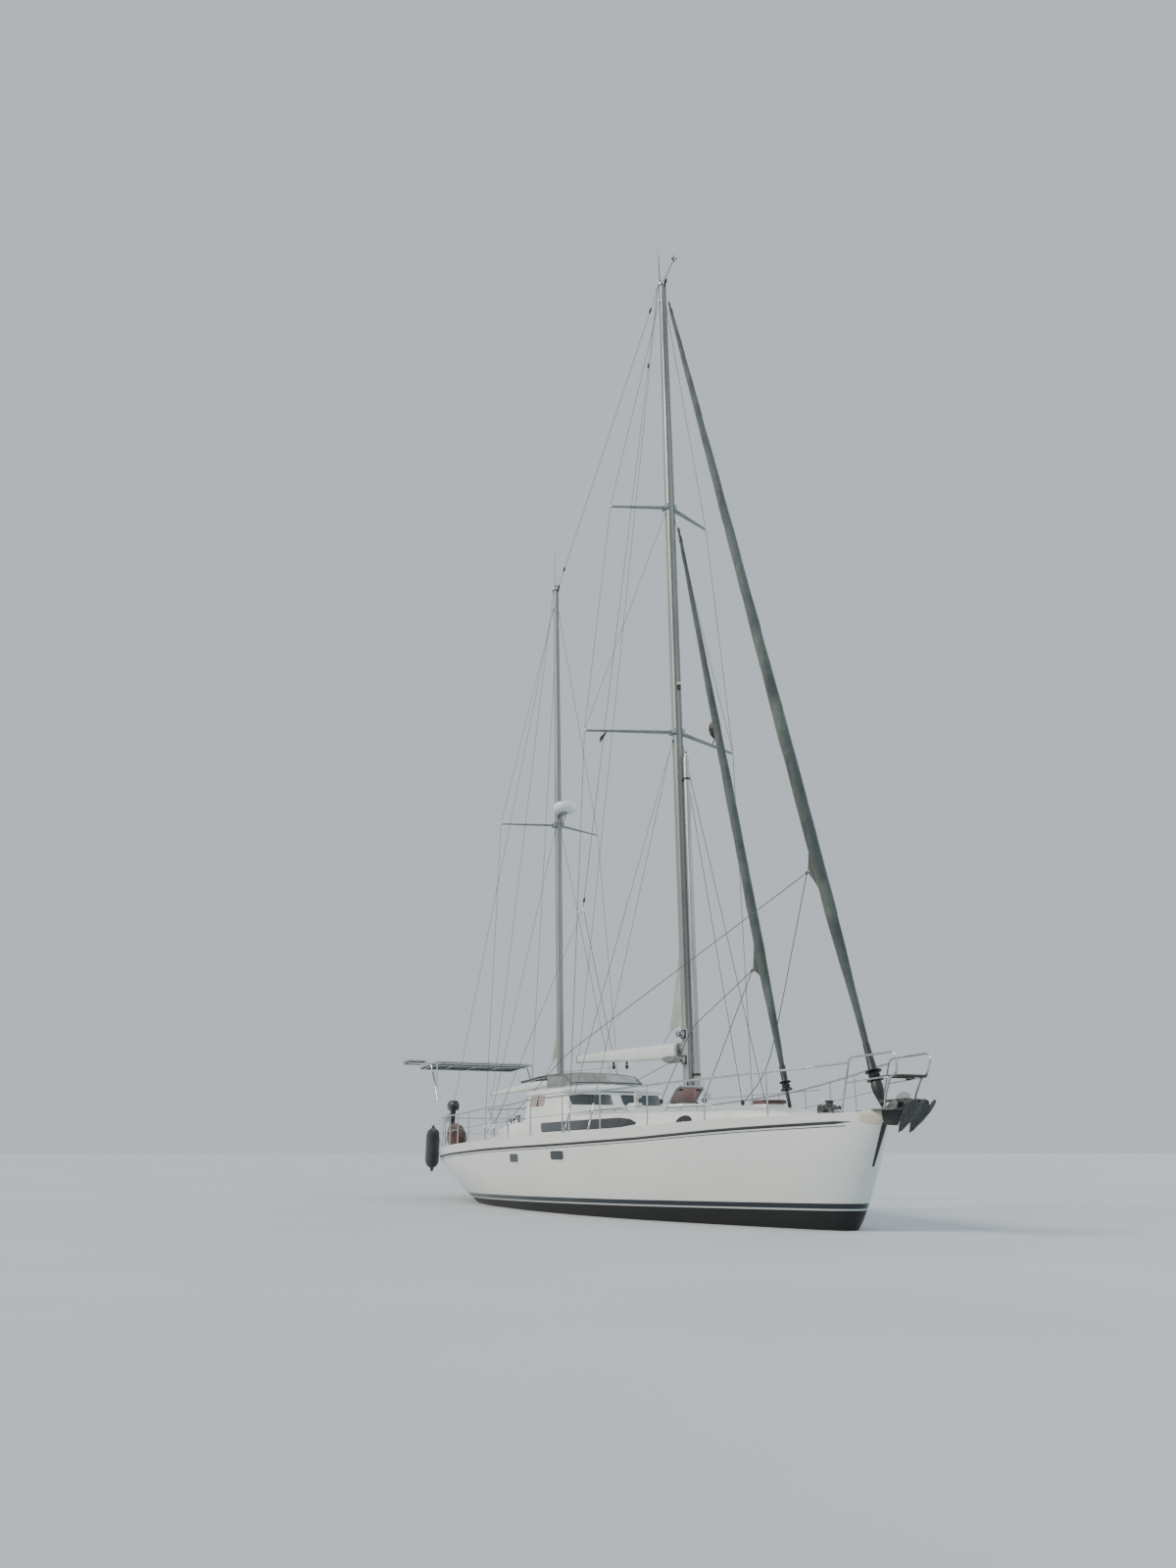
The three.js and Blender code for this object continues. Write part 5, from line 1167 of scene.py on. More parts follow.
brushed = surface("brushed_winch_steel", "#9da1a3", "#b6babb", 25, (0.26, 0.4), (2, 0.05), (1, 1, 6),
                  metallic=1.0)
COAMING_IN, COAMING_OUT, COAMING_FOOT = 0.985, 1.30, 1.15
coamings = []
for side in (1, -1):
    rings = []
    for x in np.linspace(-4.10, -2.72, 18):
        top = 1.60 - 0.10 * ((x + 3.2) / 0.9) ** 2 * (x < -3.2) - 0.05 * max(x + 2.9, 0) / 0.18
        section = ((COAMING_IN, COAMING_FOOT), (COAMING_IN + 0.01, top - 0.03), (COAMING_IN + 0.045, top),
                   (COAMING_OUT - 0.09, top - 0.004), (COAMING_OUT - 0.03, top - 0.04),
                   (COAMING_OUT + 0.02, 1.30), (COAMING_OUT + 0.05, COAMING_FOOT))
        rings.append([(x, side * y, z) for y, z in section])
    coamings.append(skinned(rings))
piece("cockpit_coamings", merged(*coamings), gelcoat, edge_mm=8, sharp=50)
winches = [winch((x, side * 1.13, 1.59 - drop), size=size) for side in (1, -1)
           for x, drop, size in ((-3.36, 0.0, 1.05), (-3.78, 0.035, 0.85))]
piece("cockpit_winches", merged(*winches), brushed, sharp=30)
print("winches", len(winches))

# %% Pedestal, wheel and compass
PEDESTAL_X = -2.56
COLUMN_ROWS = (  # height, length, width
    (0.60, 0.24, 0.28), (0.64, 0.20, 0.24), (1.20, 0.18, 0.22), (1.37, 0.20, 0.30), (1.41, 0.27, 0.38),
    (1.55, 0.30, 0.42), (1.60, 0.28, 0.40), (1.61, 0.20, 0.30))
column = skinned([[(PEDESTAL_X + x, y, z) for x, y in superellipse(w, d, 5)] for z, w, d in COLUMN_ROWS])
piece("pedestal_column", column, gelcoat, stands_for=["steering_pedestal"], sharp=50)
dials = [turned([(0.048, 0), (0.048, 0.012), (0.040, 0.014)], (-2.71, y, 1.49), (-1, 0, 0.15))
         for y in (-0.12, 0.12)]
compass = turned([(0.075, 0.0), (0.075, 0.03), (0.068, 0.05), (0.045, 0.085), (0.0005, 0.098)],
                 (PEDESTAL_X, 0, 1.605))
lever = swept([(-2.58, -0.215, 1.47), (-2.60, -0.235, 1.52), (-2.62, -0.24, 1.61)], [0.010, 0.008, 0.008])
knob = turned([(0.001, 0), (0.016, 0.006), (0.018, 0.02), (0.001, 0.034)], (-2.62, -0.24, 1.605))
guard = swept(arc_path([(-2.44, -0.17, 0.66), (-2.44, -0.17, 1.74), (-2.44, 0.17, 1.74), (-2.44, 0.17, 0.66)],
                       0.08), 0.0125)
piece("compass_and_dials", merged(compass, *dials, knob), nylon)
piece("pedestal_guard", merged(guard, lever), stainless)

WHEEL_AT, WHEEL_R = Vector((-2.76, 0, 1.54)), 0.37


def on_wheel(a, out, fore=0.0):
    """A point of the wheel, an angle round from port and a distance out from its hub."""
    return WHEEL_AT + Vector((fore, out * math.cos(a), out * math.sin(a)))


spokes = [swept([on_wheel(a, 0.03, 0.020), on_wheel(a, 0.2, 0.012), on_wheel(a, WHEEL_R)],
                [0.008, 0.0065, 0.006], 8) for a in (math.pi / 3 * k for k in range(6))]
hub = turned([(0.038, -0.02), (0.040, 0.0), (0.034, 0.03), (0.018, 0.042), (0.001, 0.044)], WHEEL_AT,
             (1, 0, 0))
piece("wheel_spokes", merged(hub, *spokes), stainless, "steering_wheel", stands_for=["steering_wheel"])
grip_leather = surface("stitched_black_leather", "#17181a", "#26272a", 30, (0.6, 0.75), (3, 0.2), ior=1.5)
piece("wheel_rim", loop_about(WHEEL_AT, WHEEL_R, 61, 0.0145, 12, "yz"), grip_leather, "steering_wheel")

# %% Companionway door and extinguisher
DOOR_X, DOOR_HALF, DOOR_LOW, DOOR_HIGH = -1.4635, 0.28, 0.64, 1.60


def door_plate(half, low, high, corner, fore, aft):
    """A rounded plate across the doorway, its two faces a distance aft of the door's own."""
    outline = rounded(-half, half, low, high, corner)
    return skinned([[(DOOR_X - x, y, z) for y, z in outline] for x in (fore, aft)])


door = door_plate(DOOR_HALF, DOOR_LOW, DOOR_HIGH, 0.05, 0, 0.022)
batten = [door_plate(0.24, low, high, 0.02, 0.02, 0.03) for low, high in ((0.68, 0.90), (1.34, 1.56))]
bolts = [swept([(DOOR_X - 0.024, -0.272, z - 0.04), (DOOR_X - 0.024, -0.272, z + 0.04)], 0.009, 10)
         for z in (0.85, 1.40)]
pull = turned([(0.020, 0), (0.016, 0.006), (0.010, 0.020), (0.020, 0.028), (0.014, 0.036)],
              (DOOR_X - 0.022, 0.20, 1.12), (-1, 0, 0))
piece("door_leaf", door, smoked, "companionway_door", stands_for=["companionway_door"], edge_mm=2)
piece("door_panels", merged(*batten), gelcoat, "companionway_door", edge_mm=2)
piece("door_fittings", merged(*bolts, pull), stainless, "companionway_door")

red_enamel = surface("red_enamel", "#8f1c18", "#a52a22", 60, (0.3, 0.42), (20, 0.05), coat_weight=0.2)


def by_bottle(fore, across, up):
    """A point measured from the foot of the extinguisher."""
    return (-1.60 + fore, -0.30 + across, 1.88 + up)


cylinder = turned([(0.001, 0), (0.040, 0.004), (0.045, 0.02), (0.045, 0.15), (0.034, 0.178), (0.014, 0.19),
                   (0.014, 0.205)], by_bottle(0, 0, 0))
piece("extinguisher", cylinder, red_enamel)
head = merged(block((0.03, 0.022, 0.03), by_bottle(0, 0, 0.215)),
              block((0.09, 0.014, 0.006), by_bottle(-0.03, 0, 0.235), (0, 12, 0)),
              swept([by_bottle(0, 0.01, 0.21), by_bottle(0, 0.065, 0.18), by_bottle(0, 0.07, 0.05)], 0.007, 8),
              block((0.006, 0.06, 0.10), by_bottle(0.048, 0, 0.09)),
              block((0.10, 0.03, 0.004), by_bottle(0.09, 0, 0.09)))
piece("extinguisher_head", head, nylon, edge_mm=1)

# %% [markdown]
# ## Masts
# Each mast is an aluminium extrusion of oval section, painted grey, with a slot down its after side that the
# sail rolls into. It leans back by a degree or two and tapers above three quarters of its height. The section
# below is the extruder's own drawing: an oval with the slot's two lips and the dark chamber behind them.

# %% Mast tubes
spar_paint = surface("grey_spar_paint", "#7d8584", "#929997", 300, (0.36, 0.5), (14, 0.06), (1, 1, 0.12),
                     metallic=0.35, ior=1.5)
MAIN = {"x": 1.85, "rake": math.radians(1.07), "foot": 1.70, "head": 19.2, "depth": 0.125, "width": 0.085}
MIZZEN = {"x": -3.74, "rake": math.radians(2.3), "foot": 1.30, "head": 14.45, "depth": 0.095, "width": 0.068}
SLOT_HALF, SLOT_DEEP = 0.011, 0.05
TAPER_FROM, TAPER = 0.72, 0.28  # the share of its height above which a mast tapers, and by how much


def mast_x(mast, z):
    return mast["x"] - (z - 2.0) * math.tan(mast["rake"])


def mast_point(mast, angle, z, out=0.0):
    """A point on the oval skin of a mast, an angle round from dead ahead."""
    up = z / mast["head"]
    share = 1.0 if z < mast["head"] * TAPER_FROM else 1.0 - TAPER * (up - TAPER_FROM) / (1 - TAPER_FROM)
    return Vector((mast_x(mast, z) + (mast["depth"] * share + out) * math.cos(angle),
                   (mast["width"] * share + out) * math.sin(angle), z))


def mast_ring(mast, z):
    """The mast's section at a height, with the slot that the sail rolls into open on its after side."""
    turn = np.linspace(-math.pi + 0.14, math.pi - 0.14, 27)
    skin = [mast_point(mast, a, z) for a in turn]
    back = mast_point(mast, math.pi, z).x
    lips = [Vector((back + 0.002, SLOT_HALF, z)), Vector((back + SLOT_DEEP, SLOT_HALF, z)),
            Vector((back + SLOT_DEEP, -SLOT_HALF, z)), Vector((back + 0.002, -SLOT_HALF, z))]
    return [*skin, *lips]


def spreader_tip(mast, z, half, sweep, side, beyond=0.0):
    """The tip of a spreader, or a point a distance beyond it."""
    return Vector((mast_x(mast, z) - half * math.tan(math.radians(sweep)), side * (half + beyond), z + 0.015))


SPREADERS = (  # name, mast, height, half span, sweep in degrees, half chord at the root
    ("lower", MAIN, 8.69, 1.62, 22.0, 0.075), ("upper", MAIN, 13.59, 1.09, 22.7, 0.064),
    ("mizzen", MIZZEN, 8.26, 1.21, 21.0, 0.060))
CAP_TANG, MID_TANG, MIZZEN_CAP_TANG, MIZZEN_LOW_TANG = 18.75, 13.47, 13.9, 8.12


def spreader(mast, z, half, sweep, chord, side):
    """A spreader of wing section, its nose forward, from its root bracket to its tip."""
    root, tip = Vector((mast_x(mast, z), side * 0.05, z)), spreader_tip(mast, z, half, sweep, side)
    rings = []
    for share in (0.0, 0.05, 0.3, 0.6, 0.9, 1.0):
        middle, size = root.lerp(tip, share), chord * (1 - 0.42 * share)
        wing = [(math.cos(a), 0.42 * size * math.sin(a) * (1 - 0.35 * math.cos(a))) for a in turn_of(16)]
        rings.append([middle + Vector((size * fore, 0, up)) for fore, up in wing])
    bracket = block((0.20, 0.10, 0.10), root + Vector((0, side * 0.02, 0)))
    return merged(skinned(rings), bracket)


for mast, word, node in ((MAIN, "main", "main_mast"), (MIZZEN, "mizzen", "mizzen_mast")):
    foot, head = mast["foot"], mast["head"]
    heights = [*np.linspace(foot, head * TAPER_FROM, 12), *np.linspace(head * 0.75, head, 6)]
    tube = skinned([mast_ring(mast, float(z)) for z in heights])
    arms = [spreader(*row, side) for _, *row in SPREADERS if row[0] is mast for side in (1, -1)]
    piece(f"{word}_mast_tube", merged(tube, *arms), spar_paint, stands_for=[node],
          edge_mm=1, sharp=40)
HEAD_X, MIZZEN_HEAD_X = mast_x(MAIN, MAIN["head"]), mast_x(MIZZEN, MIZZEN["head"])
print("masts", HEAD_X, MIZZEN_HEAD_X)

# %% [markdown]
# The masts carry what the sails are worked with: white rubber boots on the spreader tips, tangs where the
# wires meet the tube, halyard winches and cleats by the deck, sheaves in a crane at the head, and the lamps,
# aerials and wind vane. Halyards are thin polyester ropes that lie tight along the spar.

# %% Masthead, boots, tangs
boot_rubber = surface("white_boot_rubber", "#b9bcb8", "#c9cbc7", 40, (0.6, 0.75), (6, 0.1), ior=1.5)
BOOT = [(0.001, -0.035), (0.024, -0.030), (0.034, -0.005), (0.030, 0.02), (0.014, 0.04), (0.001, 0.042)]
boots = [turned(BOOT, spreader_tip(*row[1:5], side, 0.012)) for row in SPREADERS for side in (1, -1)]
piece("spreader_boots", merged(*boots), boot_rubber)


def crane_parts(mast, fore, aft):
    """Two cheeks with sheaves between them over a mast's head."""
    head, x = mast["head"], mast_x(mast, mast["head"])
    outline = ((fore, 0.040), (-aft, 0.040), (-aft, -0.03), (-0.06, -0.16), (0.06, -0.16), (fore, -0.03))
    cheeks = [skinned([[(x + u, y + t, head + v) for u, v in outline] for t in (-0.004, 0.004)])
              for y in (-0.028, 0.028)]
    sheave = [(0.010, -0.012), (0.034, -0.012), (0.028, -0.004), (0.028, 0.004), (0.034, 0.012),
              (0.010, 0.012)]
    sheaves = [turned(sheave, (x + u, 0, head - 0.002), (0, 1, 0)) for u in (fore - 0.04, 0.0, 0.035 - aft)]
    cap = turned([(0.10, -0.02), (0.10, 0.0), (0.02, 0.012)], (x, 0, head - 0.03))
    return merged(*cheeks, cap), merged(*sheaves)


masthead = []
for word, mast, aft in (("main", MAIN, 0.23), ("mizzen", MIZZEN, 0.18)):
    cheeks, sheaves = crane_parts(mast, 0.19, aft)
    masthead.append(cheeks)
    piece(f"{word}_sheaves", sheaves, nylon)
for mast, z in ((MAIN, CAP_TANG), (MAIN, MID_TANG), (MAIN, 8.55), (MIZZEN, MIZZEN_CAP_TANG),
                (MIZZEN, MIZZEN_LOW_TANG)):
    for side in (1, -1):
        at = mast_point(mast, side * math.pi / 2, z, 0.004)
        masthead.append(block((0.05, 0.008, 0.16), at))
        masthead.append(turned([(0.012, 0), (0.012, 0.012), (0.006, 0.016)], at, (0, side, 0)))
piece("mastheads_and_tangs", merged(*masthead), stainless, edge_mm=1)

# %% Aerials, vane, lamps and reflector
AERIALS = (  # x, y, foot, length of the whip
    (HEAD_X - 0.15, 0.025, 19.2, 1.03), (HEAD_X - 0.04, -0.025, 19.2, 0.78),
    (MIZZEN_HEAD_X - 0.06, 0, 14.45, 1.03))
whips = [swept([(x, y, z + 0.02), (x - 0.03, y, z + 0.02 + length)], [0.006, 0.003], 6)
         for x, y, z, length in AERIALS]
whips += [turned([(0.016, 0), (0.016, 0.10), (0.008, 0.13)], (x, y, z)) for x, y, z, _ in AERIALS]
piece("radio_whips", merged(*whips), nylon)
VANE_X, CUP_Z, CUP_REACH = HEAD_X + 0.56, 19.415, 0.045
arm = swept([(HEAD_X + 0.12, 0, 19.22), (VANE_X, 0, 19.44)], 0.008, 8)
post = swept([(VANE_X, 0, 19.43), (VANE_X, 0, 19.53)], 0.006, 8)
ARROW = ((0.09, 0.0), (-0.02, 0.006), (-0.05, 0.03), (-0.09, 0.03), (-0.06, 0.0), (-0.09, -0.03),
         (-0.05, -0.03), (-0.02, -0.006))
arrow = skinned([[(VANE_X + u, t, 19.49 + v) for u, v in ARROW] for t in (-0.0015, 0.0015)])
cups, cup_arms = [], []
for a in (0.3, 2.39, 4.49):
    at = (VANE_X + CUP_REACH * math.cos(a), CUP_REACH * math.sin(a), CUP_Z)
    cups.append(turned([(0.001, 0), (0.018, 0.004), (0.022, 0.02), (0.020, 0.02)], at,
                       (-math.sin(a), math.cos(a), 0), 12))
    cup_arms.append(swept([(VANE_X, 0, CUP_Z), at], 0.003, 6))
piece("wind_vane", merged(arm, post, arrow, *cups, *cup_arms), nylon)

milky_lens = surface("clear_lamp_lens", "#c7c6bc", "#d5d4cb", 30, (0.12, 0.2), (5, 0.05), ior=1.49,
                     coat_weight=0.2)
lenses = [turned([(0.026, 0), (0.028, 0.03), (0.022, 0.05), (0.001, 0.056)], (HEAD_X + 0.06, 0, 19.25)),
          turned([(0.001, 0), (0.036, 0.01), (0.045, 0.03), (0.036, 0.05), (0.001, 0.055)],
                 (mast_x(MAIN, 9.63) + 0.15, 0, 9.62))]
piece("mast_lamps", merged(*lenses), milky_lens)
lamp_backs = [turned([(0.03, 0), (0.03, 0.02)], (HEAD_X + 0.06, 0, 19.235)),
              block((0.06, 0.06, 0.09), (mast_x(MAIN, 9.63) + 0.135, 0, 9.58))]
piece("lamp_brackets", merged(*lamp_backs), nylon, edge_mm=2)
ball_at = Vector((1.26, 1.13, 9.07))
ball = turned([(0.001, -0.185), (0.050, -0.168), (0.100, -0.105), (0.122, 0.0), (0.118, 0.085),
               (0.086, 0.142), (0.001, 0.165)], ball_at, sides=28)
rib = turned([(0.116, -0.007), (0.127, -0.005), (0.127, 0.005), (0.116, 0.007)], ball_at, sides=28)
lanyard = swept([ball_at + Vector((0, 0, -0.16)), (1.20, 1.08, 8.72)], 0.012, 6)
upper_line = swept([ball_at + Vector((0, 0, 0.15)), mast_point(MAIN, 0.8, 13.4, 0.02)], 0.003, 6)
piece("radar_reflector", merged(ball, rib, lanyard, upper_line), nylon)

# %% Mast winches, cleats, collar and halyards
fittings, horns = [], []
for z in (3.0, 2.56):
    for side in (1, -1):
        base = (mast_x(MAIN, z), side * 0.072, z)
        fittings.append(winch(base, (0, side, 0), 0.92))
        horns.append(block((0.15, 0.03, 0.15), (mast_x(MAIN, z), side * 0.075, z)))
for around, z in ((0.9, 2.15), (-0.9, 2.15), (0.5, 1.98), (-0.5, 1.98)):
    at = mast_point(MAIN, around, z, 0.022)
    bar = [at + Vector((0, 0, s)) + Vector((0.010 * abs(s) / 0.07, 0, 0)) for s in (-0.07, -0.03, 0.03, 0.07)]
    horns += [swept(bar, [0.005, 0.009, 0.009, 0.005], 8), swept([mast_point(MAIN, around, z), at], 0.010, 8)]
piece("mast_winches", merged(*fittings), brushed)
piece("mast_cleats", merged(*horns), nylon, edge_mm=2)


def oval_sleeve(x, rows):
    """A sleeve round a mast through rows of half length, half width and height."""
    return skinned([[(x + d * math.cos(a), w * math.sin(a), z) for a in turn_of(32)] for d, w, z in rows])


collar = oval_sleeve(mast_x(MAIN, 1.80), (
    (0.19, 0.15, 1.78), (0.19, 0.15, 1.835), (0.165, 0.125, 1.845), (0.150, 0.110, 1.90),
    (0.128, 0.088, 1.93)))
boot = oval_sleeve(mast_x(MIZZEN, 1.42), (
    (0.16, 0.13, 1.41), (0.155, 0.125, 1.46), (0.115, 0.088, 1.49), (0.098, 0.071, 1.52)))
piece("mast_collars", merged(collar, boot), rubber)

halyard = surface("grey_braided_polyester", "#4a4f4e", "#636865", 60, (0.75, 0.9), (4, 0.4), (1, 1, 0.4))
runs = []
for angle, z0, mast in ((0.55, 2.2, MAIN), (-0.55, 2.2, MAIN), (0.25, 2.7, MAIN), (-0.8, 3.1, MAIN),
                        (0.5, 2.0, MIZZEN), (-0.5, 2.0, MIZZEN)):
    heights = np.linspace(z0, mast["head"] - 0.05, 14)
    runs.append(swept([mast_point(mast, angle, float(z), 0.012) for z in heights], 0.005, 6))
piece("halyards", merged(*runs), halyard)
print("halyards", len(runs))

# %% [markdown]
# ## Pole and radar
# A long aluminium pole for setting a headsail out to windward stands against the fore side of the mainmast,
# with a jaw at each end. The radar sits in a white dome on a bracket ahead of the mizzen mast.

# %% Pole and radar dome
POLE_OFFSET, POLE_Y = 0.205, 0.06


def pole_at(z):
    return Vector((mast_x(MAIN, z) + POLE_OFFSET, POLE_Y, z))


POLE_ROWS = (  # height, radius
    (1.98, 0.030), (2.03, 0.034), (2.06, 0.050), (2.12, 0.057), (8.06, 0.057), (8.12, 0.050), (8.15, 0.034),
    (8.21, 0.028))
piece("pole_tube", swept([pole_at(z) for z, _ in POLE_ROWS], [r for _, r in POLE_ROWS], 20), anodised,
      stands_for=["whisker_pole"], sharp=30)
jaws = [block((0.05, 0.024, 0.10), pole_at(z)) for z in (2.0, 8.19)]
rests = [block((0.10, 0.07, 0.05), Vector((mast_x(MAIN, z) + 0.155, 0.045, z))) for z in (2.3, 7.7)]
straps = [turned([(0.062, -0.02), (0.063, 0), (0.062, 0.02)], pole_at(z)) for z in (2.3, 7.7)]
piece("pole_jaws_and_rests", merged(*jaws, *rests, *straps), nylon, edge_mm=3)

DOME_Z = 8.48
dome_x = mast_x(MIZZEN, DOME_Z) + 0.095 + 0.04 + 0.26
dome = turned([(0.05, 0.0), (0.200, 0.0), (0.236, 0.028), (0.256, 0.075), (0.260, 0.112), (0.2585, 0.122),
               (0.260, 0.130), (0.248, 0.175), (0.205, 0.210), (0.120, 0.226), (0.001, 0.230)],
              (dome_x, 0, DOME_Z), sides=48)
piece("radar_shell", dome, gelcoat, stands_for=["radar_dome"], sharp=60)
foot_x = mast_x(MIZZEN, 8.2) + 0.09
bracket = merged(block((0.36, 0.16, 0.012), (dome_x - 0.14, 0, DOME_Z - 0.006)),
                 *[swept([(foot_x, y, 8.20), (foot_x + 0.26, y, 8.46)], 0.014, 10) for y in (-0.05, 0.05)],
                 *[swept([(foot_x, y, 8.44), (foot_x + 0.12, y, 8.47)], 0.012, 10) for y in (-0.05, 0.05)],
                 block((0.012, 0.13, 0.34), (foot_x + 0.006, 0, 8.32), (0, -2.3, 0)))
piece("radar_bracket", bracket, spar_paint, edge_mm=1)
print("dome at", round(dome_x, 2))

# %% [markdown]
# ## Booms
# The booms are painted white and taper aft. Each turns on a gooseneck behind its mast, with an end cap, an
# outhaul sheave, lugs for the sheet blocks, and a lift that holds its after end from the masthead.

# %% Booms
boom_paint = surface("white_spar_paint", "#c3c9cb", "#d2d7d8", 350, (0.28, 0.42), (200, 0.3), ior=1.5,
                     coat_weight=0.15)
MAIN_GOOSENECK = Vector((mast_x(MAIN, 2.75) - 0.185, 0, 2.75))
MIZZEN_GOOSENECK = Vector((mast_x(MIZZEN, 2.48) - 0.145, 0, 2.48))
MIZZEN_TURN = Matrix.Rotation(math.radians(5.5), 3, "Z")


def boom_shell(rows, at, turn, steps=40):
    """A boom of rounded oblong section through rows of x, middle height, depth and width."""
    rings = []
    for x in np.linspace(rows[0][0], rows[-1][0], steps):
        middle, depth, width = row_at(rows, float(x))
        rings.append([at + turn @ Vector((x, y, middle + z)) for y, z in superellipse(width, depth, 3.0, 28)])
    return skinned(rings)


def cap_ring(rows, at, turn, x0, x1, grow):
    """A band round a boom between two places."""
    wide = [(x, m, d + grow, w + grow) for x, m, d, w in rows]
    return boom_shell([(x, *row_at(wide, x)) for x in (x0, x1)], at, turn, 2)


MAIN_BOOM = (  # x, middle height, depth, width
    (-0.07, 0.0, 0.24, 0.17), (-0.70, 0.005, 0.27, 0.18), (-2.60, 0.07, 0.23, 0.15), (-4.45, 0.12, 0.15, 0.11))
MIZZEN_BOOM = ((-0.06, -0.003, 0.17, 0.12), (-1.00, -0.046, 0.16, 0.12), (-3.24, -0.15, 0.09, 0.08))
BOOMS = (  # rows, gooseneck, turn, body, half length of the gooseneck's pin
    (MAIN_BOOM, MAIN_GOOSENECK, Matrix.Identity(3), "main_boom", 0.06),
    (MIZZEN_BOOM, MIZZEN_GOOSENECK, MIZZEN_TURN, "mizzen_boom", 0.045))
for rows, at, turn, body, _ in BOOMS:
    piece(f"{body}_shell", boom_shell(rows, at, turn), boom_paint, body, stands_for=[body],
          edge_mm=4, sharp=50)
for rows, at, turn, body, pin_z in BOOMS:
    end, word = rows[-1][0], body.removesuffix("_boom")
    caps = [cap_ring(rows, at, turn, fore, aft, 0.006)
            for fore, aft in ((end + 0.05, end - 0.008), (-0.14, -0.062))]
    toggle = swept([at + Vector((0, 0, -pin_z)), at + Vector((0, 0, pin_z))], 0.012, 12)
    tongue = block((0.10, 0.028, 0.07), at + turn @ Vector((-0.045, 0, 0)))
    lug_z = rows[-1][1] + rows[-1][2] / 2 + 0.015
    lug = block((0.05, 0.012, 0.05), at + turn @ Vector((end + 0.02, 0, lug_z)))
    piece(f"{body}_ends", merged(*caps, toggle, tongue, lug), anodised, body, edge_mm=1)
    fork = [block((0.05, 0.07, 0.02), at + Vector((0.028, 0, z))) for z in (0.075, -0.075)]
    plate = block((0.012, 0.09, 0.24), at + Vector((0.047, 0, 0)))
    piece(f"{word}_gooseneck", merged(*fork, plate), stainless, edge_mm=2)
print("boom goosenecks", tuple(MAIN_GOOSENECK), tuple(MIZZEN_GOOSENECK))

# %% [markdown]
# ## Rolled headsails
# Both headsails are rolled on their stays, with the dark strip that keeps the sun off the white cloth turned
# outward. A rolled sail is a spiral: its outer edge shows as a small step that winds slowly round the roll,
# the cloth below it creased on a slant where it was pulled in unevenly. The form is taut and stays as it is,
# so it is drawn: the step first, then the creases, then the finer puckers of the seams.

# %% Rolled sail cloth
def strip_cloth(name, low, high):
    """Closely woven sun-strip cloth, with slanting weather streaks and a fine weave."""
    material, tree, shader = finish_of(name, sheen_weight=0.15, sheen_roughness=0.5)
    worn = sums(tree, "MULTIPLY", speckle(tree, 240, (1, 1, 0.22), 5), speckle(tree, 900))
    feed(tree, shader, base_color=shade(tree, worn, low, high, 0.15, 0.35),
         roughness=shade(tree, speckle(tree, 120), 0.72, 0.88))
    weave = speckle(tree, 8)
    relief(tree, shader, weave, 0.3, under=relief(tree, shader, speckle(tree, 130, (1, 1, 0.4)), 2.5))
    return material


strip = strip_cloth("dark_sun_strip_cloth", "#333e3d", "#515c59")
white_cloth = strip_cloth("weathered_polyester_sailcloth", "#8b918b", "#aab0a8")
FORESTAY = (Vector((7.09, 0, 1.60)), Vector((1.80, 0, 18.55)))
INNER_STAY = (Vector((4.91, 0, 1.65)), Vector((1.92, 0, 13.19)))


def on_stay(stay, z):
    """The point of a stay at a height."""
    foot, head = stay
    return foot.lerp(head, (z - foot.z) / (head.z - foot.z))


def roll_skin(stay, table, seed, step_mm, winds, rings):
    """The skin of a rolled sail: a spiral with its edge's step, slanting creases and small puckers."""
    low, high, sides = table[0][0], table[-1][0], 34
    skin = []
    for z in np.linspace(low, high, rings):
        z, middle = float(z), on_stay(stay, float(z))
        radius = along_table(table, z, 1)
        edge = winds * (z - low) / (high - low) * 2 * math.pi + 0.5 * math.sin(0.6 * z + seed)
        ring = []
        for k in range(sides):
            angle = edge + 2 * math.pi * k / sides
            lift = step_mm / 1000 * (k / sides) ** 0.7
            slant = 0.040 * radius * math.sin(2 * angle + 2.3 * z + seed) * math.sin(0.9 * z + seed)
            pucker = 0.018 * radius * math.sin(5 * angle - 6.1 * z + 2 * seed)
            seam = 0.03 * radius * max(0.0, 1 - abs((z * 1.1 + seed) % 1.0 - 0.5) / 0.06)
            reach = radius * 0.97 - step_mm / 2000 + lift + slant + pucker + seam
            ring.append(middle + Vector((reach * math.cos(angle), reach * math.sin(angle), 0)))
        skin.append(ring)
    return skinned(skin)


ROLLS = (  # name, stay, rows of height and radius, seed of its creases, step in mm, winds, rings
    ("genoa", FORESTAY, ((2.42, 0.042), (3.3, 0.062), (4.6, 0.096), (6.6, 0.104), (8.4, 0.100), (12.0, 0.084),
                         (16.0, 0.060), (18.2, 0.036)), 0.7, 7, 9, 210),
    ("staysail", INNER_STAY, ((2.24, 0.040), (3.0, 0.060), (4.2, 0.084), (6.0, 0.084), (9.0, 0.066),
                              (12.6, 0.034)), 2.1, 6, 7, 150))
for word, *roll in ROLLS:
    piece(f"{word}_skin", roll_skin(*roll), strip, stands_for=[f"{word}_roll"], sharp=55)
print("rolls", len(ROLLS))

# %% [markdown]
# ## Clews
# Four corners of sail stay out of their rolls: the clews of the two headsails, where their sheets are tied,
# and those of the two sails furled inside their masts. Each is one sheet of cloth, cut three-sided, stretched
# from its spar to its steel ring: its free edges hollow a little, folds run out of the ring, and layered
# patches and a sewn tape thicken its corner. A simulation would only pull the same three corners tight, so it
# is drawn stretched.

# %% Clew panels
CLEW_CLOTH, CLEW_HOLLOW, SEWING = 0.004, 0.10, 1.03  # SEWING: the flat cut over the drawn size, for hems


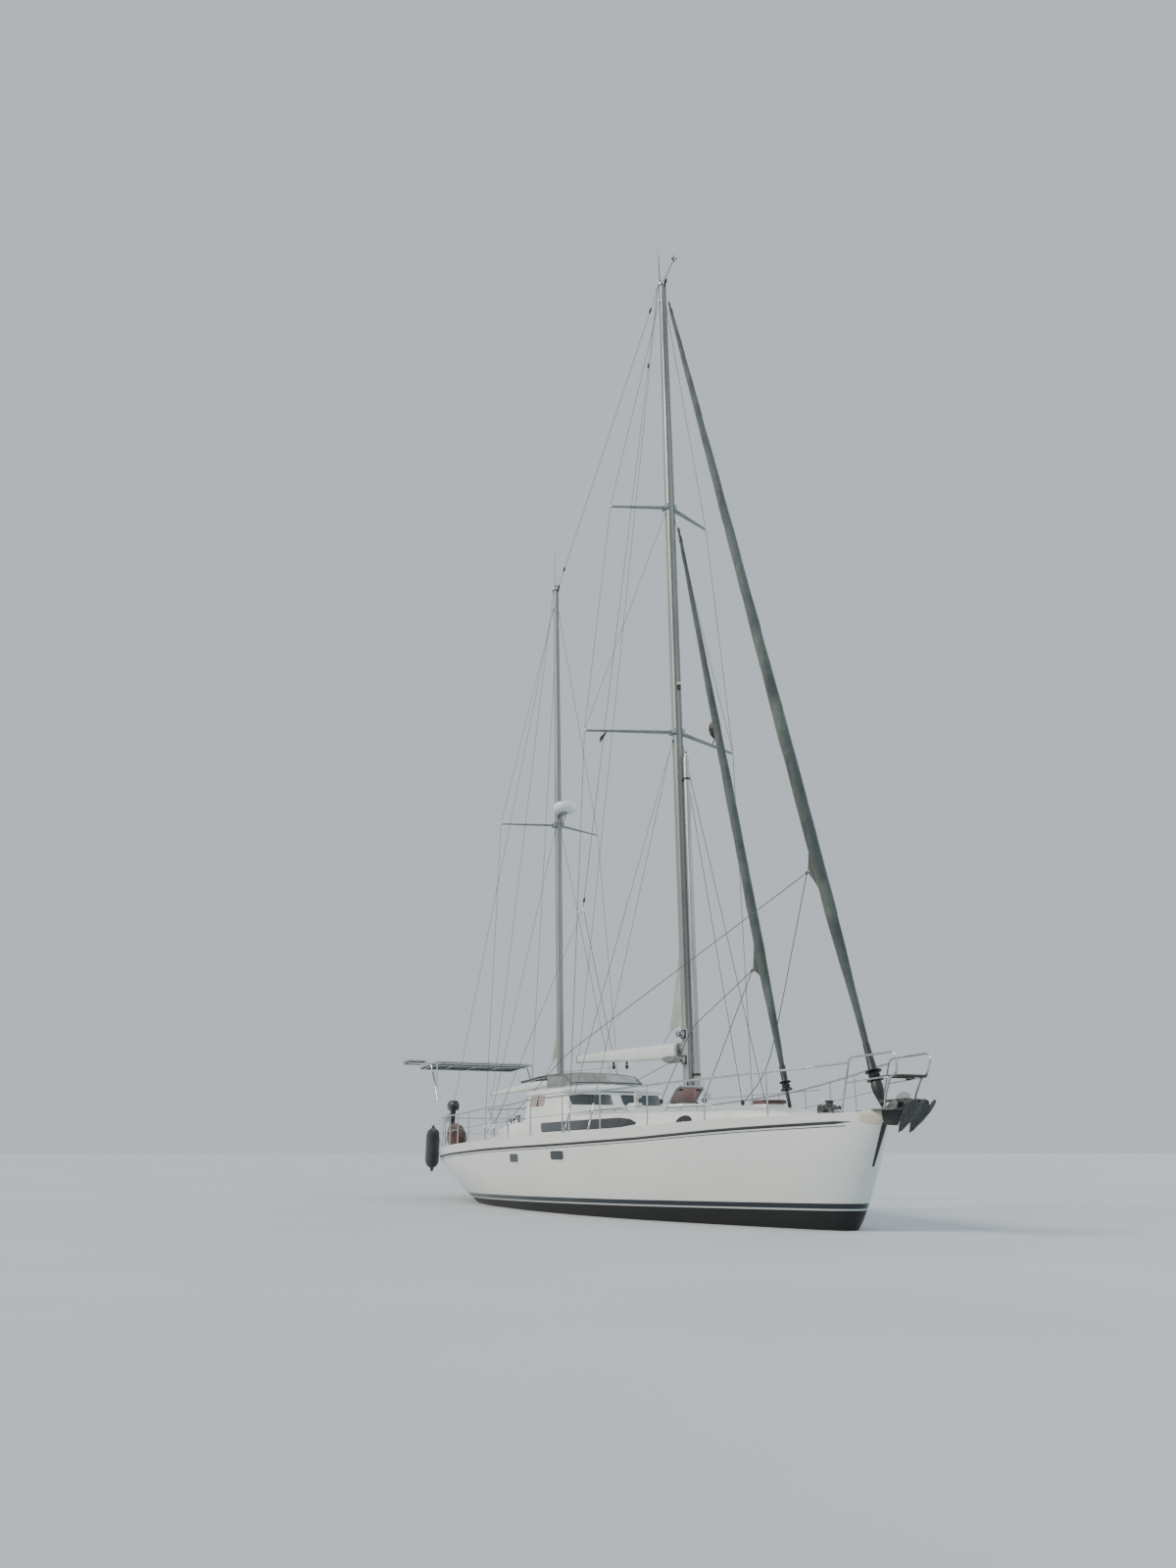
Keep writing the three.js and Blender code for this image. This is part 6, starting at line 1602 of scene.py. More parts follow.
def clew_point(low, high, ring, fold, u, v):
    """A point of a clew: u runs from the spar to the ring, v from the low corner to the high one."""
    start = low.lerp(high, v)
    at = start.lerp(ring, u)
    inward = (low.lerp(high, 0.5) - at) * CLEW_HOLLOW * math.sin(math.pi * u) * (2 * v - 1) ** 2
    ripple = (fold * math.sin(u * math.pi) * math.sin(7 * v + 2 * u) * (0.4 + u)
              + 1.6 * fold * math.sin(math.pi * v) * math.sin(math.pi * u))
    return at + inward + Vector((0, ripple, 0))


def aft_of(mast, x_at, back, z):
    """A point behind a mast, measured back from where it stands at a height."""
    return Vector((mast_x(mast, x_at) - back, 0, z))


CLEWS = (  # name, node, low corner, high corner, ring, fold depth, cloth
    ("genoa", "genoa_roll", on_stay(FORESTAY, 4.52) + Vector((-0.05, 0, 0)),
     on_stay(FORESTAY, 5.82) + Vector((-0.05, 0, 0)), Vector((5.70, 0, 5.12)), 0.012, strip),
    ("staysail", "staysail_roll", on_stay(INNER_STAY, 3.56) + Vector((-0.04, 0, 0)),
     on_stay(INNER_STAY, 4.62) + Vector((-0.04, 0, 0)), Vector((4.05, 0, 3.84)), 0.010, strip),
    ("mainsail", "mainsail_clew", aft_of(MAIN, 3.07, 0.05, 3.07), aft_of(MAIN, 4.9, 0.09, 4.90),
     aft_of(MAIN, 3.07, 0.640, 3.09), 0.014, white_cloth),
    ("mizzen", "mizzen_clew", aft_of(MIZZEN, 2.9, 0.04, 2.90), aft_of(MIZZEN, 4.15, 0.07, 4.15),
     aft_of(MIZZEN, 2.9, 0.42, 2.92), 0.010, white_cloth))
for name, node, low, high, ring, fold, cloth in CLEWS:
    def on_clew(us, vs, out=0.0):
        """Rows of points of this clew, moved to port by a distance."""
        return [[clew_point(low, high, ring, fold, u, v) + Vector((0, out, 0)) for v in vs] for u in us]

    grid = on_clew(np.linspace(0, 0.955, 33), np.linspace(0, 1, 33))
    swaps = [node] if node.endswith("clew") else ()
    panel = piece(f"{name}_clew_cloth", sheet_mesh(grid, CLEW_CLOTH, lambda p: (0, -1, 0)), cloth,
                  stands_for=swaps, sharp=80)
    patch = on_clew(np.linspace(0.62, 0.95, 9), np.linspace(0.02, 0.98, 9), 0.0035)
    patch_piece = piece(f"{name}_clew_patch", sheet_mesh(patch, 0.012, lambda p: (0, -1, 0)), cloth,
                        sharp=80)
    edges = [swept([row[0] for row in on_clew(np.linspace(0, 0.95, 24), [v], -0.002)], 0.005, 6)
             for v in (0.0, 1.0)]
    tape = piece(f"{name}_clew_tape", merged(*edges), cloth)
    ring_piece = piece(f"{name}_clew_ring", loop_about(ring, 0.030, 25, 0.006, 8, "xz"), stainless)
    base = (high - low).length
    depth = (high - low).cross(ring - low).length / base

# %% [markdown]
# ## Furling drums
# At the foot of each stay a drum takes the line that rolls the sail. It has two flanges with the line wound
# between them, a torpedo-shaped toggle cover below and a swivel sleeve above, all turned about the stay.

# %% Furling gear
rope_dark = surface("black_braided_polyester", "#202325", "#303335", 50, (0.78, 0.92), (4, 0.5), (1, 1, 0.4))
rope_white = surface("white_braided_polyester", "#a9aba4", "#c0c1b8", 50, (0.78, 0.92), (4, 0.5), (1, 1, 0.4))
FURLERS = (  # name, stay, drum's foot and top, its radius, toggle cover's radius, heights of swivel and wire
    ("genoa", FORESTAY, 1.96, 2.405, 0.118, 0.084, 18.12, 18.2),
    ("staysail", INNER_STAY, 1.92, 2.225, 0.092, 0.030, 12.56, 12.6))
for word, stay, low, high, radius, foot_r, swivel_z, wire_z in FURLERS:
    lean = (stay[1] - stay[0]).normalized()
    foot, drum = on_stay(stay, stay[0].z + 0.01), on_stay(stay, low)
    rise = (drum - foot).length
    torpedo = turned([(0.010, -0.04), (0.018, 0.0), (0.030, 0.10 * rise), (foot_r * 0.9, 0.55 * rise),
                      (foot_r, 0.80 * rise), (foot_r * 0.8, 0.98 * rise), (0.03, rise + 0.01)], foot, lean)
    flanges = turned([(0.03, 0.0), (radius, 0.004), (radius, 0.014), (radius * 0.55, 0.022),
                      (radius * 0.52, 0.10), (radius * 0.97, 0.118), (radius * 0.97, 0.128),
                      (radius * 0.58, 0.136), (radius * 0.52, 0.16), (0.05, high - low - 0.03),
                      (0.048, high - low + 0.07)], drum, lean, 36)
    piece(f"{word}_drum", merged(torpedo, flanges), nylon, stands_for=[f"{word}_furler"],
          sharp=40)
    spin = Vector((0, 0, 1)).rotation_difference(lean).to_matrix()
    turns = []
    for k in range(16 * 7):
        a, h = 2 * math.pi * k / 16, 0.030 + 0.060 * k / (16 * 7)
        r = radius * (0.60 + 0.05 * math.sin(k * 0.7))
        turns.append(drum + spin @ Vector((r * math.cos(a), r * math.sin(a), h)))
    piece(f"{word}_furling_line", swept(turns, 0.006, 6), rope_dark)
    bolts = []
    for a in (0.0, 1.26, 2.51, 3.77, 5.03):
        out = Vector((radius * 0.8 * math.cos(a), radius * 0.8 * math.sin(a), 0.112))
        at = drum + lean * 0.02 + spin @ out
        bolts.append(turned([(0.006, 0), (0.006, 0.006), (0.001, 0.008)], at, lean, 8))
    link = swept([stay[0] + Vector((0, 0, -0.06)), on_stay(stay, stay[0].z + 0.05)], 0.011, 12)
    swivel = turned([(0.022, 0), (0.036, 0.02), (0.036, 0.16), (0.024, 0.19), (0.020, 0.30), (0.024, 0.31),
                     (0.024, 0.38), (0.012, 0.42)], on_stay(stay, swivel_z), lean)
    wire = swept([on_stay(stay, wire_z), stay[1]], 0.006, 8)
    piece(f"{word}_halyard_swivel", swivel, nylon)
    piece(f"{word}_furler_steel", merged(*bolts, link, wire), stainless)
print("furlers", len(FURLERS))

# %% [markdown]
# ## Sheets and lines
# The sheets are 14 mm braided ropes that lead aft from each clew to the cockpit winches; they are hauled
# tight, so each is a straight run that bends only where a lead turns it.

# %% Headsail sheets
SHEET_R = 0.007


def rope(name, path):
    """A sheet along a path."""
    return piece(name, swept(path, SHEET_R, 8), halyard)


def knot(at):
    """The bulk of a bowline tied close to a ring."""
    size, around = 0.022, np.linspace(0, 2 * math.pi, 15)
    return [swept([Vector(at) + Vector((size * math.cos(a + p), 0.4 * size * math.sin(2 * a),
                                        size * math.sin(a + p))) for a in around], SHEET_R, 6)
            for p in (0.0, 0.9)]


genoa_ring, staysail_ring = Vector((5.67, 0, 5.12)), Vector((4.02, 0, 3.84))
rope("genoa_sheet_starboard", arc_path([genoa_ring, (-1.40, -0.90, 2.86), (-3.74, -1.15, 1.69)], 0.5))
rope("genoa_sheet_port",
     arc_path([genoa_ring, (4.63, 0.10, 3.14), (4.08, 0.15, 2.21), (3.10, 0.30, 1.79)], 0.5))
rope("staysail_sheet_starboard", arc_path([staysail_ring, (2.28, -0.16, 3.07), (1.40, -0.30, 1.90)], 0.2))
rope("staysail_sheet_port", [staysail_ring, (2.36, 0.0, 1.89)])
knots = [*knot((5.665, 0, 5.115)), *knot((4.015, 0, 3.835))]
piece("sheet_knots", merged(*knots), halyard)


def deck_block(at, aim, size=0.045):
    """A ball-bearing block: two cheeks, a sheave and an eye, facing along aim."""
    at, aim = Vector(at), Vector(aim).normalized()
    cheek = [(size * 0.5, -0.002), (size, 0.0), (size, 0.004), (size * 0.5, 0.006)]
    groove = [(size * 0.85, -0.010), (size * 0.70, -0.004), (size * 0.70, 0.004), (size * 0.85, 0.010)]
    cheeks = [turned(cheek, at + aim * o, aim, 20) for o in (-0.016, 0.012)]
    return merged(*cheeks, turned(groove, at, aim, 20))


blocks = [deck_block((3.10, 0.30, 1.80), (0.2, 1, 0)), deck_block((1.38, -0.30, 1.87), (0, 1, 0)),
          deck_block((2.36, 0.0, 1.86), (0, 1, 0)), deck_block((-3.50, -1.15, 1.66), (0, 1, 0), 0.03)]
feet = [turned([(0.030, 0), (0.030, 0.008), (0.012, 0.014), (0.012, 0.04)], (x, y, roof_height(x, y) - 0.004))
        for x, y in ((3.10, 0.30), (1.38, -0.30), (2.36, 0.0))]
piece("turning_blocks", merged(*blocks), nylon)
piece("block_feet", merged(*feet), stainless)
print("sheets", 4)


# %% [markdown]
# Lines that cross a joint: the outhauls, lifts and mainsheet hold on to a boom at one end and to
# a mast or the shelter at the other. Each is made as one object in place.

# %% Lines to the booms
def between_bodies(name, paths, radius, material):
    """Lines from the boat to a boom, made as one object in place."""
    made = bare(name, merged(*[swept(path, radius, 8) for path in paths]), material)
    tidy(made)
    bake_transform(made)


def straight(a, b, steps=24):
    """Evenly spaced points from a to b."""
    return [Vector(a).lerp(Vector(b), k / steps) for k in range(steps + 1)]


lift_top = Vector((HEAD_X - 0.20, 0, 19.17))
lift_end = MAIN_GOOSENECK + Vector((-4.42, 0, 0.225))
between_bodies("main_lift", [straight(lift_top, lift_end, 40)], 0.005, halyard)
mizzen_end = MIZZEN_GOOSENECK + MIZZEN_TURN @ Vector((-3.21, 0, -0.085))
mizzen_top = Vector((MIZZEN_HEAD_X - 0.17, 0, 14.44))
lift_block = Vector((-6.88, -0.26, 3.45))
mizzen_path = [*straight(mizzen_top, lift_block, 36), *straight(lift_block, mizzen_end, 8)[1:]]
between_bodies("mizzen_lift", [mizzen_path], 0.005, halyard)
for word, boom, start, end in (
        ("mainsail", "main_boom", (mast_x(MAIN, 3.07) - 0.66, 0, 3.07), (0.96, 0, 2.905)),
        ("mizzen", "mizzen_boom", (mast_x(MIZZEN, 2.9) - 0.44, 0, 2.90), (-4.55, -0.062, 2.545))):
    between_bodies(f"{word}_outhaul", [straight(start, end, 8)], 0.005, halyard)

boom_at = {x: MAIN_GOOSENECK + Vector((x, 0, along_table(MAIN_BOOM, x, 1) - along_table(MAIN_BOOM, x, 2) / 2))
           for x in (-2.78, -2.20)}
hangers = []
for x, under in boom_at.items():
    hangers += [block((0.07, 0.014, 0.07), under + Vector((0, 0, -0.02))),
                deck_block(under + Vector((0, 0, -0.10)), (0, 1, 0), 0.040),
                swept([under + Vector((0, 0, -0.03)), under + Vector((0, 0, -0.075))], 0.007, 8)]
piece("boom_blocks", merged(*hangers), nylon, "main_boom", edge_mm=1)
tackle = [straight(foot, boom_at[x] + Vector((0, 0, -0.135)), 10)
          for foot, x in (((-1.30, -0.10, 2.345), -2.78), ((-1.30, 0.02, 2.345), -2.20))]
between_bodies("mainsheet", tackle, 0.006, rope_white)
aft_line = straight((mast_x(MIZZEN, 2.66) + 0.10, 0, 2.66), boom_at[-2.78] + Vector((-0.03, 0, -0.10)), 30)
between_bodies("boom_aft_line", [aft_line], 0.004, halyard)
fore_line = straight((-1.36, 0.62, 2.38), MAIN_GOOSENECK + Vector((-0.20, 0.03, -0.13)), 30)
between_bodies("boom_fore_line", [fore_line], 0.006, halyard)

# %% [markdown]
# Under the fore end of the main boom hangs the bulk of its kicker, wrapped in a canvas boot whose lower side
# sags between two lashings.

# %% Kicker boot
BOOT_ROWS = (  # x, middle height, depth, width
    (-0.06, -0.05, 0.11, 0.11), (-0.20, -0.11, 0.17, 0.145), (-0.42, -0.115, 0.20, 0.155),
    (-0.60, -0.092, 0.19, 0.150), (-0.80, -0.02, 0.12, 0.115))
boot_rings = []
for x in np.linspace(-0.06, -0.80, 40).tolist():
    middle, depth, width = row_at(BOOT_ROWS, x)
    pinch = 0.06 * (math.exp(-((x + 0.22) / 0.02) ** 2) + math.exp(-((x + 0.62) / 0.02) ** 2))
    ring = []
    for k, (y, z) in enumerate(superellipse(width * (1 - pinch), depth * (1 - pinch), 2.4, 32)):
        crease = 0.0035 * math.sin(23 * x + 0.8 * k) + 0.002 * math.sin(51 * x - 1.3 * k)
        ring.append(MAIN_GOOSENECK + Vector((x, y * (1 + crease * 8), middle + z * (1 + crease * 8))))
    boot_rings.append(ring)
kicker = piece("kicker_boot", skinned(boot_rings), grey_canvas, "main_boom", sharp=60)
lashings = []
for x in (-0.22, -0.62):
    middle, depth, width = row_at(BOOT_ROWS, x)
    lashings.append(swept([
        MAIN_GOOSENECK + Vector((x, 0.5 * width * math.cos(a), middle + 0.5 * depth * math.sin(a)))
        for a in np.linspace(0, 2 * math.pi, 25)], 0.005, 6))
piece("kicker_lashings", merged(*lashings), rope_white, "main_boom")

# %% [markdown]
# A small courtesy flag, torn by the wind, still hangs by its upper corner under the starboard lower spreader.
# It is a scrap of thin cloth that twists as it hangs, so it is drawn as a narrow sheet with a turn in it.

# %% Torn flag
flag_cloth = canvas("faded_flag_cloth", "#23272b", "#343a3e", rib_mm=3.0, patch_mm=60)
halfway = Vector((mast_x(MAIN, 8.69), 0, 8.69)).lerp(spreader_tip(MAIN, 8.69, 1.62, 22.0, -1), 0.78)
flag_grid = []
for u in np.linspace(0, 1, 14):
    fall = halfway + Vector((-0.05 * u, -0.10 * u - 0.03 * math.sin(3 * u), -0.03 - 0.24 * u))
    turn, half = 0.4 + 2.4 * u, 0.020 + 0.022 * math.sin(math.pi * min(u * 1.2, 1.0))
    aside = Vector((math.cos(turn), math.sin(turn), 0.25 * math.sin(4 * u)))
    flag_grid.append([fall + aside * half * s for s in np.linspace(-1, 1, 7)])
flag = piece("torn_flag", sheet_mesh(flag_grid, 0.002, lambda p: (0, 0, -1)), flag_cloth,
             sharp=80)
piece("flag_halyard", swept([halfway, halfway + Vector((0, 0, -0.04))], 0.003, 6), halyard)

# %% [markdown]
# ## Standing rigging
# The stays are 1x19 stainless wire of 10 and 12 mm, swaged into terminals. Each shroud ends in a bottlescrew
# on a chainplate at the deck edge, runs over a spreader tip where a boot covers it, and meets a tang on the
# mast.
# A wire's nineteen strands are too fine to show, so its relief is drawn as a slanting lay of 8 mm.

# %% Wire and bottlescrews
# The wire's dark grey colour is a painted reflection of a dark sky in its bright stainless steel.
wire_steel_painted_reflection, tree, shader = finish_of("stranded_stainless_wire", metallic=1.0)
feed(tree, shader, base_color=shade(tree, speckle(tree, 300, (1, 1, 0.2)), "#50565a", "#6b7175"),
     roughness=shade(tree, speckle(tree, 40), 0.35, 0.5))
LAY_MM = 8
lay = add(tree, "TexWave", {"Vector": here(tree), "Scale": 1000 / LAY_MM / 6.2832, "Distortion": 0.0},
          bands_direction="DIAGONAL").outputs["Fac"]
relief(tree, shader, lay, 0.8)


def bottlescrew(a, b):
    """A fork, an open-bodied bottlescrew and a swaged terminal from the point a towards b."""
    a, b = Vector(a), Vector(b)
    on = (b - a).normalized()

    def at(reach):
        """The point at a distance from a towards b."""
        return a + on * reach

    body = swept([at(r) for r in (0.0, 0.05, 0.06, 0.11, 0.12, 0.27, 0.28, 0.33, 0.34, 0.44, 0.46)],
                 [0.010, 0.010, 0.016, 0.016, 0.0125, 0.0125, 0.016, 0.016, 0.010, 0.010, 0.006], 12)
    pin = swept([a + Vector((0, -0.022, 0)), a + Vector((0, 0.022, 0))], 0.007, 8)
    fork = [swept([a + Vector((0, y, 0)), at(0.05) + Vector((0, y * 0.7, 0))], 0.006, 8)
            for y in (-0.014, 0.014)]
    return merged(body, pin, *fork)


def straight_wire(a, b, radius):
    """A wire from a to b."""
    return swept([a, b], radius, 8)


def spreader_end(which, side):
    """Where a wire passes over the tip of a spreader."""
    return spreader_tip(*SPREADERS[which][1:5], side, 0.030)


def backstay_foot(side):
    """Where a leg of the split backstay ends above the deck."""
    return Vector((-3.70, side * 1.66, deck_height(-3.70, 1.66) + 0.03))


SPLIT = Vector((-2.59, 0, 6.03))
CHAINPLATES = ((0.94, 1.88), (0.714, 1.88), (1.616, 1.83))
for side, word in SIDES:
    chain = [Vector((x, side * y, deck_height(x, y) + 0.06)) for x, y in CHAINPLATES]
    low_tip, high_tip = spreader_end(0, side), spreader_end(1, side)
    head, mid, low_aft, low_fore = (mast_point(MAIN, side * math.pi / 2, z, 0.006)
                                    for z in (CAP_TANG, MID_TANG, 8.54, 8.57))
    wires = [swept([chain[0], low_tip, high_tip, head], 0.006, 8), straight_wire(low_tip, mid, 0.005),
             straight_wire(chain[1], low_aft, 0.006), straight_wire(chain[2], low_fore, 0.006)]
    piece(f"main_wires_{word}", merged(*wires), wire_steel_painted_reflection, stands_for=[f"main_shrouds_{word}"])
    screws = [bottlescrew(chain[0], low_tip), bottlescrew(chain[1], low_aft), bottlescrew(chain[2], low_fore)]
    plates = [block((0.050, 0.010, 0.17), c + Vector((0, 0, -0.065))) for c in chain]
    plates += [block((0.09, 0.05, 0.008), c + Vector((0, 0, -0.058))) for c in chain]
    foot = Vector((-3.98, side * 1.63, deck_height(-3.98, 1.63) + 0.03))
    quarter = Vector((-8.24, side * 1.095, deck_height(-8.24, 1.095) + 0.02))
    tip = spreader_end(2, side)
    high, low = (mast_point(MIZZEN, side * math.pi / 2, z, 0.006) for z in (MIZZEN_CAP_TANG, MIZZEN_LOW_TANG))
    low_foot = foot + Vector((0.05, 0, 0))
    mizzen_wires = [swept([foot, tip, high], 0.005, 8), straight_wire(low_foot, low, 0.005),
                    straight_wire(quarter, high + Vector((-0.05, 0, 0)), 0.005)]
    piece(f"mizzen_wires_{word}", merged(*mizzen_wires), wire_steel_painted_reflection, stands_for=[f"mizzen_shrouds_{word}"])
    screws += [bottlescrew(foot, tip), bottlescrew(low_foot, low), bottlescrew(quarter, high)]
    plates += [block((0.16, 0.010, 0.13), foot + Vector((0.02, 0, -0.05))),
               block((0.07, 0.010, 0.12), quarter + Vector((0, 0, -0.05))),
               block((0.20, 0.05, 0.008), foot + Vector((0.02, 0, -0.028)))]
    leg = backstay_foot(side)
    screws.append(bottlescrew(leg, SPLIT))
    plates.append(block((0.07, 0.010, 0.12), leg + Vector((0, 0, -0.05))))
    piece(f"bottlescrews_{word}", merged(*screws), stainless)
    piece(f"chainplates_{word}", merged(*plates), stainless, edge_mm=2)
print("chainplates", [tuple(round(v, 2) for v in c) for c in chain])

# %% Backstay and triatic stay
legs = [straight_wire(SPLIT + Vector((0, side * 0.02, -0.03)), backstay_foot(side), 0.006)
        for side in (1, -1)]
backstay_head = Vector((HEAD_X - 0.225, 0, 19.13))
upper = straight_wire(backstay_head, SPLIT + Vector((0, 0, 0.03)), 0.006)
piece("backstay_wires", merged(upper, *legs), wire_steel_painted_reflection, stands_for=["main_backstay"])
triangle = skinned([[SPLIT + Vector((t, y, z)) for y, z in ((0, 0.06), (-0.045, -0.04), (0.045, -0.04))]
                    for t in (-0.006, 0.006)])
piece("backstay_plate", triangle, stainless, edge_mm=2)
a, b = Vector((HEAD_X - 0.236, 0, 19.2)), Vector((MIZZEN_HEAD_X + 0.195, 0, 14.46))
piece("triatic_wire", straight_wire(a, b, 0.005), wire_steel_painted_reflection, stands_for=["triatic_stay"])
insulators = [turned([(0.008, -0.07), (0.016, -0.05), (0.026, -0.02), (0.020, 0.0), (0.026, 0.02),
                      (0.016, 0.05), (0.008, 0.07)], a.lerp(b, share), (b - a).normalized())
              for share in (0.06, 0.94)]
piece("stay_insulators", merged(*insulators), nylon)
backing = [turned([(0.008, -0.06), (0.020, -0.04), (0.024, 0.0), (0.020, 0.04), (0.008, 0.06)],
                  backstay_head.lerp(SPLIT, share), (SPLIT - Vector((HEAD_X, 0, 19.13))).normalized())
           for share in (0.12, 0.985)]
piece("backstay_insulators", merged(*backing), nylon)
print("triatic length", round((b - a).length, 2))

# %% [markdown]
# ## Guard rails
# This yacht has a solid top rail of 32 mm tube from the pulpit to the quarter, on stanchions that stand in
# bolted bases, with one wire at half height between them. A fabricator cuts, bends and welds it from tube.

# %% Guard rails
RAIL_TOP = ((-5.0997, 1.795), (-4.06, 1.815), (-2.76, 1.855), (-1.56, 1.875), (-0.71, 1.918), (0.67, 1.958),
            (2.00, 1.996), (2.83, 2.025), (3.97, 2.071), (5.12, 2.114), (5.80, 2.143), (6.36, 2.171))
STANCHION_XS = (-5.07, -4.05, -2.80, -1.53, -0.44, 0.78, 1.97, 3.16, 4.35, 5.49)


def rail_y(x):
    """How far the guard rail stands off the centreline."""
    return rail_half(x) - 0.07


def stanchion(x, y, top):
    """A stanchion with its base cup and pad, as tubes; the pad lies on the deck edge."""
    low = deck_height(x, y)
    return merged(swept([(x, y, low), (x, y, top)], 0.0125, 12),
                  turned([(0.022, 0.0), (0.022, 0.055), (0.016, 0.062)], (x, y, low + 0.008)),
                  block((0.085, 0.06, 0.010), (x, y, low + 0.005)))


for side, word in SIDES:
    xs = np.linspace(RAIL_TOP[0][0], RAIL_TOP[-1][0], 90).tolist()
    top = [(x, side * rail_y(x), along_table(RAIL_TOP, x, 1)) for x in xs]
    top.append((6.852, side * 0.338, 2.192))
    middle = [(x, side * rail_y(x), (along_table(RAIL_TOP, x, 1) + rail_height(x)) / 2)
              for x in (*STANCHION_XS, RAIL_TOP[-1][0])]
    posts = [stanchion(x, side * rail_y(x), along_table(RAIL_TOP, x, 1)) for x in STANCHION_XS]
    piece(f"rail_tube_{word}", merged(swept(top, 0.016, 14), *posts), stainless, edge_mm=1,
          stands_for=[f"guard_rail_{word}"])
    piece(f"rail_wire_{word}", swept(middle, 0.004, 8), wire_steel_painted_reflection)
print("stanchions", 2 * len(STANCHION_XS))

# %% [markdown]
# ## Pulpit
# Each side of the pulpit is a hoop of the same tube. Between the fore ends lies a seat of weathered teak
# slats, with the bow light under it.

# %% Pulpit, seat and light
PULPIT = ((6.600, 0.333, 1.450), (6.874, 0.343, 2.256), (7.730, 0.292, 2.275), (7.795, 0.284, 2.215),
          (7.742, 0.253, 2.009), (7.611, 0.260, 1.968), (7.471, 0.246, 1.734), (7.432, 0.246, 1.580))
PULPIT_MIDDLE = ((6.760, 0.338, 1.925), (7.480, 0.300, 1.965), (7.600, 0.258, 1.960))
BASE_PLATE = [(0.030, 0.0), (0.030, 0.008), (0.018, 0.014)]
pulpit_tubes = []
for side in (1, -1):
    pulpit_tubes += [swept(arc_path([(x, side * y, z) for x, y, z in PULPIT], 0.09, 8), 0.0145, 14),
                     swept(arc_path([(x, side * y, z) for x, y, z in PULPIT_MIDDLE], 0.05), 0.010, 12),
                     turned(BASE_PLATE, (7.432, side * 0.246, 1.585)),
                     turned(BASE_PLATE, (6.603, side * 0.333, deck_height(6.6, 0.333)))]
piece("pulpit_tubes", merged(*pulpit_tubes), stainless, stands_for=["pulpit"])
seat_board = surface("weathered_grey_teak", "#4c4a45", "#625e56", 40, (0.7, 0.85), (3, 0.4), (0.15, 1, 1))
slats = []
for k in range(7):
    y0, y1 = -0.26 + k * 0.0745, -0.26 + k * 0.0745 + 0.066
    nose = 7.79 - 0.07 * max(abs((y0 + y1) / 2) - 0.14, 0) / 0.12
    slats.append(block((nose - 7.40, y1 - y0, 0.018), ((nose + 7.40) / 2, (y0 + y1) / 2, 1.985)))
slats += [block((0.045, 0.50, 0.016), (x, 0, 1.968)) for x in (7.46, 7.70)]
piece("pulpit_seat", merged(*slats), seat_board, edge_mm=3)
lamp = merged(turned([(0.034, 0), (0.038, 0.008), (0.038, 0.016), (0.030, 0.022)], (7.66, 0, 1.925)),
              turned([(0.034, 0), (0.038, 0.006), (0.010, 0.016), (0.010, 0.03)], (7.66, 0, 1.953)))
piece("bow_lamp_case", lamp, nylon)
piece("bow_lamp_lens", turned([(0.030, 0.0), (0.031, 0.01), (0.030, 0.024)], (7.66, 0, 1.930)), milky_lens)
print("pulpit corners", len(PULPIT))

# %% [markdown]
# ## Stemhead and anchors
# A welded stainless stemhead carries a double roller. Two plough anchors are stowed on it, hauled hard up so
# their flukes lie against the stem: galvanised castings, worn and stained, each with a shank, a hinge and two
# curved blades that meet at a blunt point.

# %% Stemhead
galvanised = surface("weathered_galvanising", "#3f4241", "#5b5e5c", 35, (0.5, 0.72), (4, 0.3), metallic=0.55)
BOW_PLATE = ((6.95, -0.09), (7.25, -0.265), (7.48, -0.265), (7.56, -0.20), (7.56, 0.20), (7.48, 0.265),
             (7.25, 0.265), (6.95, 0.09))
bow_plate = skinned([[(x, y, z) for x, y in BOW_PLATE] for z in (1.558, 1.570)])


def upright_plate(outline, half, y=0.0):
    """A plate from an outline of x and z, a half thickness each side of y."""
    return skinned([[(x, y + t, z) for x, z in outline] for t in (-half, half)])


gusset = upright_plate(((7.08, 1.56), (7.16, 1.374), (7.31, 1.364), (7.48, 1.56)), 0.052)
half_disc = upright_plate([(7.53 + 0.214 * math.cos(a), 1.572 + 0.214 * math.sin(a))
                           for a in np.linspace(0, math.pi, 19)], 0.005)
CHEEK = ((6.95, 1.562), (7.56, 1.562), (7.62, 1.600), (7.64, 1.640), (7.62, 1.672), (7.56, 1.682),
         (7.38, 1.588), (6.95, 1.584))
cheeks = [upright_plate([(max(x, start), z) for x, z in CHEEK], 0.005, y)
          for y, start in ((-0.082, 6.95), (0.082, 6.95), (-0.195, 7.32), (0.195, 7.32))]
axle = swept([(7.54, -0.21, 1.625), (7.54, 0.21, 1.625)], 0.010, 12)
# The stemhead's plates get a darker, duller steel than the rails: painted shade, for the shadow the plates
# stand in.
stemhead_steel_painted_shade = surface("stainless_plate_painted_shade", "#6d7071", "#8a8d8d", 60, (0.42, 0.62), (6, 0.2), metallic=0.8)
piece("stemhead_plates", merged(bow_plate, *cheeks, axle), stemhead_steel_painted_shade, edge_mm=2,
      stands_for=["stem_fitting"])
# The gusset is drawn in black nylon as painted shade: the dark gap between the capping and the anchors.
piece("stemhead_gusset", gusset, nylon, edge_mm=3)
piece("stemhead_disc", half_disc, stainless, edge_mm=2)
rollers = [turned([(0.034, -0.045), (0.034, -0.03), (0.024, -0.010), (0.024, 0.010), (0.034, 0.03),
                   (0.034, 0.045)], (7.54, y, 1.625), (0, 1, 0)) for y in (-0.14, 0.14)]
piece("anchor_rollers", merged(*rollers), nylon)


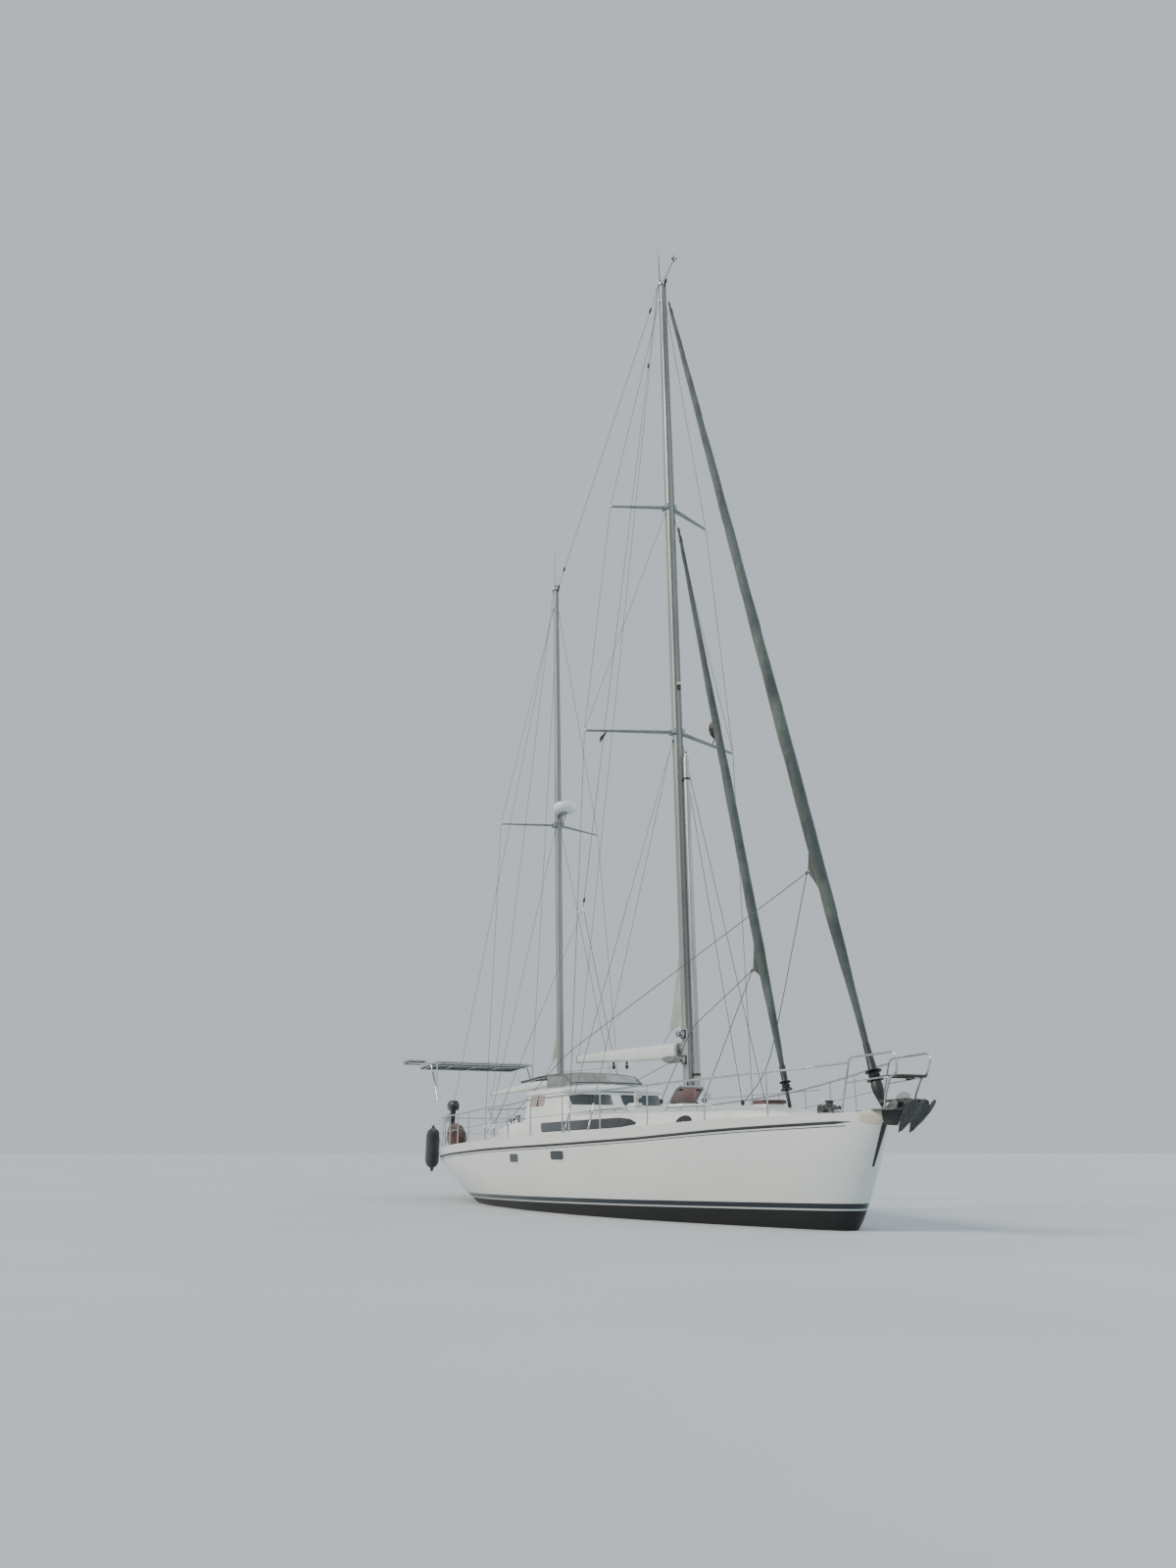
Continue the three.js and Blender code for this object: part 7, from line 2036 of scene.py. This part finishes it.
BLADE_ROWS = (  # x from the crown, height, half width, rise
    (0.088, 1.625, 0.040, 0.060), (0.082, 1.605, 0.082, 0.098), (0.050, 1.565, 0.116, 0.124),
    (-0.02, 1.505, 0.134, 0.128), (-0.10, 1.450, 0.130, 0.106), (-0.20, 1.395, 0.104, 0.076),
    (-0.30, 1.338, 0.060, 0.042), (-0.355, 1.305, 0.024, 0.016))


def anchor_part(y, reach):
    """A plough anchor stowed nose down: shank, crown and two curved blades."""
    rings = []
    for x, z, tall in ((7.23, 1.668, 0.016), (7.45, 1.670, 0.018), (reach - 0.14, 1.672, 0.024),
                       (reach - 0.04, 1.650, 0.036), (reach + 0.03, 1.58, 0.045)):
        section = ((-0.011, tall), (0.011, tall), (0.013, 0), (0.011, -tall), (-0.011, -tall), (-0.013, 0))
        rings.append([(x, y + across, z + up) for across, up in section])
    shank = skinned(rings)
    crown = turned([(0.02, -0.04), (0.032, -0.03), (0.032, 0.03), (0.02, 0.04)], (reach + 0.03, y, 1.60),
                   (0, 1, 0))
    blades = []
    for side in (1, -1):
        rings = []
        for back, z, half, rise in BLADE_ROWS:
            spine = Vector((reach + back + 0.012, y, z - 0.035))
            curve = [(s, math.sin(s * math.pi / 2) ** 1.4) for s in np.linspace(0, 1, 6)]
            outer = [spine + Vector((0.035 * s, side * half * s, rise * lift)) for s, lift in curve]
            inner = [p + Vector((-0.008, -side * 0.004, 0.012)) for p in reversed(outer)]
            rings.append([*outer, *inner])
        blades.append(skinned(rings))
    ridge = swept([(reach + back + 0.006, y, z - 0.028) for back, z, *_ in BLADE_ROWS],
                  [0.020, 0.022, 0.023, 0.024, 0.024, 0.022, 0.018, 0.008], 10)
    shackle = swept([(7.235 + 0.03 * math.cos(a), y, 1.668 + 0.024 * math.sin(a))
                     for a in np.linspace(0, 2 * math.pi, 17)], 0.008, 8)
    return merged(shank, crown, ridge, shackle, *blades)


for word, y, reach in (("port", 0.145, 7.760), ("starboard", -0.145, 7.900)):
    piece(f"anchor_casting_{word}", anchor_part(y, reach), galvanised, edge_mm=1.5,
          stands_for=[f"anchor_{word}"], sharp=50)
print("anchors", 2)

# %% [markdown]
# ## Foredeck
# The windlass stands ahead of the coachroof, with cleats, a vent cowl and a foot switch about it. Mooring
# cleats stand at the bow, amidships and on the quarters.

# %% Windlass, vents, cleats
WINDLASS_X = 5.90
WINDLASS_ROWS = (  # height, length, width
    (1.475, 0.36, 0.24), (1.52, 0.36, 0.24), (1.545, 0.32, 0.20), (1.58, 0.24, 0.17), (1.63, 0.20, 0.15),
    (1.645, 0.14, 0.12))
windlass_body = skinned([[(WINDLASS_X + x, y, z) for x, y in superellipse(w, d, 4)]
                         for z, w, d in WINDLASS_ROWS])
gypsy = turned([(0.074, -0.17), (0.074, -0.155), (0.056, -0.14), (0.060, -0.10), (0.075, -0.09),
                (0.075, 0.09), (0.052, 0.10), (0.045, 0.13), (0.052, 0.16), (0.066, 0.17)],
               (WINDLASS_X, 0, 1.600), (0, 1, 0), 28)
capstan = turned([(0.072, 0), (0.060, 0.012), (0.050, 0.035), (0.052, 0.065), (0.066, 0.080), (0.066, 0.092),
                  (0.030, 0.096)], (WINDLASS_X, 0, 1.638))
piece("windlass_casting", merged(windlass_body, gypsy, capstan), galvanised, stands_for=["windlass"],
      edge_mm=2, sharp=40)


CLEAT_HALF = 0.12


def horn_cleat(x, y, z, turn):
    """A horn cleat on two feet, turned from fore and aft by some degrees."""
    spin = Matrix.Rotation(math.radians(turn), 3, "Z")

    def on_cleat(along, up):
        """A point along the cleat and above the deck."""
        return Vector((x, y, z)) + spin @ Vector((along, 0, up))

    shares = (-1, -0.7, -0.35, 0, 0.35, 0.7, 1)
    bar = swept([on_cleat(s * CLEAT_HALF, 0.052 + 0.016 * abs(s) ** 2) for s in shares],
                [0.007, 0.011, 0.013, 0.014, 0.013, 0.011, 0.007], 10)
    feet = [swept([on_cleat(s, 0.0), on_cleat(s, 0.05)], [0.018, 0.011], 10) for s in (-0.03, 0.03)]
    return merged(bar, *feet)


cleats = []
for x, gap in ((6.30, 0.18), (3.9, 0.16), (-0.9, 0.14), (-4.6, 0.16), (-7.55, 0.20)):
    for side in (1, -1):
        y = side * (rail_half(x) - gap)
        cleats.append(horn_cleat(x, y, deck_height(x, y), side * -8 if x > 3 else 0))
piece("mooring_cleats", merged(*cleats), stainless)
vents = []
for x, y in ((6.36, -0.20), (6.36, 0.20)):
    z = deck_height(x, y)
    vents.append(turned([(0.055, 0), (0.055, 0.025), (0.035, 0.035), (0.035, 0.055), (0.062, 0.062),
                         (0.062, 0.072), (0.030, 0.088), (0.001, 0.090)], (x, y, z)))
piece("foredeck_vents", merged(*vents), stainless)


def grab_point(x, side, up):
    """A point above the line that a grab rail follows on the coachroof."""
    y = along_table(COACHROOF, x, 2) - 0.16
    return (x, side * y, roof_height(x, y) + up)


grab = []
for side in (1, -1):
    for x0, x1 in ((0.2, 1.6), (2.7, 3.9)):
        feet = np.linspace(x0, x1, 4)[1:-1].tolist()
        heights = ((x0, 0.0), (x0 + 0.04, 0.05), *[(x, 0.055) for x in feet], (x1 - 0.04, 0.05), (x1, 0.0))
        grab.append(swept([grab_point(x, side, up) for x, up in heights], 0.0125, 10))
        grab += [swept([grab_point(x, side, -0.005), grab_point(x, side, 0.05)], 0.010, 8) for x in feet]
piece("coachroof_grab_rails", merged(*grab), stainless)
dorades, cowls = [], []
for side in (1, -1):
    x, y = 1.15, side * 0.70
    z = roof_height(x, y)
    dorades.append(skinned([[(x + u, y + v, z + up) for u, v in superellipse(w, d, 5)] for up, w, d in
                            ((-0.02, 0.30, 0.20), (0.07, 0.29, 0.19), (0.085, 0.26, 0.16))]))
    x, z = 1.20, roof_height(1.20, y) + 0.08
    path = arc_path([(x, y, z), (x, y, z + 0.13), (x + 0.10, y, z + 0.15)], 0.09, 6)
    cowls.append(swept(path, [0.036 + 0.03 * k / (len(path) - 1) for k in range(len(path))], 18))
piece("dorade_boxes", merged(*dorades), gelcoat, edge_mm=3)
piece("dorade_cowls", merged(*cowls), boot_rubber)
print("cleats", len(cleats))

# %% [markdown]
# ## Pushpit and arch
# The quarter rail runs round the stern at rail height with a thinner tube below. Two slanting legs on each
# side rise from the deck to a tubular arch over the stern, which carries the solar panels.

# %% Pushpit
STERN_LINE = ((-8.08, 1.200), (-6.60, 1.590), (-5.104, 1.841))
PUSHPIT_TOP = 1.80


def stern_loop(fore, middle, aft, radius):
    """A tube round the stern at the heights of its fore end, its middle and its aft run."""
    (x0, y0), (x1, y1), (x2, y2) = STERN_LINE
    half = [(x2, y2, fore), (x1, y1, middle), (x0, y0, aft), (-8.23, 0.95, aft)]
    corners = [*half, *[(x, -y, z) for x, y, z in reversed(half)]]
    return swept(arc_path(corners, 0.16, 6), radius, 12)


posts = []
for x in (-6.15, -7.10, -7.90):
    for side in (1, -1):
        posts.append(stanchion(x, side * float(np.interp(x, *zip(*STERN_LINE))), PUSHPIT_TOP))
posts += [swept([(-8.23, side * 0.5, 1.0), (-8.23, side * 0.5, PUSHPIT_TOP)], 0.0145, 12) for side in (1, -1)]
loops = [stern_loop(1.795, PUSHPIT_TOP, PUSHPIT_TOP, 0.016), stern_loop(1.480, 1.455, 1.440, 0.009)]
piece("pushpit_tubes", merged(*loops, *posts), stainless, stands_for=["pushpit"])

# %% Stern arch
ARCH_HALF, ARRAY_FORE, ARRAY_HIGH, TILT = 1.30, -8.45, 3.15, math.radians(2.5)
ARCH_FORE, ARCH_MID, ARCH_AFT = -8.50, -8.89, -9.85


def array_z(x):
    """The height of the solar panels' plane."""
    return ARRAY_HIGH - (ARRAY_FORE - x) * math.tan(TILT)


def bar_z(x):
    """The height of the bars that carry the panels."""
    return array_z(x) - 0.038


arch = []
for side in (1, -1):
    y = side * ARCH_HALF
    knee = (-8.34, y, 2.372)
    leg = arc_path([(-7.82, y, 1.0), knee, (ARCH_MID, y, bar_z(ARCH_MID))], 0.22, 8)
    arch += [swept(leg, 0.020, 14), swept([knee, (ARCH_FORE, y - side * 0.02, bar_z(ARCH_FORE))], 0.017, 12),
             swept([(x, y - side * 0.09, bar_z(x)) for x in (ARCH_FORE + 0.02, ARCH_AFT - 0.02)], 0.015, 12),
             turned([(0.045, 0), (0.045, 0.010), (0.024, 0.016)], (-7.82, y, deck_height(-7.82, 1.3)))]
for x, low in ((ARCH_FORE, -2.01), (ARCH_MID, -2.01), (ARCH_AFT, -1.30)):
    arch.append(swept([(x, low, bar_z(x)), (x, 1.31, bar_z(x))], 0.017, 14))
piece("arch_tubes", merged(*arch), stainless, stands_for=["stern_arch"])
print("arch tubes", len(arch))

# %% [markdown]
# ## Solar panels
# A panel is a sheet of glass over dark cells 156 mm square, in an aluminium frame. The pale gaps between the
# cells and the thin busbars on them are drawn by a grid worked out from the real size of a cell.

# %% Solar cells
cells, tree, shader = finish_of("solar_cells_under_glass", ior=1.5, coat_weight=0.6, coat_roughness=0.03)
place = add(tree, "SeparateXYZ", {"Vector": here(tree)})


def stripes(axis, pitch, width, shift=0.0):
    """One where the coordinate lies within a stripe of a width, at every pitch."""
    moved_on = sums(tree, "ADD", place.outputs[axis], 100 * pitch + shift)
    return sums(tree, "LESS_THAN", sums(tree, "MODULO", moved_on, pitch), width)


gap = sums(tree, "MAXIMUM", stripes("X", 0.160, 0.004), stripes("Y", 0.160, 0.004))
bus = sums(tree, "MULTIPLY", stripes("Y", 0.080, 0.002, 0.04), 0.45)
drawn = sums(tree, "MAXIMUM", gap, bus)
blue = shade(tree, speckle(tree, 320), "#0d1220", "#161d30")
feed(tree, shader, base_color=blended(tree, drawn, blue, linear("#6d7378")),
     roughness=shade(tree, speckle(tree, 200, detail=5), 0.12, 0.22))


def solar_panel(word, x, y, length, width, lift, rows, node):
    """A glazed panel with its frame, backs and dividing gaps between the modules that make it up."""
    spin = Matrix.Rotation(-TILT, 3, "Y")
    at = Vector((x, y, array_z(x) + lift))
    step = width / rows
    glass_parts, frames, backs = [], [], []
    for k in range(rows):
        y0, y1 = -width / 2 + k * step + 0.004, -width / 2 + (k + 1) * step - 0.004
        outline = [(-length / 2, y0), (length / 2, y0), (length / 2, y1), (-length / 2, y1)]
        inset = [(u * (1 - 0.03 / length * 2), v + (0.016 if v == y0 else -0.016)) for u, v in outline]
        glass_parts.append(skinned([[at + spin @ Vector((u, v, h)) for u, v in inset]
                                    for h in (0.004, 0.0145)]))
        profile = ((0, -0.017), (0, 0.017), (0.012, 0.017), (0.014, 0.013), (0.014, -0.013), (0.03, -0.017))
        rings = []
        for i, h in (*profile, profile[0]):
            rings.append([at + spin @ Vector((u - math.copysign(i, u), v + (i if v == y0 else -i), h))
                          for u, v in outline])
        frames.append(skinned(rings, capped=False))
        backs.append(skinned([[at + spin @ Vector((u, v, h)) for u, v in inset] for h in (0.000, 0.003)]))
    piece(f"solar_glass_{word}", merged(*glass_parts), cells, stands_for=[node])
    piece(f"solar_frames_{word}", merged(*frames), anodised)
    piece(f"solar_backs_{word}", merged(*backs), nylon)


solar_panel("main", ARRAY_FORE - 0.75, 0, 1.50, 2.54, 0, 4, "solar_panel_main")
solar_panel("side", -8.69, -1.79, 0.52, 0.47, 0.012, 1, "solar_panel_side")
clamps = [block((0.05, 0.03, 0.03), (x, y, bar_z(x) + 0.022)) for x in (ARCH_FORE, ARCH_AFT)
          for y in (-1.1, -0.4, 0.4, 1.1)]
piece("panel_clamps", merged(*clamps), nylon, edge_mm=2)

# %% [markdown]
# ## On the quarter
# A small outboard motor is clamped on the starboard quarter rail, beside a covered bag; a large fender in a
# cloth sleeve hangs off the corner on two thin ropes.

# %% Outboard motor
motor_black = surface("black_motor_enamel", "#15171a", "#212428", 70, (0.25, 0.42), (30, 0.1),
                      coat_weight=0.3, coat_roughness=0.1)
MOTOR_X, MOTOR_Y, COWL_X = -7.51, -1.15, -7.505
COWL_ROWS = (  # height, length, width, x from the cowl's middle
    (1.955, 0.26, 0.15, 0.0), (1.965, 0.33, 0.19, 0.0), (2.02, 0.40, 0.235, -0.005),
    (2.06, 0.41, 0.24, -0.005), (2.11, 0.39, 0.225, -0.008), (2.155, 0.34, 0.20, -0.01),
    (2.178, 0.26, 0.15, -0.012), (2.184, 0.12, 0.07, -0.012))
LEG_ROWS = (  # height, length, width
    (1.96, 0.21, 0.13), (1.88, 0.17, 0.11), (1.70, 0.13, 0.09), (1.50, 0.12, 0.070), (1.44, 0.20, 0.050),
    (1.425, 0.20, 0.045))
cowl = [[(COWL_X + back + x, MOTOR_Y + y, z) for x, y in superellipse(w, d, 3.4, 36)]
        for z, w, d, back in COWL_ROWS]
leg = [[(x + MOTOR_X, MOTOR_Y + y, z) for x, y in superellipse(w, d, 2.6, 24)] for z, w, d in LEG_ROWS]
vane = skinned([[(x, y, z) for x, z in ((-7.66, 1.478), (-7.42, 1.478), (-7.40, 1.472), (-7.66, 1.470))]
                for y in (-1.215, -1.085)])
gearcase = turned([(0.008, -0.13), (0.026, -0.09), (0.034, -0.02), (0.030, 0.06), (0.020, 0.10)],
                  (-7.53, MOTOR_Y, 1.445), (1, 0, 0))
piece("outboard_cowl", merged(skinned(cowl), skinned(leg), vane, gearcase), motor_black,
      stands_for=["outboard_motor"], sharp=50)
clamp = merged(block((0.10, 0.012, 0.20), (MOTOR_X, -1.232, 1.78)),
               block((0.10, 0.012, 0.16), (MOTOR_X, -1.288, 1.76)),
               block((0.10, 0.065, 0.02), (MOTOR_X, -1.26, 1.862)),
               *[swept([(x, -1.33, 1.74), (x, -1.24, 1.74)], 0.008, 10) for x in (-7.54, -7.48)],
               *[swept([(x, -1.33, 1.715), (x, -1.33, 1.765)], 0.006, 8) for x in (-7.54, -7.48)],
               block((0.05, 0.10, 0.05), (MOTOR_X, -1.20, 1.80)))
piece("outboard_clamp", clamp, anodised, edge_mm=2)
handle = swept(arc_path([(-7.33, MOTOR_Y, 1.99), (-7.26, MOTOR_Y, 1.985), (-7.05, -1.17, 1.96)], 0.03),
               [0.014] * 7 + [0.017], 12)
screw = [block((0.10, 0.014, 0.045), (-7.675, MOTOR_Y + 0.05 * math.cos(a), 1.445 + 0.05 * math.sin(a)),
               (math.degrees(a), 25, 0)) for a in (0.4, 2.5, 4.6)]
piece("outboard_tiller", merged(handle, *screw), nylon, edge_mm=2)
print("outboard rings", len(cowl))

# %% [markdown]
# The fender is a rubber cylinder blown hard inside a fleece sleeve. The sleeve is drawn tight at both ends by
# a cord, so its cloth puckers there and runs smooth over the middle, with one seam up its side.

# %% Fender
fleece = canvas("dark_fender_fleece", "#22272b", "#333a3f", rib_mm=4.0, patch_mm=180)
FENDER = Vector((-8.60, -1.28, 0.64))
FENDER_ROWS = (  # height, radius
    (-0.060, 0.026), (-0.045, 0.036), (0.000, 0.042), (0.020, 0.075), (0.060, 0.120), (0.110, 0.148),
    (0.170, 0.163), (0.260, 0.167), (0.470, 0.1685), (0.670, 0.167), (0.760, 0.163), (0.820, 0.148),
    (0.870, 0.120), (0.910, 0.075), (0.930, 0.042), (0.965, 0.034))
fender_rings = []
for h in np.linspace(-0.06, 0.965, 84).tolist():
    radius = along_table(FENDER_ROWS, h, 1)
    pucker = max(0.0, 1 - min(abs(h - 0.02), abs(h - 0.91)) / 0.11)
    ring = []
    for a in turn_of(48):
        seam = 0.004 * math.exp(-((a - 1.2) / 0.06) ** 2)
        dent = 0.003 * math.sin(3 * a + 5 * h) + 0.0025 * math.sin(2 * a - 9 * h)
        r = radius * (1 + 0.05 * pucker * math.sin(14 * a)) + seam + dent * min(radius / 0.16, 1)
        ring.append(FENDER + Vector((r * math.cos(a), r * math.sin(a), h)))
    fender_rings.append(ring)
fender_skin = piece("fender_sleeve", skinned(fender_rings), fleece, stands_for=["fender"],
                    sharp=80)
ends = [turned([(0.018, 0), (0.026, 0.006), (0.026, 0.03), (0.016, 0.04)], FENDER + Vector((0, 0, 0.955))),
        turned([(0.016, -0.04), (0.026, -0.03), (0.026, -0.006), (0.018, 0)],
               FENDER + Vector((0, 0, -0.045)))]
piece("fender_ends", merged(*ends), nylon)
hang = [straight(FENDER + Vector((0, 0, 0.985)), (-8.20, -1.03, 1.795)),
        straight(FENDER + Vector((0.02, 0, 0.985)), (-8.06, -1.20, 1.80))]
wraps = [swept([Vector(at) + Vector((0.003, 0.024 * math.cos(a), 0.024 * math.sin(a)))
                for a in np.linspace(0, 2 * math.pi, 17)], 0.006, 6)
         for at in ((-8.20, -1.03, 1.80), (-8.06, -1.205, 1.80))]
piece("fender_ropes", merged(*[swept(path, 0.005, 8) for path in hang], *wraps), rope_white)

# %% [markdown]
# The covered bag on the quarter deck is canvas over a soft load. It sags between its own high ends: full and
# round below, hollowed on top, tied at the neck by a cord. It is a lofted shell whose rings are pulled in by
# the cord and pushed out by the load.

# %% Covered bag
BAG_ROWS = (  # x, foot, top, half width
    (-6.95, 1.135, 1.440, 0.075), (-6.91, 1.120, 1.560, 0.125), (-6.80, 1.115, 1.648, 0.165),
    (-6.70, 1.115, 1.632, 0.185), (-6.56, 1.115, 1.560, 0.186), (-6.43, 1.120, 1.450, 0.150),
    (-6.34, 1.140, 1.330, 0.090))
BAG_Y = -1.33


def on_bag(x, a, out=0.0):
    """Distance to port of the bag's middle and height on its section at x, an angle round from port."""
    foot, top, half = row_at(BAG_ROWS, x)
    c, s = math.cos(a), math.sin(a)
    belly = 1 + 0.10 * max(-s, 0)
    return ((half * belly + out) * math.copysign(abs(c) ** 0.8, c),
            (foot + top) / 2 + ((top - foot) / 2 + out) * math.copysign(abs(s) ** 0.85, s))


bag_rings = []
for x in np.linspace(-6.95, -6.34, 56).tolist():
    ring = []
    for a in turn_of(44):
        (y, z), s = on_bag(x, a), math.sin(a)
        slack = 0.010 * math.sin(5 * a + 9 * x) * max(s, 0) + 0.007 * math.sin(3 * a - 31 * x)
        crease = 0.006 * math.sin(41 * x + 2.5 * math.sin(2 * a)) * (1 - abs(s) * 0.4)
        out = 1 + (slack + crease) / 0.18
        ring.append((x, BAG_Y + y * out, z + (slack * 0.6 if s > 0 else 0.0)))
    bag_rings.append(ring)
bag = piece("bag_cover", skinned(bag_rings), brown_canvas, stands_for=["stern_cover"],
            sharp=80)


def round_bag(x):
    """A cord round the bag at a station."""
    section = [on_bag(x, a, 0.012) for a in np.linspace(0, 2 * math.pi, 45)]
    return swept([(x, BAG_Y + y, z) for y, z in section], 0.0035, 6)


piece("bag_cords", merged(round_bag(-6.84), round_bag(-6.45)), rope_dark)

# A boat hook lies fore and aft on a V-shaped crutch beside the aft cabin
crutch = [swept([(-5.35, -0.90, 1.20), (-5.35, -0.90, 1.64), (x, -0.90, 1.91)], 0.019, 10)
          for x in (-5.69, -4.93)]
piece("deck_crutch", merged(*crutch), stainless)
staff = swept([(-5.74, -0.90, 1.925), (-3.62, -0.90, 1.885)], 0.016, 12)
hook = swept([(-3.62, -0.90, 1.885), (-3.52, -0.90, 1.89), (-3.50, -0.90, 1.93)], 0.010, 8)
piece("boat_hook", merged(staff, hook), anodised)

# %% [markdown]
# ## Under water
# The keel, skeg and rudder are painted with antifouling; the shaft, its strut and the three-bladed propeller
# are bronze. Their own solids are right, so they keep them: near points are merged and the edges softened.

# %% Fins, rudder, shaft and propeller
SOLIDS_KEPT = (  # node, its finish, how far its edges are softened in mm
    ("keel", bottom_paint, 18), ("skeg", bottom_paint, 8), ("rudder", bottom_paint, 8),
    ("shaft_strut", bronze, 2), ("propeller", bronze, 2))
for node, material, edge in SOLIDS_KEPT:
    solid = bpy.data.objects[node]
    solid.data.materials.clear()
    solid.data.materials.append(material)
    weld = solid.modifiers.new("weld", "WELD")
    weld.merge_threshold = 0.0005
    soften = solid.modifiers.new("soften", "BEVEL")
    soften.width, soften.segments, soften.limit_method = edge / 1000, 3, "ANGLE"
    soften.angle_limit = math.radians(25)
    for face in solid.data.polygons:
        face.use_smooth = True
